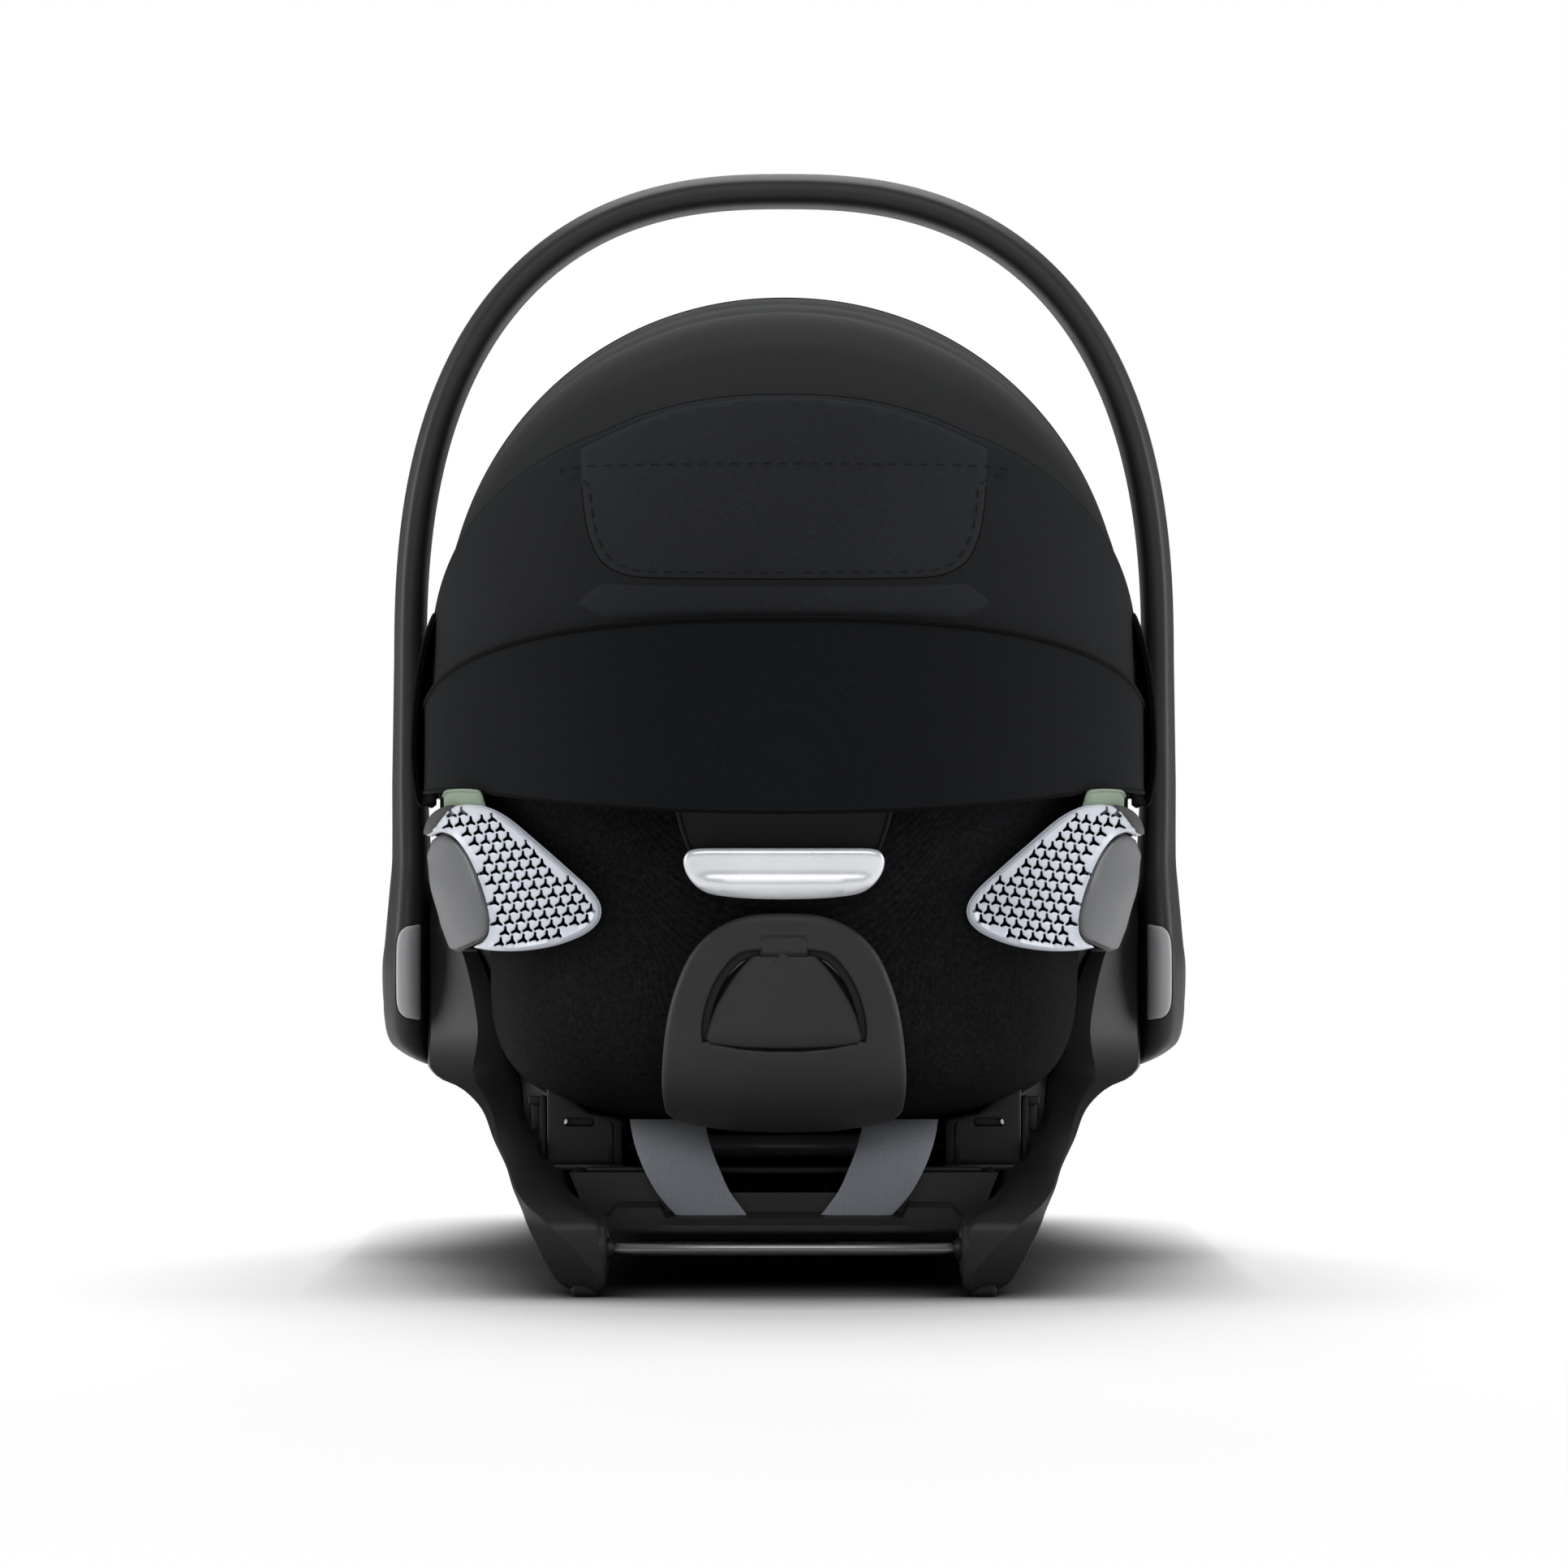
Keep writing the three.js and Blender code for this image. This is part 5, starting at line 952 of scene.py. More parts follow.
pan_parts = [
    pan_wall(PAN_REAR, -234, rear_top, 33.0),
    pan_wall(PAN_FRONT, 204, lambda x: 58.0, 27.0),
    pan_side,
    mirrored(pan_side),
    pan_floor,
    lip_part(),
    *rib_sets,
]
dressed(made("base_pan", *joined(*pan_parts), "frame", 30), "carrier", "frame", "base_pan")

# Recline brackets, cross tube and their small parts

TUBE_Y, TUBE_Z = -150, 66.7


BRACKET = [(83, 58.6), (121.4, 58.6), (121.4, 99), (114, 97), (100, 86), (83, 82.5)]
BRACKET_SLOT = [
    (98, 78.6), (111.5, 78.6), (112.6, 80), (112.6, 81.2), (111.5, 82.6), (98, 82.6), (96.9, 81.2), (96.9, 80),
]


def bracket_part():
    body = plate(
        BRACKET,
        [BRACKET_SLOT],
        lambda p, d: (p[0], -186 + d, p[1]),
        lambda p: (p[0], -140, p[1]),
        rounding=1.4,
        step=1.5,
        hole_rounding=0.4,
    )
    floor_plate = rounded_box(95, 115, -180, -178, 76, 85, 0.4, 2)
    rib = rounded_box(87.4, 89.4, -189.4, -184, 58.6, 80, 0.7, 2)
    ledge = rounded_box(82, 122.4, -189, -150, 55.6, 59.2, 1.1, 2)
    return joined(body, floor_plate, rib, ledge)


pair("recline_bracket", bracket_part(), "frame", "carrier", ["recline_bracket_{side}"], slot="black_plastic")
pin = tube([(112.4, -180, 81), (112.4, -184.6, 81), (112.4, -185.2, 81)], 1.5, 20)
pair("bracket_pin", pin, "silver", "carrier", slot="silver")
upright = joined(
    rounded_box(121.8, 125.2, -184, -176, 52, 94, 1.0, 2),
    rounded_box(124.0, 129.5, -178, -172, 76, 93, 1.2, 2),
    rounded_box(122.5, 131.0, -181, -176, 89.5, 93.5, 0.9, 2),
)
pair("bracket_upright", upright, "black", "carrier", slot="black_plastic")
cross = made("cross_tube", *bar_x(6, -91, 91, TUBE_Y, TUBE_Z, 48), "tube", 60)
dressed(cross, "carrier", "steel", "cross_tube")
bushes = joined(bar_x(8.2, 76.5, 83.5, TUBE_Y, TUBE_Z, 40, 1.2), bar_x(7.2, 72.5, 77, TUBE_Y, TUBE_Z, 40, 1.0))
pair("tube_bush", bushes, "black", "carrier", slot="black_plastic")
# black boxes across the pan, set where they keep the view through the gaps under the seat dark: dark pieces
# standing in for the shade there
shade_web = joined(
    rounded_box(-84, 84, -236, -228, 44, 47.5, 1.0, 2),
    rounded_box(-100, 100, -216, -208, 56, 59.5, 1.2, 2),
    rounded_box(-104, 104, 98, 102, 30, 78, 1.2, 2),
    rounded_box(-120, -104, 60, 102, 50, 88, 1.2, 2),
    rounded_box(104, 120, 60, 102, 50, 88, 1.2, 2),
)
dressed(made("pan_cross_web", *shade_web, "black", 40), "carrier", "black_plastic")
repainted("steel", "recline_roller_shaft", "hub_pin_left", "hub_pin_right")
repainted("black", "recline_rocker_left", "recline_rocker_right")

# Rear straps, from the seat down to the pan's lip

# share of the height, then the outer and the inner edge in units of 32 mm
STRAP_ROWS = [
    (1, 2.44, 1.26), (0.78, 2.35, 1.17), (0.52, 2.2, 1.02), (0.27, 2.0, 0.85), (0.1, 1.8, 0.67), (0, 1.66, 0.56),
]
STRAP_UNIT, STRAP_LOW_Z, STRAP_HIGH_Z = 32, 36.4, 83.4


def rear_strap_part():
    keys = np.array(STRAP_ROWS)[::-1]
    profile = [(s, 0.8 * (1 - abs(2 * s - 1) ** 8)) for s in np.linspace(0, 1, 21)]
    rings = []
    for t in np.linspace(0, 1, 40):
        out_x, in_x = (float(monotone(keys[:, 0], keys[:, k], t)) * STRAP_UNIT for k in (1, 2))
        z = STRAP_LOW_Z + (STRAP_HIGH_Z - STRAP_LOW_Z) * t
        y = -243.5 + 31.5 * t**5
        front = [(in_x + (out_x - in_x) * s, y - 0.1 - b, z) for s, b in profile]
        back = [(in_x + (out_x - in_x) * s, y + 0.7, z) for s, _ in profile]
        rings.append(front + back[::-1])
    return loft(rings)


for side, part in (("right", rear_strap_part()), ("left", mirrored(rear_strap_part()))):
    strap = made(f"rear_strap_{side}", *part, "webbing", 50)
    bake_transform(strap)
    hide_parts(f"rear_strap_{side}")

# ---------------------------------------------------------------- handle

PODS = np.array(
    [
        (1.35, 0.12, 0.845, 0.5),
        (1, 0.045, 0.835, 0.62),
        (0.82, 0, 0.885, 0.8),
        (0.66, 0, 0.94, 0.93),
        (0.46, 0, 1, 1),
        (0.28, 0, 0.995, 0.95),
        (0.17, 0, 0.95, 0.84),
        (0.11, 0, 0.86, 0.74),
        (0.06, 0, 0.62, 0.6),
        (0.025, 0, 0.36, 0.42),
        (0, 0, 0.12, 0.2),
    ]
)[::-1]
SECTION_POWER = 0.66
POD_LOW, POD_TALL, POD_X, POD_THICK, POD_DEEP = 103.5, 114.5, 194.1, 25.6, 46


def pod_row(z):
    """Inner side, outer side and half depth of the handle's pod at a height."""
    share = (z - POD_LOW) / POD_TALL
    inner, outer, depth = (float(monotone(PODS[:, 0], PODS[:, k], share)) for k in (1, 2, 3))
    return POD_X + POD_THICK * inner, POD_X + POD_THICK * outer, POD_DEEP * depth


def pod_rear(x, z):
    inner, outer, depth = pod_row(z)
    t = min(1.0, abs((x - (inner + outer) / 2) / ((outer - inner) / 2)))
    return -depth * (1 - t ** (2 / SECTION_POWER)) ** (SECTION_POWER / 2)


def handle_ring(centre, across, half_thick, half_deep, count=44):
    """Section of the handle: rounded, with a soft chamfer along its outer edges."""
    ring = []
    for k in range(count):
        turn = 2 * math.pi * k / count
        c, s = math.cos(turn), math.sin(turn)
        out = half_thick * spow(c, SECTION_POWER)
        deep = half_deep * spow(s, SECTION_POWER)
        chamfer = smooth((out / half_thick - 0.1) / 0.9) * smooth((abs(deep) / half_deep - 0.45) / 0.55)
        deep *= 1 - 0.2 * chamfer
        lip = math.exp(-(((out / half_thick) + 0.72) / 0.16) ** 2) * smooth((abs(deep) / half_deep - 0.7) / 0.2)
        deep *= 1 + 0.035 * lip
        ring.append(tuple(np.array(centre) + np.array(across) * out + np.array((0, deep, 0))))
    return ring


ARCH_HALF, ARCH_TOP, ARCH_FOOT = 214.8 - 8.5, 594.6 - 9, 326


def handle_path(share):
    turn = share * math.pi
    x = ARCH_HALF * spow(math.cos(turn), 0.8)
    return np.array((x, 0, ARCH_FOOT + (ARCH_TOP - ARCH_FOOT) * math.sin(turn) ** 0.8))


handle_rings = []
for z in np.concatenate([np.linspace(POD_LOW, 118, 14), np.linspace(120.5, 258, 44)]):
    inner, outer, depth = pod_row(z)
    handle_rings.append(handle_ring(((inner + outer) / 2, 0, z), (1, 0, 0), (outer - inner) / 2, depth))
arch = []
for i in range(121):
    share = i / 120
    along = handle_path(min(1, share + 0.004)) - handle_path(max(0, share - 0.004))
    along /= np.linalg.norm(along)
    grip = math.sin(share * math.pi) ** 2
    arch.append(handle_ring(handle_path(share), -np.cross(along, (0, 1, 0)), (17 + grip) / 2, (46 - 12 * grip) / 2))
left_rings = [[(-x, y, z) for x, y, z in ring] for ring in handle_rings]
handle = made("handle_arch", *loft(handle_rings + arch + left_rings[::-1]), "housing", 40)
dressed(handle, "handle", "housing", "handle_arch")


def d_shape(grow):
    """The release button's outline: straight on its inner side."""
    x0, x1, z0, z1 = 197.4 - grow, 210.1 + grow, 128.6 - grow, 180.6 + grow
    w, h = x1 - x0, (z1 - z0) / 2
    points = [(x0, z0 + 1.2)]
    for t in np.linspace(-1, 1, 41):
        x = x0 + w * (1 - abs(t) ** 6.5) ** (1 / 2.4)
        points.append((max(x, x0 + 0.3), (z0 + z1) / 2 + h * t))
    points.append((x0, z1 - 1.2))
    return points


button = plate(
    d_shape(0),
    [],
    lambda p, d: (p[0], pod_rear(p[0], p[1]) - 2.2 + d, p[1]),
    lambda p: (p[0], -36, p[1]),
    rounding=1.5,
    spacing=2.2,
    step=1.0,
    crown=domed(0.9, 6, 0.7),
)
# a black plate just over the pod round the button: painted shade standing in for the shadow in the groove round it
gap = plate(
    d_shape(0.75),
    [],
    lambda p, d: (p[0], pod_rear(p[0], p[1]) - 0.12, p[1]),
    lambda p: (p[0], pod_rear(p[0], p[1]) + 3, p[1]),
    rounding=0,
    spacing=3,
    step=1.2,
)
pair("handle_button", button, "button", "handle_release_{side}", ["handle_button_{side}"], slot="button_grey")
pair("handle_button_gap", gap, "black", "handle", slot="black_plastic")


def pod_disc():
    """A shallow round cap on the pod's outer side, over the hub pin."""
    rings = []
    for r, up in ((0.2, 0.9), (8, 0.9), (15, 0.7), (18.5, 0.45), (19.5, 0.0), (19.5, -3)):
        ring = []
        for k in range(64):
            a = 2 * math.pi * k / 64
            y, z = r * math.cos(a), HUB_Z + r * math.sin(a)
            inner, outer, depth = pod_row(z)
            t = min(1.0, abs(y) / depth)
            x = (inner + outer) / 2 + (outer - inner) / 2 * (1 - t ** (2 / SECTION_POWER)) ** (SECTION_POWER / 2)
            ring.append((x + up, y, z))
        rings.append(ring)
    return loft(rings)


pair("hub_cap", pod_disc(), "housing", "handle", slot="housing")

# ---------------------------------------------------------------- seat shell and its rear cover

all_turns = np.linspace(0, 2 * math.pi, 145)[:-1]
low_shares = [1 - (1 - t**BELLY_POWER) ** (1 / BELLY_POWER) for t in np.linspace(0.999, 0.04, 34)]
low_levels = [BOTTOM + (BELLY - BOTTOM) * share for share in low_shares]
low_levels = sorted(set(round(v, 3) for v in low_levels))


def drawn_in(turn, z):
    """The shell's upper edge at the back lies a little deeper, which leaves room for the folded canopy."""
    return -2.7 * smooth((z - 256) / 12) * smooth((-math.sin(turn) - 0.05) / 0.3)


def shell_part():
    rings = [[bowl_point(t, max(z, BOTTOM + 0.02), 0) for t in all_turns] for z in low_levels]
    for share in np.linspace(0.03, 1, 26):
        ring = []
        for t in all_turns:
            z = BELLY + (rim_at(t, 0) - 0.8 - BELLY) * share
            ring.append(bowl_point(t, z, drawn_in(t, z)))
        rings.append(ring)
    for out, down in ((-0.6, 0), (-3.2, 0), (-3.8, 0.8), (-4, 3), (-4, 30), (-4, 60)):
        ring = []
        for t in all_turns:
            z = rim_at(t, out)
            ring.append(bowl_point(t, z - down, min(out, drawn_in(t, z) - 0.4)))
        rings.append(ring)
    verts, faces = loft(rings, caps=False)
    faces.append(tuple(range(len(all_turns)))[::-1])
    return verts, faces


shell = dressed(made("seat_shell", *shell_part(), "shell", 40), "seat", "shell", "seat_shell")
rim_line = [bowl_point(t, rim_at(t, 0.4) + 0.6, 0.1 + 1.8 * drawn_in(t, rim_at(t, 0))) for t in all_turns]
dressed(made("shell_rim", *tube(rim_line, 2.1, 12, closed=True), "shell", 60), "seat", "shell")

back_turns = np.linspace(-math.pi - 0.16, 0.16, 181)


def cover_part():
    """The fabric over the seat's back, slightly full between its edges."""
    levels = [82.6, 83.4, 85, 87, 90, 93.5, 97.5, 102, 107, 112, 118, 125, 133, 142, 152, 162]
    levels += list(np.linspace(170, 253.5, 22))
    rows = [(z, 2.6 + 0.5 * smooth((z - 84) / 20)) for z in levels] + [(254.3, 2.6), (254.6, 1.6), (254.6, 0.3)]
    return sheet_faces([[bowl_point(t, z, out) for t in back_turns] for z, out in rows])


CLOTH_THICK = 0.0012


def thickened(piece, offset):
    """Gives a cloth its thickness, all inside its face (offset -1) or half on each side (0)."""
    thick = piece.modifiers.new("thick", "SOLIDIFY")
    thick.thickness = CLOTH_THICK
    thick.offset = offset


def declared_sheet(piece, flat, **words):
    """Works out a cloth's flat length from its real area where the cut isn't a rectangle; the result is not kept.
    """
    area = sum(p.area for p in piece.data.polygons)
    width, length = flat
    if area > width * length:
        length = area / width


cover = made("back_cover", *cover_part(), "cover", 60)
for vertex in cover.data.vertices:
    x, _, z = (c / MM for c in vertex.co)
    wobble = 0.35 * math.sin(x * 0.047 + z * 0.021) * math.sin(z * 0.055 + 1.3)
    vertex.co += Vector((x * 0.3, -1, 0)).normalized() * wobble * MM
dressed(cover, "seat", "cover_fabric", "back_cover")
declared_sheet(cover, (0.72, 0.27), held="stretched", rests_on=[shell])
thickened(cover, -1)

hem_low = tube([bowl_point(t, 82.4, 2.4) for t in back_turns], 1.5, 10)
hem_up = tube([bowl_point(t, 254.2, 1.9) for t in back_turns], 1.3, 10)
side_seams = [
    tube([bowl_point(t, z, 2.9) for z in np.linspace(84, 254, 60)], 1.1, 8) for t in (-math.pi - 0.15, 0.15)
]
dressed(made("back_cover_hem", *joined(hem_low, hem_up, *side_seams), "piping", 60), "seat", "cover_fabric")

# Recess and recline handle

recess_skin = Skin(215, 3.0)


def picture(points, out, wide=0.0):
    return [on_seat(u, v, out, wide) for u, v in points]


def both(points):
    """Left-hand picture points, then their mirror images, as one loop."""
    other = [(2 * CENTRE_U - u, v) for u, v in reversed(points)]
    return points + [q for q in other if abs(q[0] - CENTRE_U) > 0.4]


def opening(x, half, low, high):
    return [(x - half, low), (x + half, low), (x + half, high), (x - half, high)]


STEM_X = 33
RECESS_SIDE = [(833, 985), (836, 1005), (843, 1030), (851, 1050)]
recess_loop = picture(both([(965, 985), *RECESS_SIDE, (965, 1052)]), 3)
stem_openings = [opening(x, 8.4, 202.4, 213.6) for x in (-STEM_X, STEM_X)]
recess = recess_skin.plate(recess_loop, stem_openings, 3.9, 0.6, rounding=0.8, spacing=5, crown=domed(-0.6, 14))
dressed(made("recline_recess", *recess, "smooth", 40), "seat", "smooth_trim", "recline_recess")
lip_points = [recess_skin.space(p, 4.6) for p in recess_skin.flat(spline(picture(RECESS_SIDE, 3), 24))]
recess_lip = tube(lip_points, 1.0, 8)
recess_lips = joined(recess_lip, tube([(-x, y, z) for x, y, z in lip_points], 1.0, 8))
dressed(made("recline_recess_lip", *recess_lips, "smooth", 60), "seat", "smooth_trim")

GRIP_EDGE = [
    (965, 1045), (900, 1045), (865, 1045.2), (850, 1047.5), (843.5, 1053), (841, 1061), (842.5, 1071), (848, 1082),
    (858, 1093), (873, 1101), (900, 1105.5), (932, 1107.6), (965, 1108.2),
]
grip_loop = picture([tuple(p) for p in spline(both(GRIP_EDGE), 150, closed=True)], 16)
grip_skin = Skin(207, 16)


def grip_rise(flat, d):
    """A roll along the lower half and a shallow hollow above it."""
    t = (flat[:, 1] - flat[:, 1].min()) / np.ptp(flat[:, 1])
    roll = 2.8 * np.exp(-(((t - 0.27) / 0.17) ** 2)) * np.clip(1.25 - (np.abs(flat[:, 0]) / 50) ** 4, 0, 1)
    return (roll + 0.9 * np.clip((t - 0.55) / 0.4, 0, 1) ** 1.5) * np.clip(d / 4, 0, 1)


grip = grip_skin.plate(grip_loop, [], 17.0, 8.8, rounding=2.6, spacing=3.2, step=1.6, crown=grip_rise)
dressed(made("recline_handle", *grip, "silver", 50), "recline_grip", "silver", "recline_handle")
stems = [
    grip_skin.plate(opening(x, 7, 204, 212), [], 10, 4.4, rounding=0.5, spacing=4) for x in (-STEM_X, STEM_X)
]
dressed(made("recline_handle_stems", *joined(*stems), "black", 40), "recline_grip", "black_plastic")

# Belt plate, hook flap and green lining

# half outlines: shares of the plate's half width and of its height
PLATE_HALF = [
    (0, 1), (0.3, 0.988), (0.56, 0.928), (0.76, 0.818), (0.893, 0.655), (0.965, 0.489),
    (1, 0.29), (0.992, 0.15), (0.95, 0.085), (0.8, 0.045), (0.4, 0.008), (0, 0),
]
MOUTH_HALF = [(0, 0.84), (0.3, 0.83), (0.43, 0.79), (0.56, 0.69), (0.64, 0.57), (0.662, 0.48), (0.655, 0.43)]
FLAP_HALF = [
    (0, 0.818), (0.22, 0.814), (0.275, 0.8), (0.36, 0.748), (0.455, 0.675), (0.555, 0.58),
    (0.613, 0.49), (0.632, 0.445), (0.624, 0.428), (0.55, 0.414), (0.3, 0.402), (0, 0.398),
]
LINER_LIP = [(0.25, 0.818), (0.39, 0.757), (0.496, 0.69), (0.558, 0.61), (0.588, 0.55), (0.603, 0.5)]
BELT_HALF, BELT_LOW, BELT_HIGH = 60.5, 78.7, 188.3


def shares_loop(shares, count, grow=0.0):
    tall = BELT_HIGH - BELT_LOW
    pts = [(a * (BELT_HALF + grow), BELT_LOW + tall * b + (grow if b > 0.6 else 0)) for a, b in shares]
    loop = [tuple(p) for p in spline(pts, count)]
    return loop + [(-x, z) for x, z in reversed(loop) if abs(x) > 0.3]


mouth_low = [(-36, 125), (-22, 122.3), (-8, 121.1), (8, 121.1), (22, 122.3), (36, 125)]
mouth_loop = shares_loop(MOUTH_HALF, 46) + mouth_low
belt_skin = Skin(128, 15.8)
belt = belt_skin.plate(
    shares_loop(PLATE_HALF, 90), [mouth_loop], 15.8, 3.0, rounding=3.6, hole_rounding=1.8, spacing=3.4, step=1.8,
    crown=domed(1.4, 16, 0.7),
)
dressed(made("belt_plate", *belt, "plate", 42), "seat", "housing", "belt_plate")


def flap_rise(flat, d):
    """The flap is gently full, most of all along its lower edge."""
    z = flat[:, 1]
    return 1.2 * np.clip(d / 9, 0, 1) ** 0.8 + 0.7 * np.exp(-(((z - 131) / 7) ** 2)) * np.clip(d / 4, 0, 1)


flap = belt_skin.plate(
    shares_loop(FLAP_HALF, 70), [], 16.2, 11.6, rounding=1.6, spacing=2.6, step=1.6, crown=flap_rise
)
TAB = [(-10.8, 168.4), (10.8, 168.4), (11.4, 175.4), (10.4, 176.8), (-10.4, 176.8), (-11.4, 175.4)]
tab = belt_skin.plate(TAB, [], 17.6, 12.6, rounding=1.3, spacing=3, crown=domed(0.5, 3))
tab_edge = tube([belt_skin.space((x, 176.4), 17.4) for x in (-10.6, 0, 10.6)], 0.5, 8)
dressed(made("belt_hook", *joined(flap, tab, tab_edge), "plate", 36), "belt_flap", "housing", "belt_hook")
SOCKET = [(-11.6, 167.4), (11.6, 167.4), (12.1, 176.6), (11.2, 177.6), (-11.2, 177.6), (-12.1, 176.6)]
socket = belt_skin.plate(SOCKET, [], 16.95, 12, rounding=0.4)
dressed(made("belt_plate_socket", *socket, "black", 40), "seat", "black_plastic")
# the lining and the mouth's wall take the near-black green and the lip the half-dark green: painted shade inside
# the mouth
green = belt_skin.plate(shares_loop(MOUTH_HALF, 46, 1.5) + mouth_low, [], 6.6, 3.0, rounding=0.5, spacing=5)
dressed(made("belt_liner", *green, "green_dark", 40), "seat", "green", "belt_liner")
ring_hole = [(x * 0.9, 119 + (z - 119) * 0.9 + 1.5) for x, z in mouth_loop]
mouth_wall = belt_skin.plate(mouth_loop, [ring_hole], 14.2, 3.0, rounding=0.3, hole_rounding=1.2, spacing=3.5)
dressed(made("belt_mouth_wall", *mouth_wall, "green_dark", 40), "seat", "green")
lip_line = spline([(BELT_HALF * a, BELT_LOW + (BELT_HIGH - BELT_LOW) * b) for a, b in LINER_LIP], 40)
lip_tubes = [tube([belt_skin.space((sign * x, z), 12.6) for x, z in lip_line], 0.6, 8) for sign in (1, -1)]
dressed(made("belt_liner_lip", *joined(*lip_tubes), "green_lip", 60), "seat", "green")

# ---------------------------------------------------------------- side impact wings, caps and belt guides

WING_EDGE = [
    (525, 1030), (529, 1019), (535, 1009), (548, 998), (565, 992), (590, 993), (620, 1007), (660, 1039.5),
    (700, 1074), (725, 1097), (737, 1117), (734, 1136), (715, 1152), (680, 1165), (640, 1171.5), (606, 1171.5),
    (583, 1168),
]
WING_INNER = [
    (583, 1166), (596, 1159), (603, 1148), (604, 1131), (600, 1110), (591, 1083),
    (578, 1055), (562, 1034), (546, 1026), (537, 1027), (527, 1032),
]
WING_OUT, WING_WIDE = 12.0, 10
wing_skin = Skin(205, WING_OUT, WING_WIDE)


def right_side(pixels, out=WING_OUT, wide=WING_WIDE):
    """Picture points of the left-hand flank as (x, z) on the right-hand one."""
    return [(-x, z) for x, z in picture(pixels, out, wide)]


def wing_points(pixels, count):
    return [tuple(p) for p in spline(right_side(pixels), count)]


wing_loop = wing_points(WING_EDGE, 96) + wing_points(WING_INNER, 60)[1:-1]


ARM = ((0.26, -0.56), (0.6, -0.46), (0.92, -0.42), (1.0, -0.2), (1.0, 0.2), (0.92, 0.42), (0.6, 0.46), (0.26, 0.56))


def y_hole(centre, size, width, tilt):
    """Three short arms round a thick middle, the lower right one a little longer."""
    points = []
    for k, reach in ((0, 1.0), (1, 0.96), (2, 1.14)):
        a = math.radians(90 + 120 * k) + tilt
        along = np.array((math.cos(a), math.sin(a)))
        side = np.array((-along[1], along[0]))
        for t, w in ARM:
            points.append(tuple(np.array(centre) + along * size * reach * t + side * width * w))
    return points


HOLE_STEP, ROW_STEP, HOLE_MARGIN = 6.05, 5.05, 3.3
wing_flat = wing_skin.flat(wing_loop)
wing_plane = np.array(wing_loop)
centre = wing_plane.mean(0)
hole_field = []
for row in range(-14, 15):
    for column in range(-16, 17):
        a = (column + (0.5 if row % 2 else 0)) * HOLE_STEP
        b = row * ROW_STEP
        hole_field.append((centre[0] + a + 0.14 * b, centre[1] + b - 0.14 * a + 0.0006 * a * (b + 20)))
hole_field = np.array(hole_field)
clear = inside(hole_field, wing_plane) & (polygon_distance(hole_field, [wing_plane]) > HOLE_MARGIN)
holes = [wing_skin.flat(y_hole(p, 2.85, 1.6, 0.04)) for p in hole_field[clear]]


def behind(skin, p, high, low):
    """The point at a lower distance that lies straight behind the upper one, seen along Y."""
    x, _, z = skin.space(p, high)
    half, back, _ = skin.level(z, low)
    ratio = min(0.985, abs(x) / half)
    y = SEAT_Y - back * (1 - ratio**BACK_POWER) ** (1 / BACK_POWER)
    straight = (math.copysign(ratio * half, x), y, z)
    share = smooth((abs(x) / half - 0.93) / 0.055)
    below = skin.space(p, low)
    return tuple(a + (b - a) * share for a, b in zip(straight, below))


def unrolled_plate(skin, outer, hole_loops, high, low, **options):
    return plate(
        outer,
        hole_loops,
        lambda p, d: skin.space(p, high - d) if high - d > low + 0.2 else behind(skin, p, high, low + 0.2),
        lambda p: behind(skin, p, high, low),
        **options,
    )


def wing_rise(flat, d):
    """A raised rim round a face that is slightly hollow."""
    return 1.3 * np.exp(-(((d - 1.8) / 1.6) ** 2)) - 0.9 * np.clip((d - 3) / 12, 0, 1)


def about_middle(loop, factor):
    return loop.mean(0) + (loop - loop.mean(0)) * factor


wing_face = unrolled_plate(
    wing_skin, wing_flat, holes, 12.4, 8.4, rounding=1.7, hole_rounding=0.45, spacing=2.5, step=1.3, crown=wing_rise
)
inner_ring = about_middle(wing_flat, 0.93)
wing_wall = unrolled_plate(wing_skin, wing_flat, [inner_ring], 9.6, 3.1, rounding=0.4, step=2.5)
pair("impact_wing", joined(wing_face, wing_wall), "pale", "seat", ["impact_wing_{side}"], 44, "pale_grey")
backing = unrolled_plate(wing_skin, inner_ring, [], 5.2, 3.2, rounding=0, spacing=7, step=4)
pair("impact_wing_backing", backing, "black", "seat", slot="black_plastic")

CAP_EDGE = [
    (545, 1029.5), (561, 1038), (577, 1058), (589.5, 1086), (598, 1112), (601.5, 1132), (600.5, 1147), (594, 1156),
    (581, 1161.5), (570, 1166.5), (560, 1170.5), (552, 1163), (543, 1147), (533, 1120), (526.5, 1094), (524, 1068),
    (526, 1047), (532, 1034),
]
cap_skin = Skin(205, WING_OUT, lambda z: 10 - 2.6 * smooth((z - 196) / 22) + 0.4 * smooth((190 - z) / 12))
cap_loop = spline([tuple(p) for p in cap_skin.flat(right_side(CAP_EDGE))], 110, closed=True)
cap = unrolled_plate(
    cap_skin, cap_loop, [], 13.0, 3.4, rounding=1.5, spacing=3.2, step=1.6, crown=domed(1.0, 12, 0.8)
)
pair("impact_cap", cap, "cap", "side_cap_{side}", ["impact_cap_{side}"], 50, "brushed_grey")
cap_seat = unrolled_plate(cap_skin, about_middle(cap_loop, 1.03), [], 11.0, 3.2, rounding=0.6, spacing=5, step=2.5)
pair("impact_cap_seat", cap_seat, "black", "seat", slot="black_plastic")
CORNER_EDGE = [
    (526, 1028), (528, 1015), (536, 1002), (548, 994.5), (561, 992),
    (555, 1000), (546, 1009), (539, 1019), (534, 1026),
]
corner = spline([tuple(p) for p in wing_skin.flat(right_side(CORNER_EDGE))], 40, closed=True)
wedge = unrolled_plate(wing_skin, corner, [], 14.2, 9, rounding=1.0, spacing=2.5, step=1.2)
pair("impact_wing_corner", wedge, "plate", "seat", slot="button_grey")

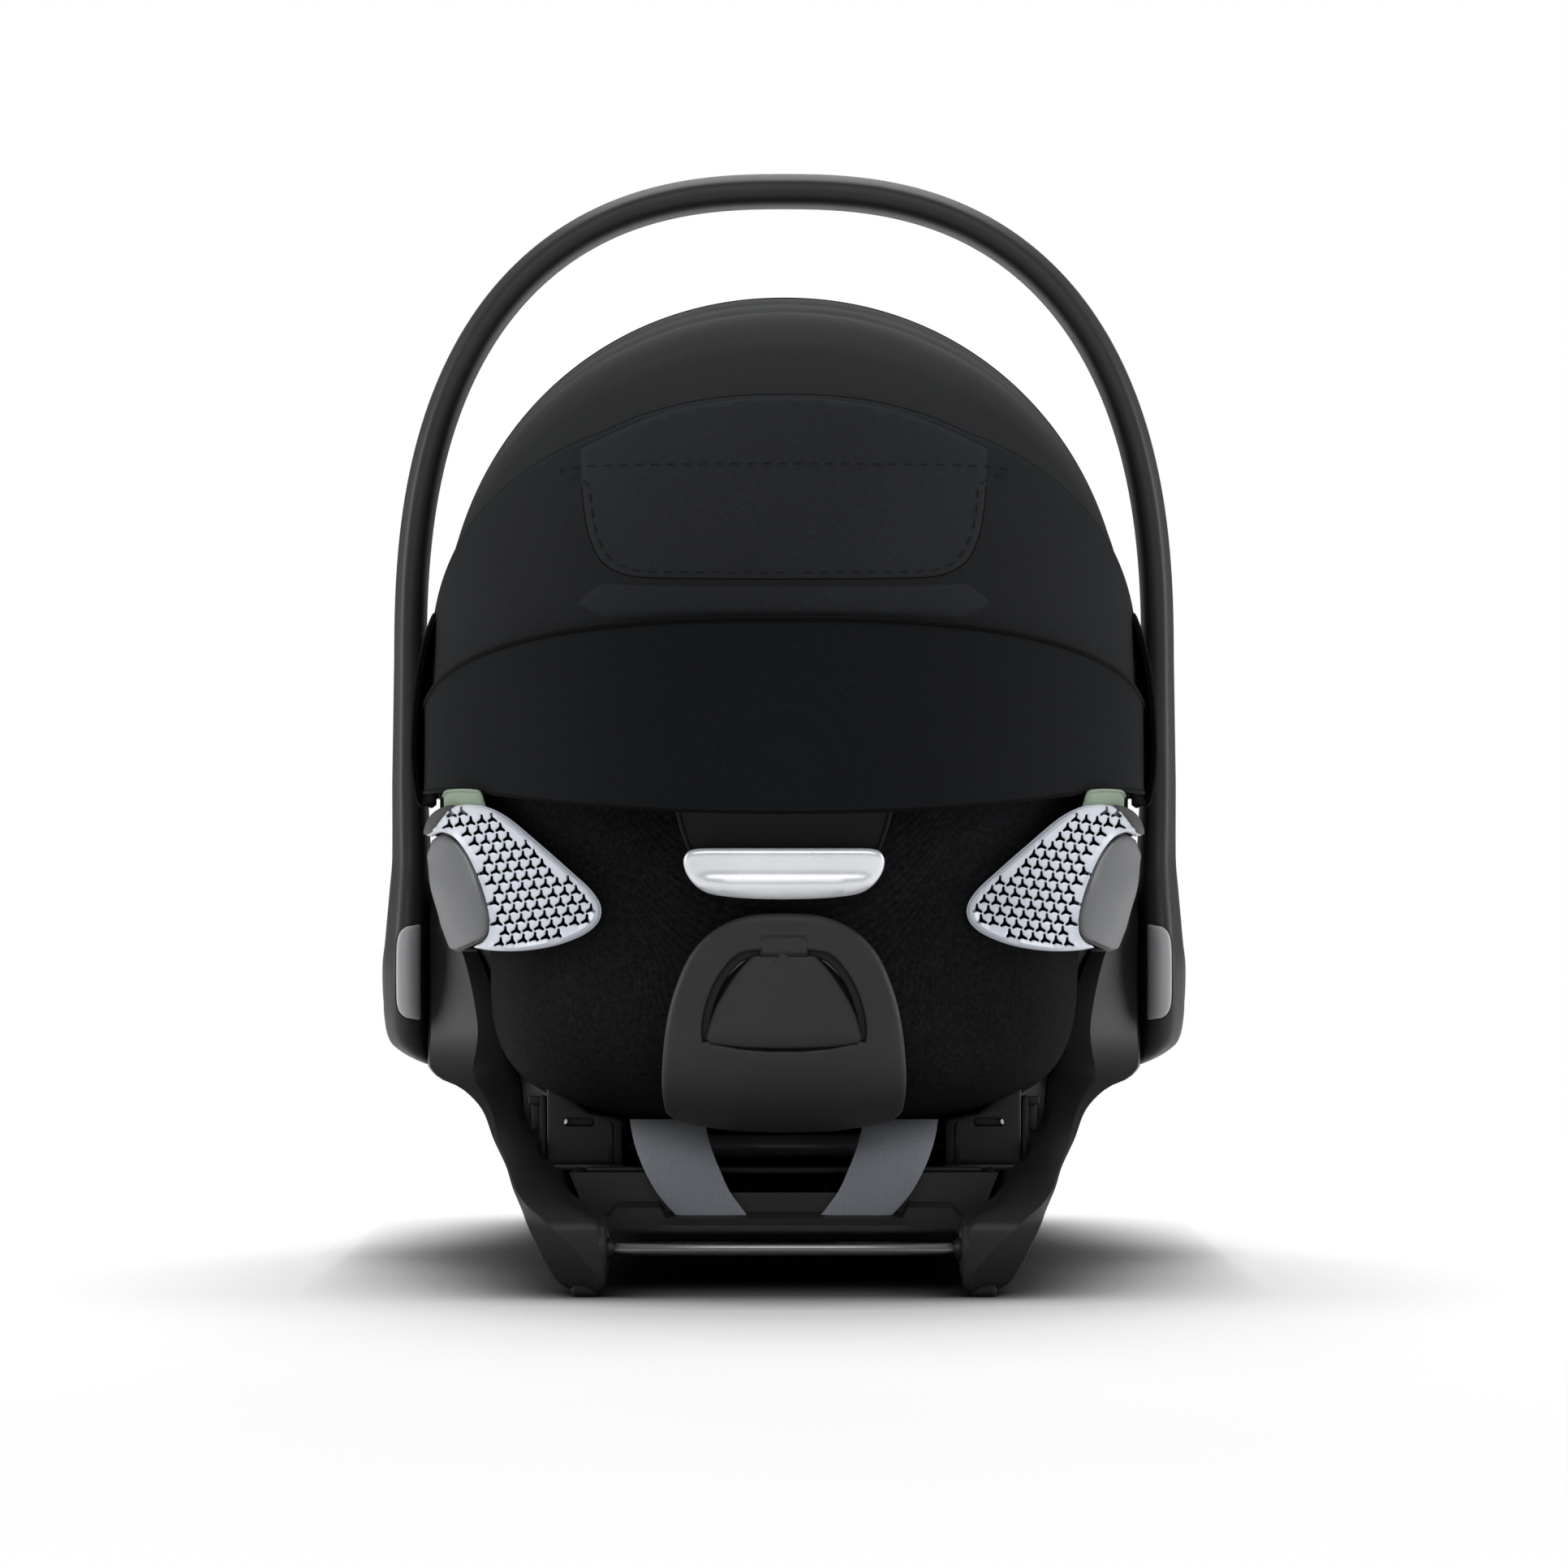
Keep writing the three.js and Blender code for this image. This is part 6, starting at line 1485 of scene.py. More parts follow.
GUIDE_EDGE = [
    (541, 1004), (540, 982), (542, 977), (547, 975), (565, 974), (580, 975), (585, 977.5), (588, 986), (594, 1004),
]
guide_flat = wing_skin.flat(right_side(GUIDE_EDGE, 10, 8))
guide = unrolled_plate(
    wing_skin, guide_flat, [], 9.0, 3.2, rounding=1.3, spacing=2.6, step=1.3, crown=domed(0.5, 4)
)
guide_lip = tube([wing_skin.space(p, 8.6) for p in spline(guide_flat[1:-1], 40)], 0.8, 10)
pair("belt_guide", joined(guide, guide_lip), "green", "seat", ["belt_guide_{side}"], 40, "green")

# ---------------------------------------------------------------- canopy

PIVOT_Y, PIVOT_Z, STRAIGHT, RADIUS = -10, 262, 68, 320
CANOPY_HALF, NEST_STEP = 190, 2.2
FOOT_LOW, FOOT_SHARE = 13 + 2.4, 0.1


def canopy_point(turn, share, radius, half, power):
    """share runs across the canopy from one side's foot (0) to the other's (1)."""
    if share < FOOT_SHARE or share > 1 - FOOT_SHARE:
        near = share / FOOT_SHARE if share < FOOT_SHARE else (1 - share) / FOOT_SHARE
        x = half if share < FOOT_SHARE else -half
        reach = FOOT_LOW + (STRAIGHT - FOOT_LOW) * near
    else:
        swing = math.pi * (share - FOOT_SHARE) / (1 - 2 * FOOT_SHARE)
        x = half * spow(math.cos(swing), 2 / power)
        reach = STRAIGHT + (radius - STRAIGHT) * math.sin(swing) ** (2 / power)
    return np.array((x, PIVOT_Y - reach * math.sin(turn), PIVOT_Z + reach * math.cos(turn)))


# nest, start and stop in degrees, shares of the radius from start to stop, power of the arch
PANELS = {
    "rear": (0, 77.6, 94.3, [1, 0.998, 0.994], 2.6),
    "mid": (1, 54, 77.3, [0.985] * 4, 2.4),
    "upper": (2, 11, 53.7, [0.816, 0.824, 0.851, 0.902, 0.953, 0.977], 2.06),
    "front": (3, -27, 10.7, [0.808, 0.807, 0.806, 0.805, 0.804], 2.0),
}


def hem_height(x, half):
    return min(PIVOT_Z - 6.25, 237.5 + 12.5 * min(1.0, abs(x) / (half * 0.84)) ** 2.2)


SEAM_HIGH = [
    (0, 484), (65.5, 487), (165.5, 507), (252.5, 548), (305.5, 590), (365.5, 650), (420.5, 740), (436, 800),
]


def seam_turn(share):
    """Angle at which the mid panel's upper seam crosses a share of the canopy's width."""
    inner = min(max(share, 0.12), 0.88)
    us, vs = zip(*SEAM_HIGH)
    low = None
    for turn in np.arange(44, 76.6, 0.5):
        x, y, z = canopy_point(math.radians(turn), inner, RADIUS * 0.985, CANOPY_HALF - NEST_STEP, 2.4)
        s = SCALE * (y - CAMERA_Y) / -CAMERA_Y
        u, v = abs(x) / s, HORIZON_V - (z - CAMERA_Z) / s
        gap_here = v - float(monotone(us, vs, u))
        if gap_here > 0 and low is not None:
            return turn - 0.5 * gap_here / (gap_here - low)
        low = gap_here
    return 76.0


SEAM_CAP = 56.0
seam_shares = np.linspace(0, 1, 241)
seam_turns = np.array([seam_turn(t) for t in seam_shares])
smoothing = np.hanning(17)
padded_turns = np.concatenate([[seam_turns[0]] * 8, seam_turns, [seam_turns[-1]] * 8])
seam_turns = np.minimum(np.convolve(padded_turns, smoothing / smoothing.sum(), "valid"), SEAM_CAP)


def panel_point(name, along, share, inset=0.0):
    nest, start, stop, radii, power = PANELS[name]
    half = CANOPY_HALF - nest * NEST_STEP
    radius = RADIUS * float(np.interp(along, np.linspace(0, 1, len(radii)), radii))
    seam = float(np.interp(share, seam_shares, seam_turns))
    if name == "mid":
        start = seam
    if name == "upper":
        stop = seam + 0.3
        half += 0.5 * along
        power += 0.14 * along**2
    turn = math.radians(start + (stop - start) * along)
    point = canopy_point(turn, share, radius - inset, half - inset, power)
    if name == "rear":
        low = hem_height(point[0], half)
        point[2] += (low - point[2]) * smooth((along - 0.35) / 0.65) if along > 0.35 else 0
    return point


def panel_grid(name, rows, columns=170, inset=0.0, sag=0.0):
    """sag pulls the cloth in between its two edges, and in soft waves near its sides."""
    grid = []
    for along in np.linspace(0, 1, rows):
        row = []
        for share in np.linspace(0, 1, columns):
            across = math.sin(math.pi * share)
            pull = sag * math.sin(math.pi * along) * across**0.5
            ripple = 0.4 * sag * math.sin(math.pi * along) * math.sin(share * 23 + along * 3) * (1 - across) ** 0.5
            row.append(panel_point(name, along, share, inset + pull + ripple))
        grid.append(row)
    return grid


# body, look, rows, sag and flat size in metres
CANOPY_BUILD = {
    "rear": ("seat", "drop", 26, 0.4, (0.86, 0.095)),
    "mid": ("canopy_mid", "canopy", 30, 0.4, (0.84, 0.125)),
    "upper": ("canopy_upper", "visor", 44, 0.6, (0.8, 0.25)),
    "front": ("canopy_front", "visor", 40, 1.4, (0.72, 0.175)),
}
mid_mesh = sheet_faces(panel_grid("mid", 44, 300, sag=0.4))
mid_tree = BVHTree.FromPolygons([Vector(v) for v in mid_mesh[0]], mid_mesh[1])
camera_point = Vector((0, CAMERA_Y, CAMERA_Z))


def on_canopy(u, v, raised):
    """The place of the mid panel behind a place of the picture, raised by a distance."""
    x, z = at_depth(u, v, 0)
    direction = (Vector((x, 0, z)) - camera_point).normalized()
    hit, normal, _, _ = mid_tree.ray_cast(camera_point, direction)
    if hit is None:
        hit, normal, _, _ = mid_tree.find_nearest(camera_point + direction * 2350)
    if normal.dot(direction) > 0:
        normal = -normal
    return tuple(hit + normal * raised)


def canopy_patch(points, high, rounding, spacing=9):
    loop = np.array([tuple(p) for p in spline(points, 170, closed=True)])
    return plate(
        loop,
        [],
        lambda p, d: on_canopy(p[0], p[1], max(0.1, high - d)),
        lambda p: on_canopy(p[0], p[1], -0.4),
        rounding=rounding,
        spacing=spacing,
        step=5,
    )


POCKET_SIDE = [(717, 600), (721, 640), (728, 668), (741, 692), (763, 706), (795, 712), (870, 713.5), (965, 714)]
POCKET_EDGE = [(965, 489), (900, 492), (810, 510), (722, 549), (715, 556), (716.5, 600), *POCKET_SIDE[1:]]
BAND_EDGE = [
    (965, 722), (870, 721.5), (790, 720), (748, 719), (735, 722), (712, 742),
    (716, 748), (748, 762), (800, 759), (880, 756), (965, 755),
]
STITCH_LINE = [
    (965, 706), (880, 706), (800, 705), (770, 700), (752, 689), (738, 666), (731, 640), (727, 600), (725, 575),
]
pocket_line = POCKET_SIDE + [(2 * CENTRE_U - u, v) for u, v in POCKET_SIDE[-2::-1]]
pocket_seam = tube([on_canopy(u, v, 0.25) for u, v in spline(pocket_line, 200)], 0.5, 8)
stitch_points = [on_canopy(u, v, 1.35) for u, v in spline(both(STITCH_LINE), 260)]
stitches = joined(*[tube(stitch_points[k : k + 3], 0.32, 6) for k in range(0, 256, 4)])
mid_trims = [
    made("canopy_pocket", *canopy_patch(both(POCKET_EDGE), 1.1, 2.6), "pocket", 60),
    made("canopy_band", *canopy_patch(both(BAND_EDGE), 0.9, 2.0), "pocket", 60),
    made("canopy_pocket_seams", *pocket_seam, "piping", 60),
    made("canopy_pocket_stitches", *stitches, "canopy", 60),
]
for piece in mid_trims:
    dressed(piece, "canopy_mid", "canopy_fabric")

for name, (body, look, rows, sag, flat) in CANOPY_BUILD.items():
    panel = made(f"canopy_{name}_cloth", *sheet_faces(panel_grid(name, rows, sag=sag)), look, 80)
    dressed(panel, body, "canopy_fabric", f"canopy_{name}_panel")
    rests = "canopy_bow_front" if name == "front" else "canopy_bow_mid"
    extra = mid_trims if name == "mid" else []
    declared_sheet(panel, flat, held="stretched", rests_on=[rests], with_pieces=extra)
    thickened(panel, 0)

# the cloth's flank between the canopy's pivots and the shell
FLANK_X = [
    (244, 190.4), (250, 191.4), (262, 192.8), (272, 193.2), (290, 192.6), (312, 190.4), (330, 187.0), (344, 183.4),
]
FLANK_EDGE = [
    (-152, 247), (-100, 245), (-46, 246), (-40, 262), (-52, 292),
    (-78, 322), (-112, 340), (-142, 342), (-156, 320), (-158, 280),
]
flank_loop = spline(FLANK_EDGE, 90, closed=True)


def flank_x(z):
    return float(monotone(*zip(*FLANK_X), z))


flank = plate(
    flank_loop,
    [],
    lambda p, d: (flank_x(p[1]) - d, p[0], p[1]),
    lambda p: (flank_x(p[1]) - 2.4, p[0], p[1]),
    rounding=0.9,
    spacing=6,
    step=3,
)
flank_edge = tube([(flank_x(z) - 0.6, y, z) for y, z in flank_loop], 1.1, 8, closed=True)
pair("canopy_flank", joined(flank, flank_edge), "piping", "seat", sharp=60, slot="canopy_fabric")
repainted("black", "canopy_bow_mid", "canopy_bow_front")


def canopy_seam(name, along, raised, radius):
    return tube([panel_point(name, along, s, -raised) for s in np.linspace(0.0, 1.0, 160)], radius, 10)


for body, look, seams in (
    ("seat", "piping", [("rear", 0.0, 0.2, 1.5), ("rear", 1.0, 0.0, 1.3)]),
    ("canopy_mid", "canopy", [("mid", 0.0, 0.1, 0.7)]),
    ("canopy_upper", "piping", [("upper", 0.0, 0.4, 0.7)]),
    ("canopy_front", "piping", [("front", 0.0, -1.0, 1.7), ("front", 0.1, 0.0, 0.6)]),
):
    seam = made(f"{body}_canopy_seams", *joined(*[canopy_seam(*s) for s in seams]), look, 60)
    dressed(seam, body, "canopy_fabric")

# ---------------------------------------------------------------- the seat's inner side

BACK_TOP, BACK_FOOT = np.array((-268.0, 305.0)), np.array((-110.0, 124.0))
LOWEST, FOOT_END = np.array((0.0, 104.0)), np.array((298.0, 232.0))
LUMBAR = BACK_FOOT + 0.2 * (BACK_FOOT - BACK_TOP)
THIGH = LOWEST + 1.2 * (LOWEST - LUMBAR)
CUSHION, CUSHION_TOP, INSERT, STRAP, STRAP_TOP = 0.6, 12.6, 13.2, 27.6, 29.1


def bezier(a, b, c):
    t = np.linspace(0, 1, 200)[:, None]
    return a * (1 - t) ** 2 + 2 * b * t * (1 - t) + c * t**2


line_points = np.concatenate(
    [
        bezier(BACK_TOP, 0.5 * (BACK_TOP + BACK_FOOT), BACK_FOOT),
        bezier(BACK_FOOT, LUMBAR, LOWEST)[1:],
        bezier(LOWEST, THIGH, FOOT_END)[1:],
    ]
)
line_length = np.concatenate([[0], np.cumsum(np.linalg.norm(np.diff(line_points, axis=0), axis=1))])
LINE = line_length[-1]


def line_at(v):
    return np.array([np.interp(min(1, max(0, v)) * LINE, line_length, line_points[:, k]) for k in (0, 1)])


def line_along(v):
    d = line_at(v + 0.01) - line_at(v - 0.01)
    return d / np.linalg.norm(d)


def shell_half_at(y, z):
    half, back, foot = level(z, -4)
    reach, power = (back, BACK_POWER) if y < SEAT_Y else (foot, FOOT_POWER)
    return half * (1 - min(1.0, abs(y - SEAT_Y) / reach) ** power) ** (1 / power)


line_rows = {}


def liner_row(v):
    key = round(v, 5)
    if key not in line_rows:
        y, z = line_at(v)
        side = rim_height(y) - 11
        half = min(156, shell_half_at(y, z + 0.4 * max(0, side - z)) - 11)
        line_rows[key] = (y, z, max(0.4, line_along(v)[0]), side, half)
    return line_rows[key]


def liner_point(v, u, raised):
    y, z, slope, side, half = liner_row(v)
    low = z + raised / slope
    top = max(side, low)
    swing = u * math.pi / 2
    return ((half - raised) * spow(math.sin(swing), 0.55), y, top - (top - low) * abs(math.cos(swing)) ** 0.7)


def liner_at(v, x, raised):
    ratio = max(-1, min(1, x / (liner_row(v)[4] - raised)))
    return liner_point(v, 2 / math.pi * math.asin(spow(ratio, 1 / 0.55)), raised)


def headrest_point(share, q, raised):
    along = (BACK_FOOT - BACK_TOP) / np.linalg.norm(BACK_FOOT - BACK_TOP)
    off = np.array((-along[1], along[0]))
    swing = q * math.pi / 2
    depth = 74 * (1 - 0.45 * share * share)
    rise = 12 + raised + (depth - raised) * (1 - abs(math.cos(swing)) ** 0.8)
    y, z = BACK_TOP + along * (84 + 112 * share) + off * rise
    return ((108 - raised) * spow(math.sin(swing), 0.7), y, z)


def swollen(piece, held, cap, pressure, frames=20):
    """A short cloth simulation under pressure. Held points stay, and no point moves beyond the cap."""
    before = np.array([v.co[:] for v in piece.data.vertices])
    group = piece.vertex_groups.new(name="held")
    group.add([int(i) for i in held], 1.0, "REPLACE")
    sim = piece.modifiers.new("swell", "CLOTH")
    for setting, value in (
        ("quality", 5),
        ("mass", 0.25),
        ("tension_stiffness", 12),
        ("compression_stiffness", 8),
        ("shear_stiffness", 6),
        ("bending_stiffness", 0.3),
        ("use_pressure", True),
        ("uniform_pressure_force", pressure),
        ("vertex_group_mass", "held"),
    ):
        setattr(sim.settings, setting, value)
    sim.settings.effector_weights.gravity = 0
    sim.collision_settings.use_collision = False
    sim.point_cache.frame_start = 1
    sim.point_cache.frame_end = frames
    scene = bpy.context.scene
    for f in range(1, frames + 1):
        scene.frame_set(f)
    result = piece.evaluated_get(bpy.context.evaluated_depsgraph_get())
    after = np.array([v.co[:] for v in result.data.vertices])
    piece.modifiers.remove(sim)
    piece.vertex_groups.remove(group)
    scene.frame_set(1)
    move = after - before
    size = np.linalg.norm(move, axis=1)[:, None] + 1e-12
    moved = before + move * np.minimum(1, cap * MM / size)
    piece.data.vertices.foreach_set("co", moved.ravel())
    piece.data.update()


class Pad:
    """A stuffed pad on a surface (v, u, raised): full in its middle, drawn in at its rim and its seams."""

    def __init__(
        self, name, material, surface, length, rows, reach, base, height,
        seams=(), edge=14.0, step=5.0, corner=0.12, cap=3.0, valley=0.5, pressure=4.0,
    ):
        v0, v1 = rows
        count = max(6, round(length * (v1 - v0) / step))
        lines = []
        for v in np.linspace(v0, v1, count + 1):
            t = abs(2 * (v - v0) / (v1 - v0) - 1)
            far = reach * (1 - corner * t**6)
            us = np.linspace(-far, far, 121)
            points = np.array([surface(v, u, base) for u in us])
            arc = np.concatenate([[0], np.cumsum(np.linalg.norm(np.diff(points, axis=0), axis=1))])
            lines.append((v, us, arc))
        across = max(6, 2 * round(max(arc[-1] for _, _, arc in lines) / step / 2))
        self.name, self.count, self.across = name, count, across
        total = length * (v1 - v0)
        self.seams = []
        for kind, place, start, stop in seams:
            cells = count if kind == "v" else across
            self.seams.append((kind, round(place * cells) / cells, start, stop))
        verts, held = [], []
        for i, (v, us, arc) in enumerate(lines):
            at = np.linspace(0, arc[-1], across + 1)
            row = np.interp(at, arc, us)
            for j, u in enumerate(row):
                along = total * i / count
                rim = min(along, total - along, at[j], arc[-1] - at[j])
                full = 0.3 + 0.7 * math.sqrt(max(0, 1 - (1 - min(1, rim / edge)) ** 2))
                near = 1e9
                for kind, place, start, stop in self.seams:
                    share, other = (i / count, j / across) if kind == "v" else (j / across, i / count)
                    if start <= other <= stop:
                        near = min(near, abs(share - place) * (total if kind == "v" else arc[-1]))
                full *= 1 - valley * math.exp(-((near / 4.0) ** 2))
                verts.append(surface(v, u, base + height * full))
                if near < 0.4 * step or i in (0, count) or j in (0, across):
                    held.append(len(verts) - 1)
        size = len(verts)
        for v, us, arc in lines:
            row = np.interp(np.linspace(0, arc[-1], across + 1), arc, us)
            verts += [surface(v, u, base) for u in row]
        held += range(size, 2 * size)
        faces = []
        wide = across + 1
        for i in range(count):
            for j in range(across):
                a = i * wide + j
                faces.append((a, a + 1, a + wide + 1, a + wide))
                faces.append((size + a, size + a + wide, size + a + wide + 1, size + a + 1))
        rim_loop = list(range(wide)) + [i * wide + across for i in range(1, count + 1)]
        rim_loop += [count * wide + j for j in range(across - 1, -1, -1)]
        rim_loop += [i * wide for i in range(count - 1, 0, -1)]
        for a, b in zip(rim_loop, rim_loop[1:] + rim_loop[:1]):
            faces.append((b, a, size + a, size + b))
        self.rim_loop = rim_loop
        self.piece = made(name, verts, faces, material, 80)
        swollen(self.piece, held, cap, pressure)
        self.top = np.array([v.co[:] for v in self.piece.data.vertices])[:size].reshape(count + 1, wide, 3) / MM
        finer = self.piece.modifiers.new("finer", "SUBSURF")
        finer.levels = finer.render_levels = 1

    def normal(self, i, j):
        a = self.top[min(i + 1, self.count), j] - self.top[max(i - 1, 0), j]
        b = self.top[i, min(j + 1, self.across)] - self.top[i, max(j - 1, 0)]
        n = np.cross(b, a)
        return n / np.linalg.norm(n) * (1 if n[2] > 0 else -1)

    def path(self, kind, place, start, stop, raised, shift=0.0):
        """Points along a seam, shifted by a share of one cell to either side."""
        points = []
        here, there = (self.count, self.across) if kind == "v" else (self.across, self.count)
        a = round(place * here)
        b = min(here, max(0, a + (1 if shift > 0 else -1)))
        for c in range(math.ceil(start * there), int(stop * there) + 1):
            i, j = (a, c) if kind == "v" else (c, a)
            beside = self.top[b, c] if kind == "v" else self.top[c, b]
            p = self.top[i, j] + (beside - self.top[i, j]) * abs(shift)
            points.append(p + self.normal(i, j) * raised)
        return points

    def trim(self, material, body, piping=1.1):
        parts = []
        for seam in self.seams:
            points = self.path(*seam, 0.15)
            if len(points) > 2:
                parts.append(tube(points, 0.45, 6))
            for shift in (-0.5, 0.5):
                row = spline(self.path(*seam, 0.45, shift), max(8, int(len(points) * 2.4)))
                parts += [tube(row[k : k + 2], 0.26, 5) for k in range(0, len(row) - 1, 2)]
        wide = self.across + 1
        ring = [self.top[a // wide, a % wide] for a in self.rim_loop]
        parts.append(tube(spline(ring, len(ring) * 2, closed=True), piping, 8, closed=True))
        dressed(made(f"{self.name}_seams", *joined(*parts), material, 60), body, "lining")

    def finished(self, body, replaced, fill, piping=1.1):
        """Puts the pad on its body in place of the node that it replaces, and adds its trim; fill is not used."""
        dressed(self.piece, body, "lining", replaced)
        self.trim("piping", body, piping)


def strap_edge(side):
    """Share of a strap's thickness across its width: thinner towards its edges."""
    return 0.45 + 0.55 * math.sqrt(1 - abs(side) ** 4)


def band(places, width, thickness=1.5):
    """A flat strap along (v, x, raised) places, with thinner edges."""
    stops = np.array(places, float)
    rings = []
    for n, (v, x, raised) in enumerate(stops):
        before, after = stops[max(0, n - 1)], stops[min(len(stops) - 1, n + 1)]
        p0, p1 = (np.array(liner_at(*q)) for q in (before, after))
        slant = (after[1] - before[1]) / (np.linalg.norm(p1 - p0) + 1e-9)
        top, low = [], []
        for side in np.linspace(-1, 1, 9):
            dx = side * width / 2 * math.sqrt(max(0.1, 1 - slant * slant))
            dv = -side * width / 2 * slant / LINE
            edge = strap_edge(side)
            top.append(liner_at(v + dv, x + dx, raised + thickness * edge))
            low.append(liner_at(v + dv, x + dx, raised + thickness * (1 - edge) * 0.5))
        rings.append(top + low[::-1])
    return loft(rings)


def stitched(places, width, side, raised):
    """Points beside a strap's edge for a row of stitches."""
    return [liner_at(v, x + side * width / 2, r + raised) for v, x, r in places]


def on_liner(v, raised):
    along = line_along(v)
    off = np.array((-along[1], along[0]))
    y0, z0 = line_at(v) + off * raised
    return lambda x, y, z: (-x, y0 - along[0] * y + off[0] * z, z0 - along[1] * y + off[1] * z)


def soft_rect(half, length, corner, waist=0.0, count=96):
    points = []
    for k in range(count):
        a = 2 * math.pi * k / count
        y = length / 2 * spow(math.sin(a), 2 / corner)
        x = half * spow(math.cos(a), 2 / corner) * (1 - waist * (1 - abs(y) / (length / 2)))
        points.append((x, y))
    return points


def press_parts(v, raised, half, length, height, button_half, button_length, crown, waist):
    """A housing with a pocket for its press button, and the button."""
    put = on_liner(v, raised)
    pocket = soft_rect(button_half + 0.8, button_length + 1.6, 5)

    def case_top(p, d):
        return height - crown * (p[0] / half) ** 2 - 0.6 * crown * (2 * p[1] / length) ** 2 - d

    housing = plate(
        soft_rect(half, length, 4.2, waist),
        [pocket],
        lambda p, d: put(p[0], p[1], case_top(p, d)),
        lambda p: put(p[0], p[1], 0),
        rounding=4.0,
        hole_rounding=1.0,
        spacing=2.4,
        step=1.5,
    )
    button = plate(
        soft_rect(button_half, button_length, 5),
        [],
        lambda p, d: put(p[0], p[1], height + 2 - 1.2 * (p[0] / button_half) ** 2 - d),
        lambda p: put(p[0], p[1], height - 6.5),
        rounding=1.6,
        spacing=2.0,
        step=1.2,
    )
    return housing, button


# the liner under its fabric: the foam's solid with soft edges
lining = bpy.data.objects.new("seat_lining", nodes["foam_liner"].data.copy())
lining.matrix_world = nodes["foam_liner"].matrix_world
bpy.context.scene.collection.objects.link(lining)
voxels = lining.modifiers.new("voxels", "REMESH")
voxels.mode = "VOXEL"
voxels.voxel_size = 0.0045
relaxed = lining.modifiers.new("relaxed", "SMOOTH")
relaxed.iterations = 8
relaxed.factor = 0.5
bpy.context.view_layer.update()
soft_mesh = bpy.data.meshes.new_from_object(lining.evaluated_get(bpy.context.evaluated_depsgraph_get()))
lining.modifiers.clear()
lining.data = soft_mesh
soft_mesh.materials.clear()
soft_mesh.materials.append(M["lining"])
for face in soft_mesh.polygons:
    face.use_smooth = True
dressed(lining, "seat", "lining", "foam_liner")

CUSHION_HIGH = 12.0
cushion_seams = [("u", 0.24, 0.0, 1.0), ("u", 0.76, 0.0, 1.0)]
cushion_seams += [("v", v, 0.24, 0.76) for v in (0.22, 0.33, 0.72, 0.86)]
cushion_seams += [("v", v, start, start + 0.24) for v in (0.3, 0.62) for start in (0.0, 0.76)]
cushion = Pad(
    "seat_cushion_pad", "lining", liner_point, LINE, (1 / 14, 13 / 14), 10 / 12, CUSHION, CUSHION_HIGH,
    seams=cushion_seams, edge=16, step=5.5, cap=2.5,
)
insert = Pad(
    "newborn_insert_pad", "insert", liner_point, LINE, (5 / 14, 10 / 14), 0.5, INSERT, 14.0,
    seams=[("v", 0.36, 0.2, 0.8), ("v", 0.66, 0.2, 0.8), ("u", 0.2, 0.1, 0.9), ("u", 0.8, 0.1, 0.9)],
    edge=18, step=4.5, corner=0.3,
)
headrest = Pad(
    "headrest_cushion", "insert", headrest_point, 112, (0.0, 1.0), 0.808, 3.6, 15.0,
    seams=[("u", 0.27, 0.0, 1.0), ("u", 0.73, 0.0, 1.0), ("v", 0.22, 0.27, 0.73)],
    edge=18, step=4.5, corner=0.1, cap=4.0,
)
cushion.finished("seat", "seat_cushion", 0.7)
insert.finished("seat", "newborn_insert", 0.7)
headrest.finished("headrest", "headrest_pad", 0.8)

# headrest shell with a rolled edge
HEAD_ROWS, HEAD_COLUMNS = np.linspace(0, 1, 30), np.linspace(-0.97, 0.97, 90)
front_grid = [[headrest_point(s, q, 2.6) for q in HEAD_COLUMNS] for s in HEAD_ROWS]
back_grid = [[headrest_point(s, q, 0.2) for q in HEAD_COLUMNS] for s in HEAD_ROWS]
border = [(s, -0.97) for s in HEAD_ROWS] + [(1, q) for q in HEAD_COLUMNS[1:]]
border += [(s, 0.97) for s in HEAD_ROWS[::-1][1:]] + [(0, q) for q in HEAD_COLUMNS[::-1][1:-1]]
rolled = tube(spline([headrest_point(s, q, 1.5) for s, q in border], 300, closed=True), 1.5, 10, closed=True)
head_faces = joined(sheet_faces(front_grid), sheet_faces([r[::-1] for r in back_grid]), rolled)
dressed(made("headrest_frame", *head_faces, "shell", 60), "headrest", "shell", "headrest_shell")

# harness
shoulder_way = [
    (v, 38 - 21 * max(0, (v - 0.36) / 0.185), 13.4 + (STRAP - 13.4) * smooth((v - 0.322) / 0.056))
    for v in np.linspace(0.3, 0.545, 60)
]
lap_way = [(0.52 + 0.018 * smooth((48 - x) / 20), x) for x in np.linspace(31, 122, 40)]
tongue_way = [
    (v, 17 - 5 * smooth((v - 0.54) / 0.03), STRAP + 1.2 + 9 * smooth((v - 0.538) / 0.03))
    for v in np.linspace(0.528, 0.575, 24)
]
tail_way = [(v, 0, CUSHION_TOP + 0.5 + 4.5 * smooth((0.872 - v) / 0.02)) for v in np.linspace(0.855, 0.935, 30)]


def lap_part(width=25, thickness=1.5):
    rows = []
    for v, x in lap_way:
        raised = STRAP - (STRAP - 13.2) * smooth((x - 98) / 16)
        top, low = [], []
        for side in np.linspace(-1, 1, 9):
            at = v + side * width / 2 / LINE
            top.append(liner_at(at, x, raised + thickness * strap_edge(side)))
            low.append(liner_at(at, x, raised))
        rows.append(top + low[::-1])
    return loft(rows)


def slot_part(x):
    """A near-black flat oval on the cushion where a shoulder strap comes out: painted shade standing in for the
    open slot.
    """
    turns = np.linspace(0, 2 * math.pi, 40, endpoint=False)
    return loft(
        [[liner_at(0.298 + 0.004 * math.sin(a), x + 15.5 * math.cos(a), 12.4 + h) for a in turns] for h in (0, 1.2)]
    )


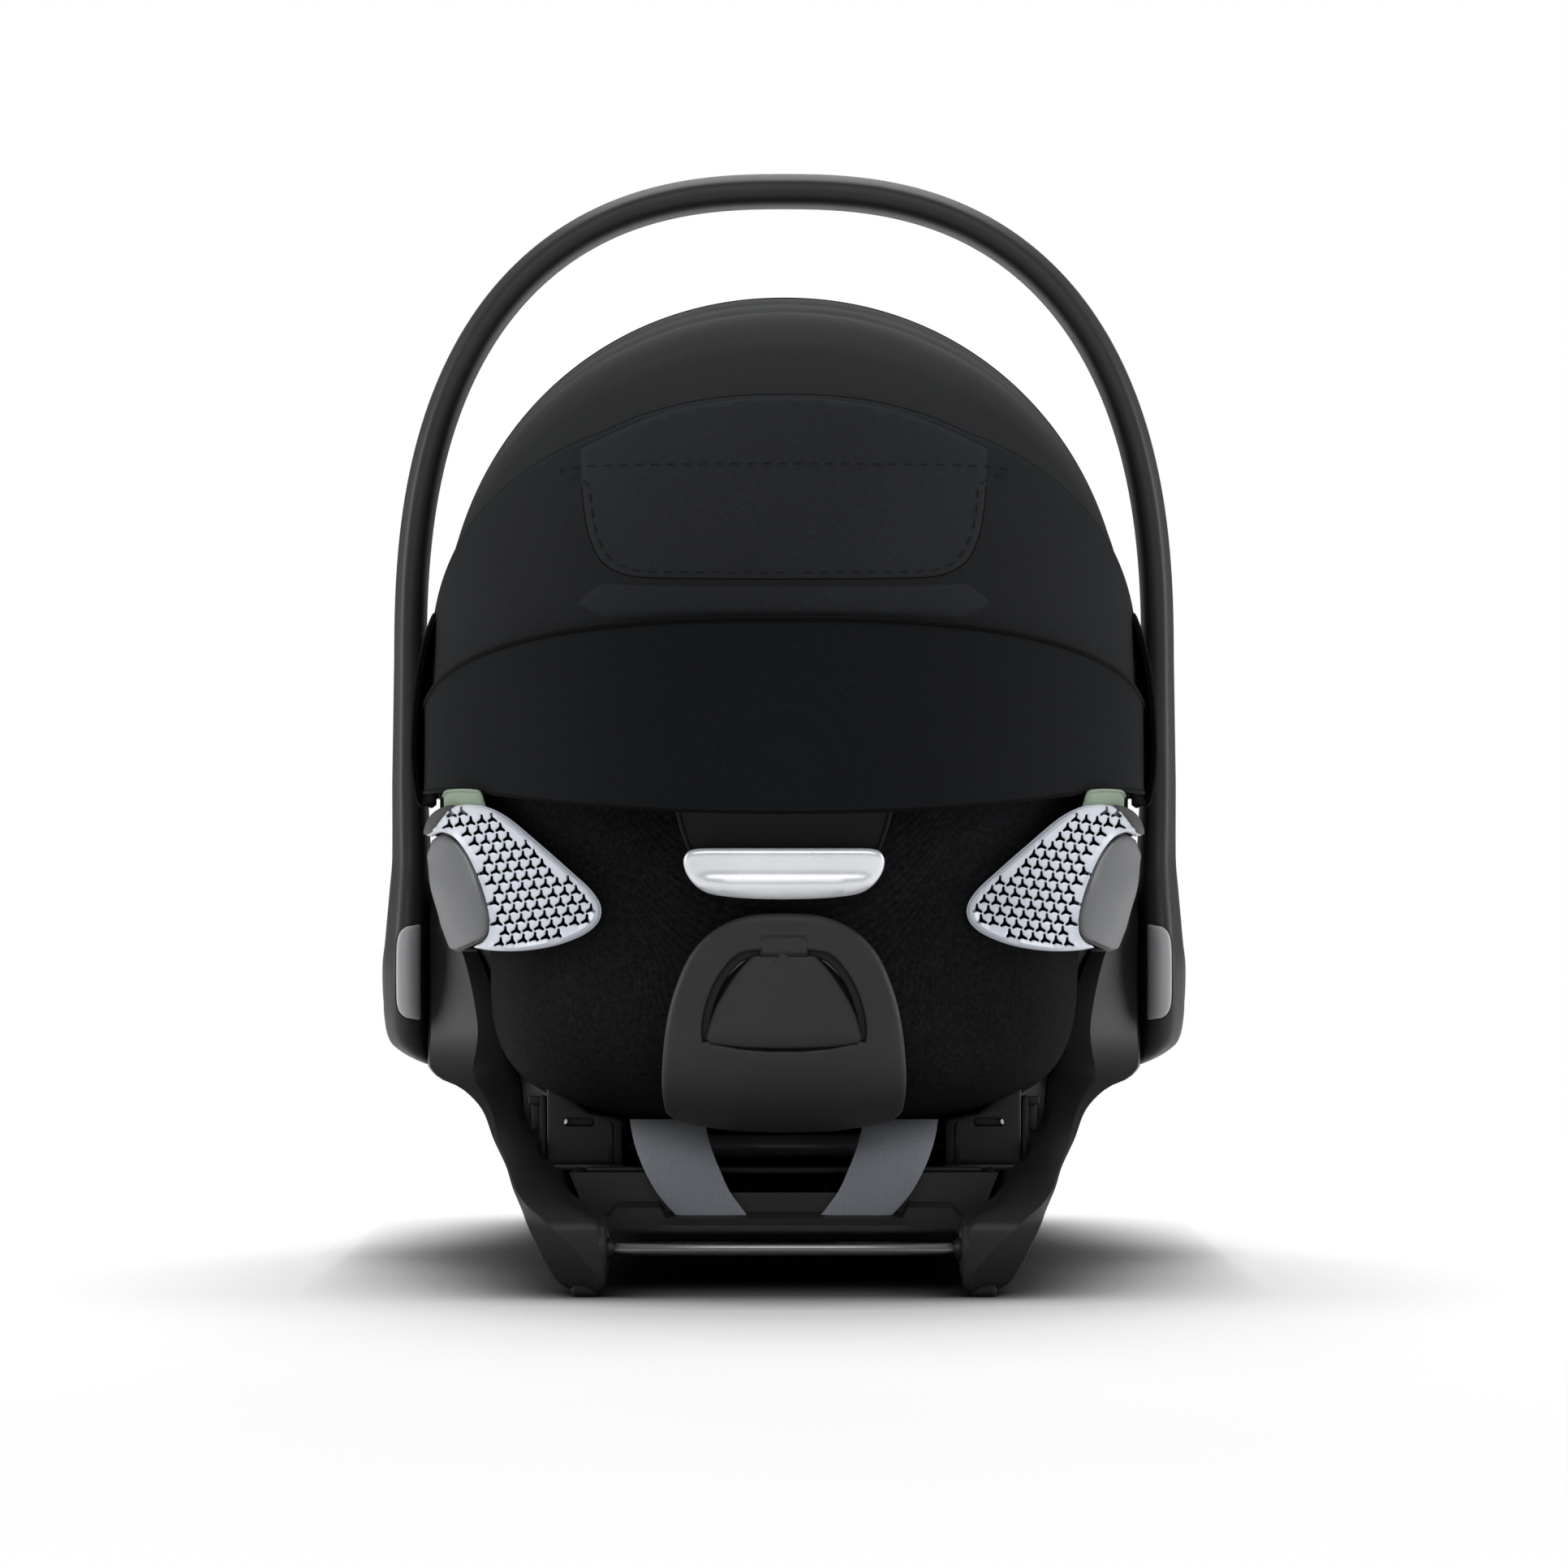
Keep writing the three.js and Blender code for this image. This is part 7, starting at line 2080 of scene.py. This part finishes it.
pair("shoulder_webbing", band(shoulder_way, 25), "harness", "seat", ["shoulder_strap_{side}"], 50, "webbing")
pair("lap_webbing", lap_part(), "harness", "seat", ["lap_strap_{side}"], 50, "webbing")
pair("buckle_tongue", band(tongue_way, 19, 3.0), "silver", "seat", sharp=50, slot="brushed_grey")
pair("strap_slot", slot_part(38), "smooth", "seat", sharp=50, slot="smooth_trim")
shoulder_marks = [
    tube(stitched(shoulder_way[k : k + 2], 21, side, 1.35), 0.22, 5) for side in (-1, 1) for k in range(14, 58, 2)
]
pair("shoulder_stitches", joined(*shoulder_marks), "webbing", "seat", sharp=60, slot="webbing")


def comfort_pad(name, x0, x1, rows, reach, base, height, seam, **options):
    """A pad round a strap that runs from x0 to x1 over its rows."""
    v0, v1 = rows

    def surface(v, u, raised):
        return liner_at(v, x0 + (x1 - x0) * (v - v0) / (v1 - v0) + u, raised)

    options.update(seams=[("u", seam, 0.08, 0.92), ("u", 1 - seam, 0.08, 0.92)], edge=7, step=3.2, valley=0.35)
    return Pad(name, "insert", surface, LINE, rows, reach, base, height, **options)


for side, sign in (("right", 1), ("left", -1)):
    pad = comfort_pad(
        f"shoulder_comfort_{side}", sign * 38, sign * 25.4, (0.37, 0.48), 23.0, STRAP_TOP + 0.5, 8.0, 0.16,
        corner=0.28, cap=2.0,
    )
    pad.finished("seat", f"shoulder_pad_{side}", 0.7, 0.9)
crotch = comfort_pad("crotch_comfort", 0, 0, (0.56, 0.675), 28.0, STRAP, 7.0, 0.14, corner=0.3, cap=1.5)
crotch.finished("seat", "crotch_pad", 0.7, 0.9)

# each: half width, length, height, the button's half width and length, crown and waist
BUCKLE = (25, 62, 17, 13, 22, 2.2, 0.06)
ADJUSTER = (24, 44, 13, 11, 16, 2.0, 0.0)
for name, node, v, base, sizes, look, slot in (
    ("buckle", "buckle_body", 0.61, STRAP + 7 + 0.9, BUCKLE, "red", "release_red"),
    ("adjuster", "adjuster_housing", 0.83, CUSHION + CUSHION_HIGH * 0.885, ADJUSTER, "button", "button_grey"),
):
    housing, button = press_parts(v, base, *sizes)
    dressed(made(f"{name}_case", *housing, "black", 40), "seat", "black_plastic", node)
    dressed(made(f"{name}_press", *button, look, 40), f"{name}_release", slot, f"{name}_button")
dressed(made("adjuster_tail", *band(tail_way, 24), "harness", 50), "seat", "webbing")
repainted("black", "canopy_pivot_left", "canopy_pivot_right")
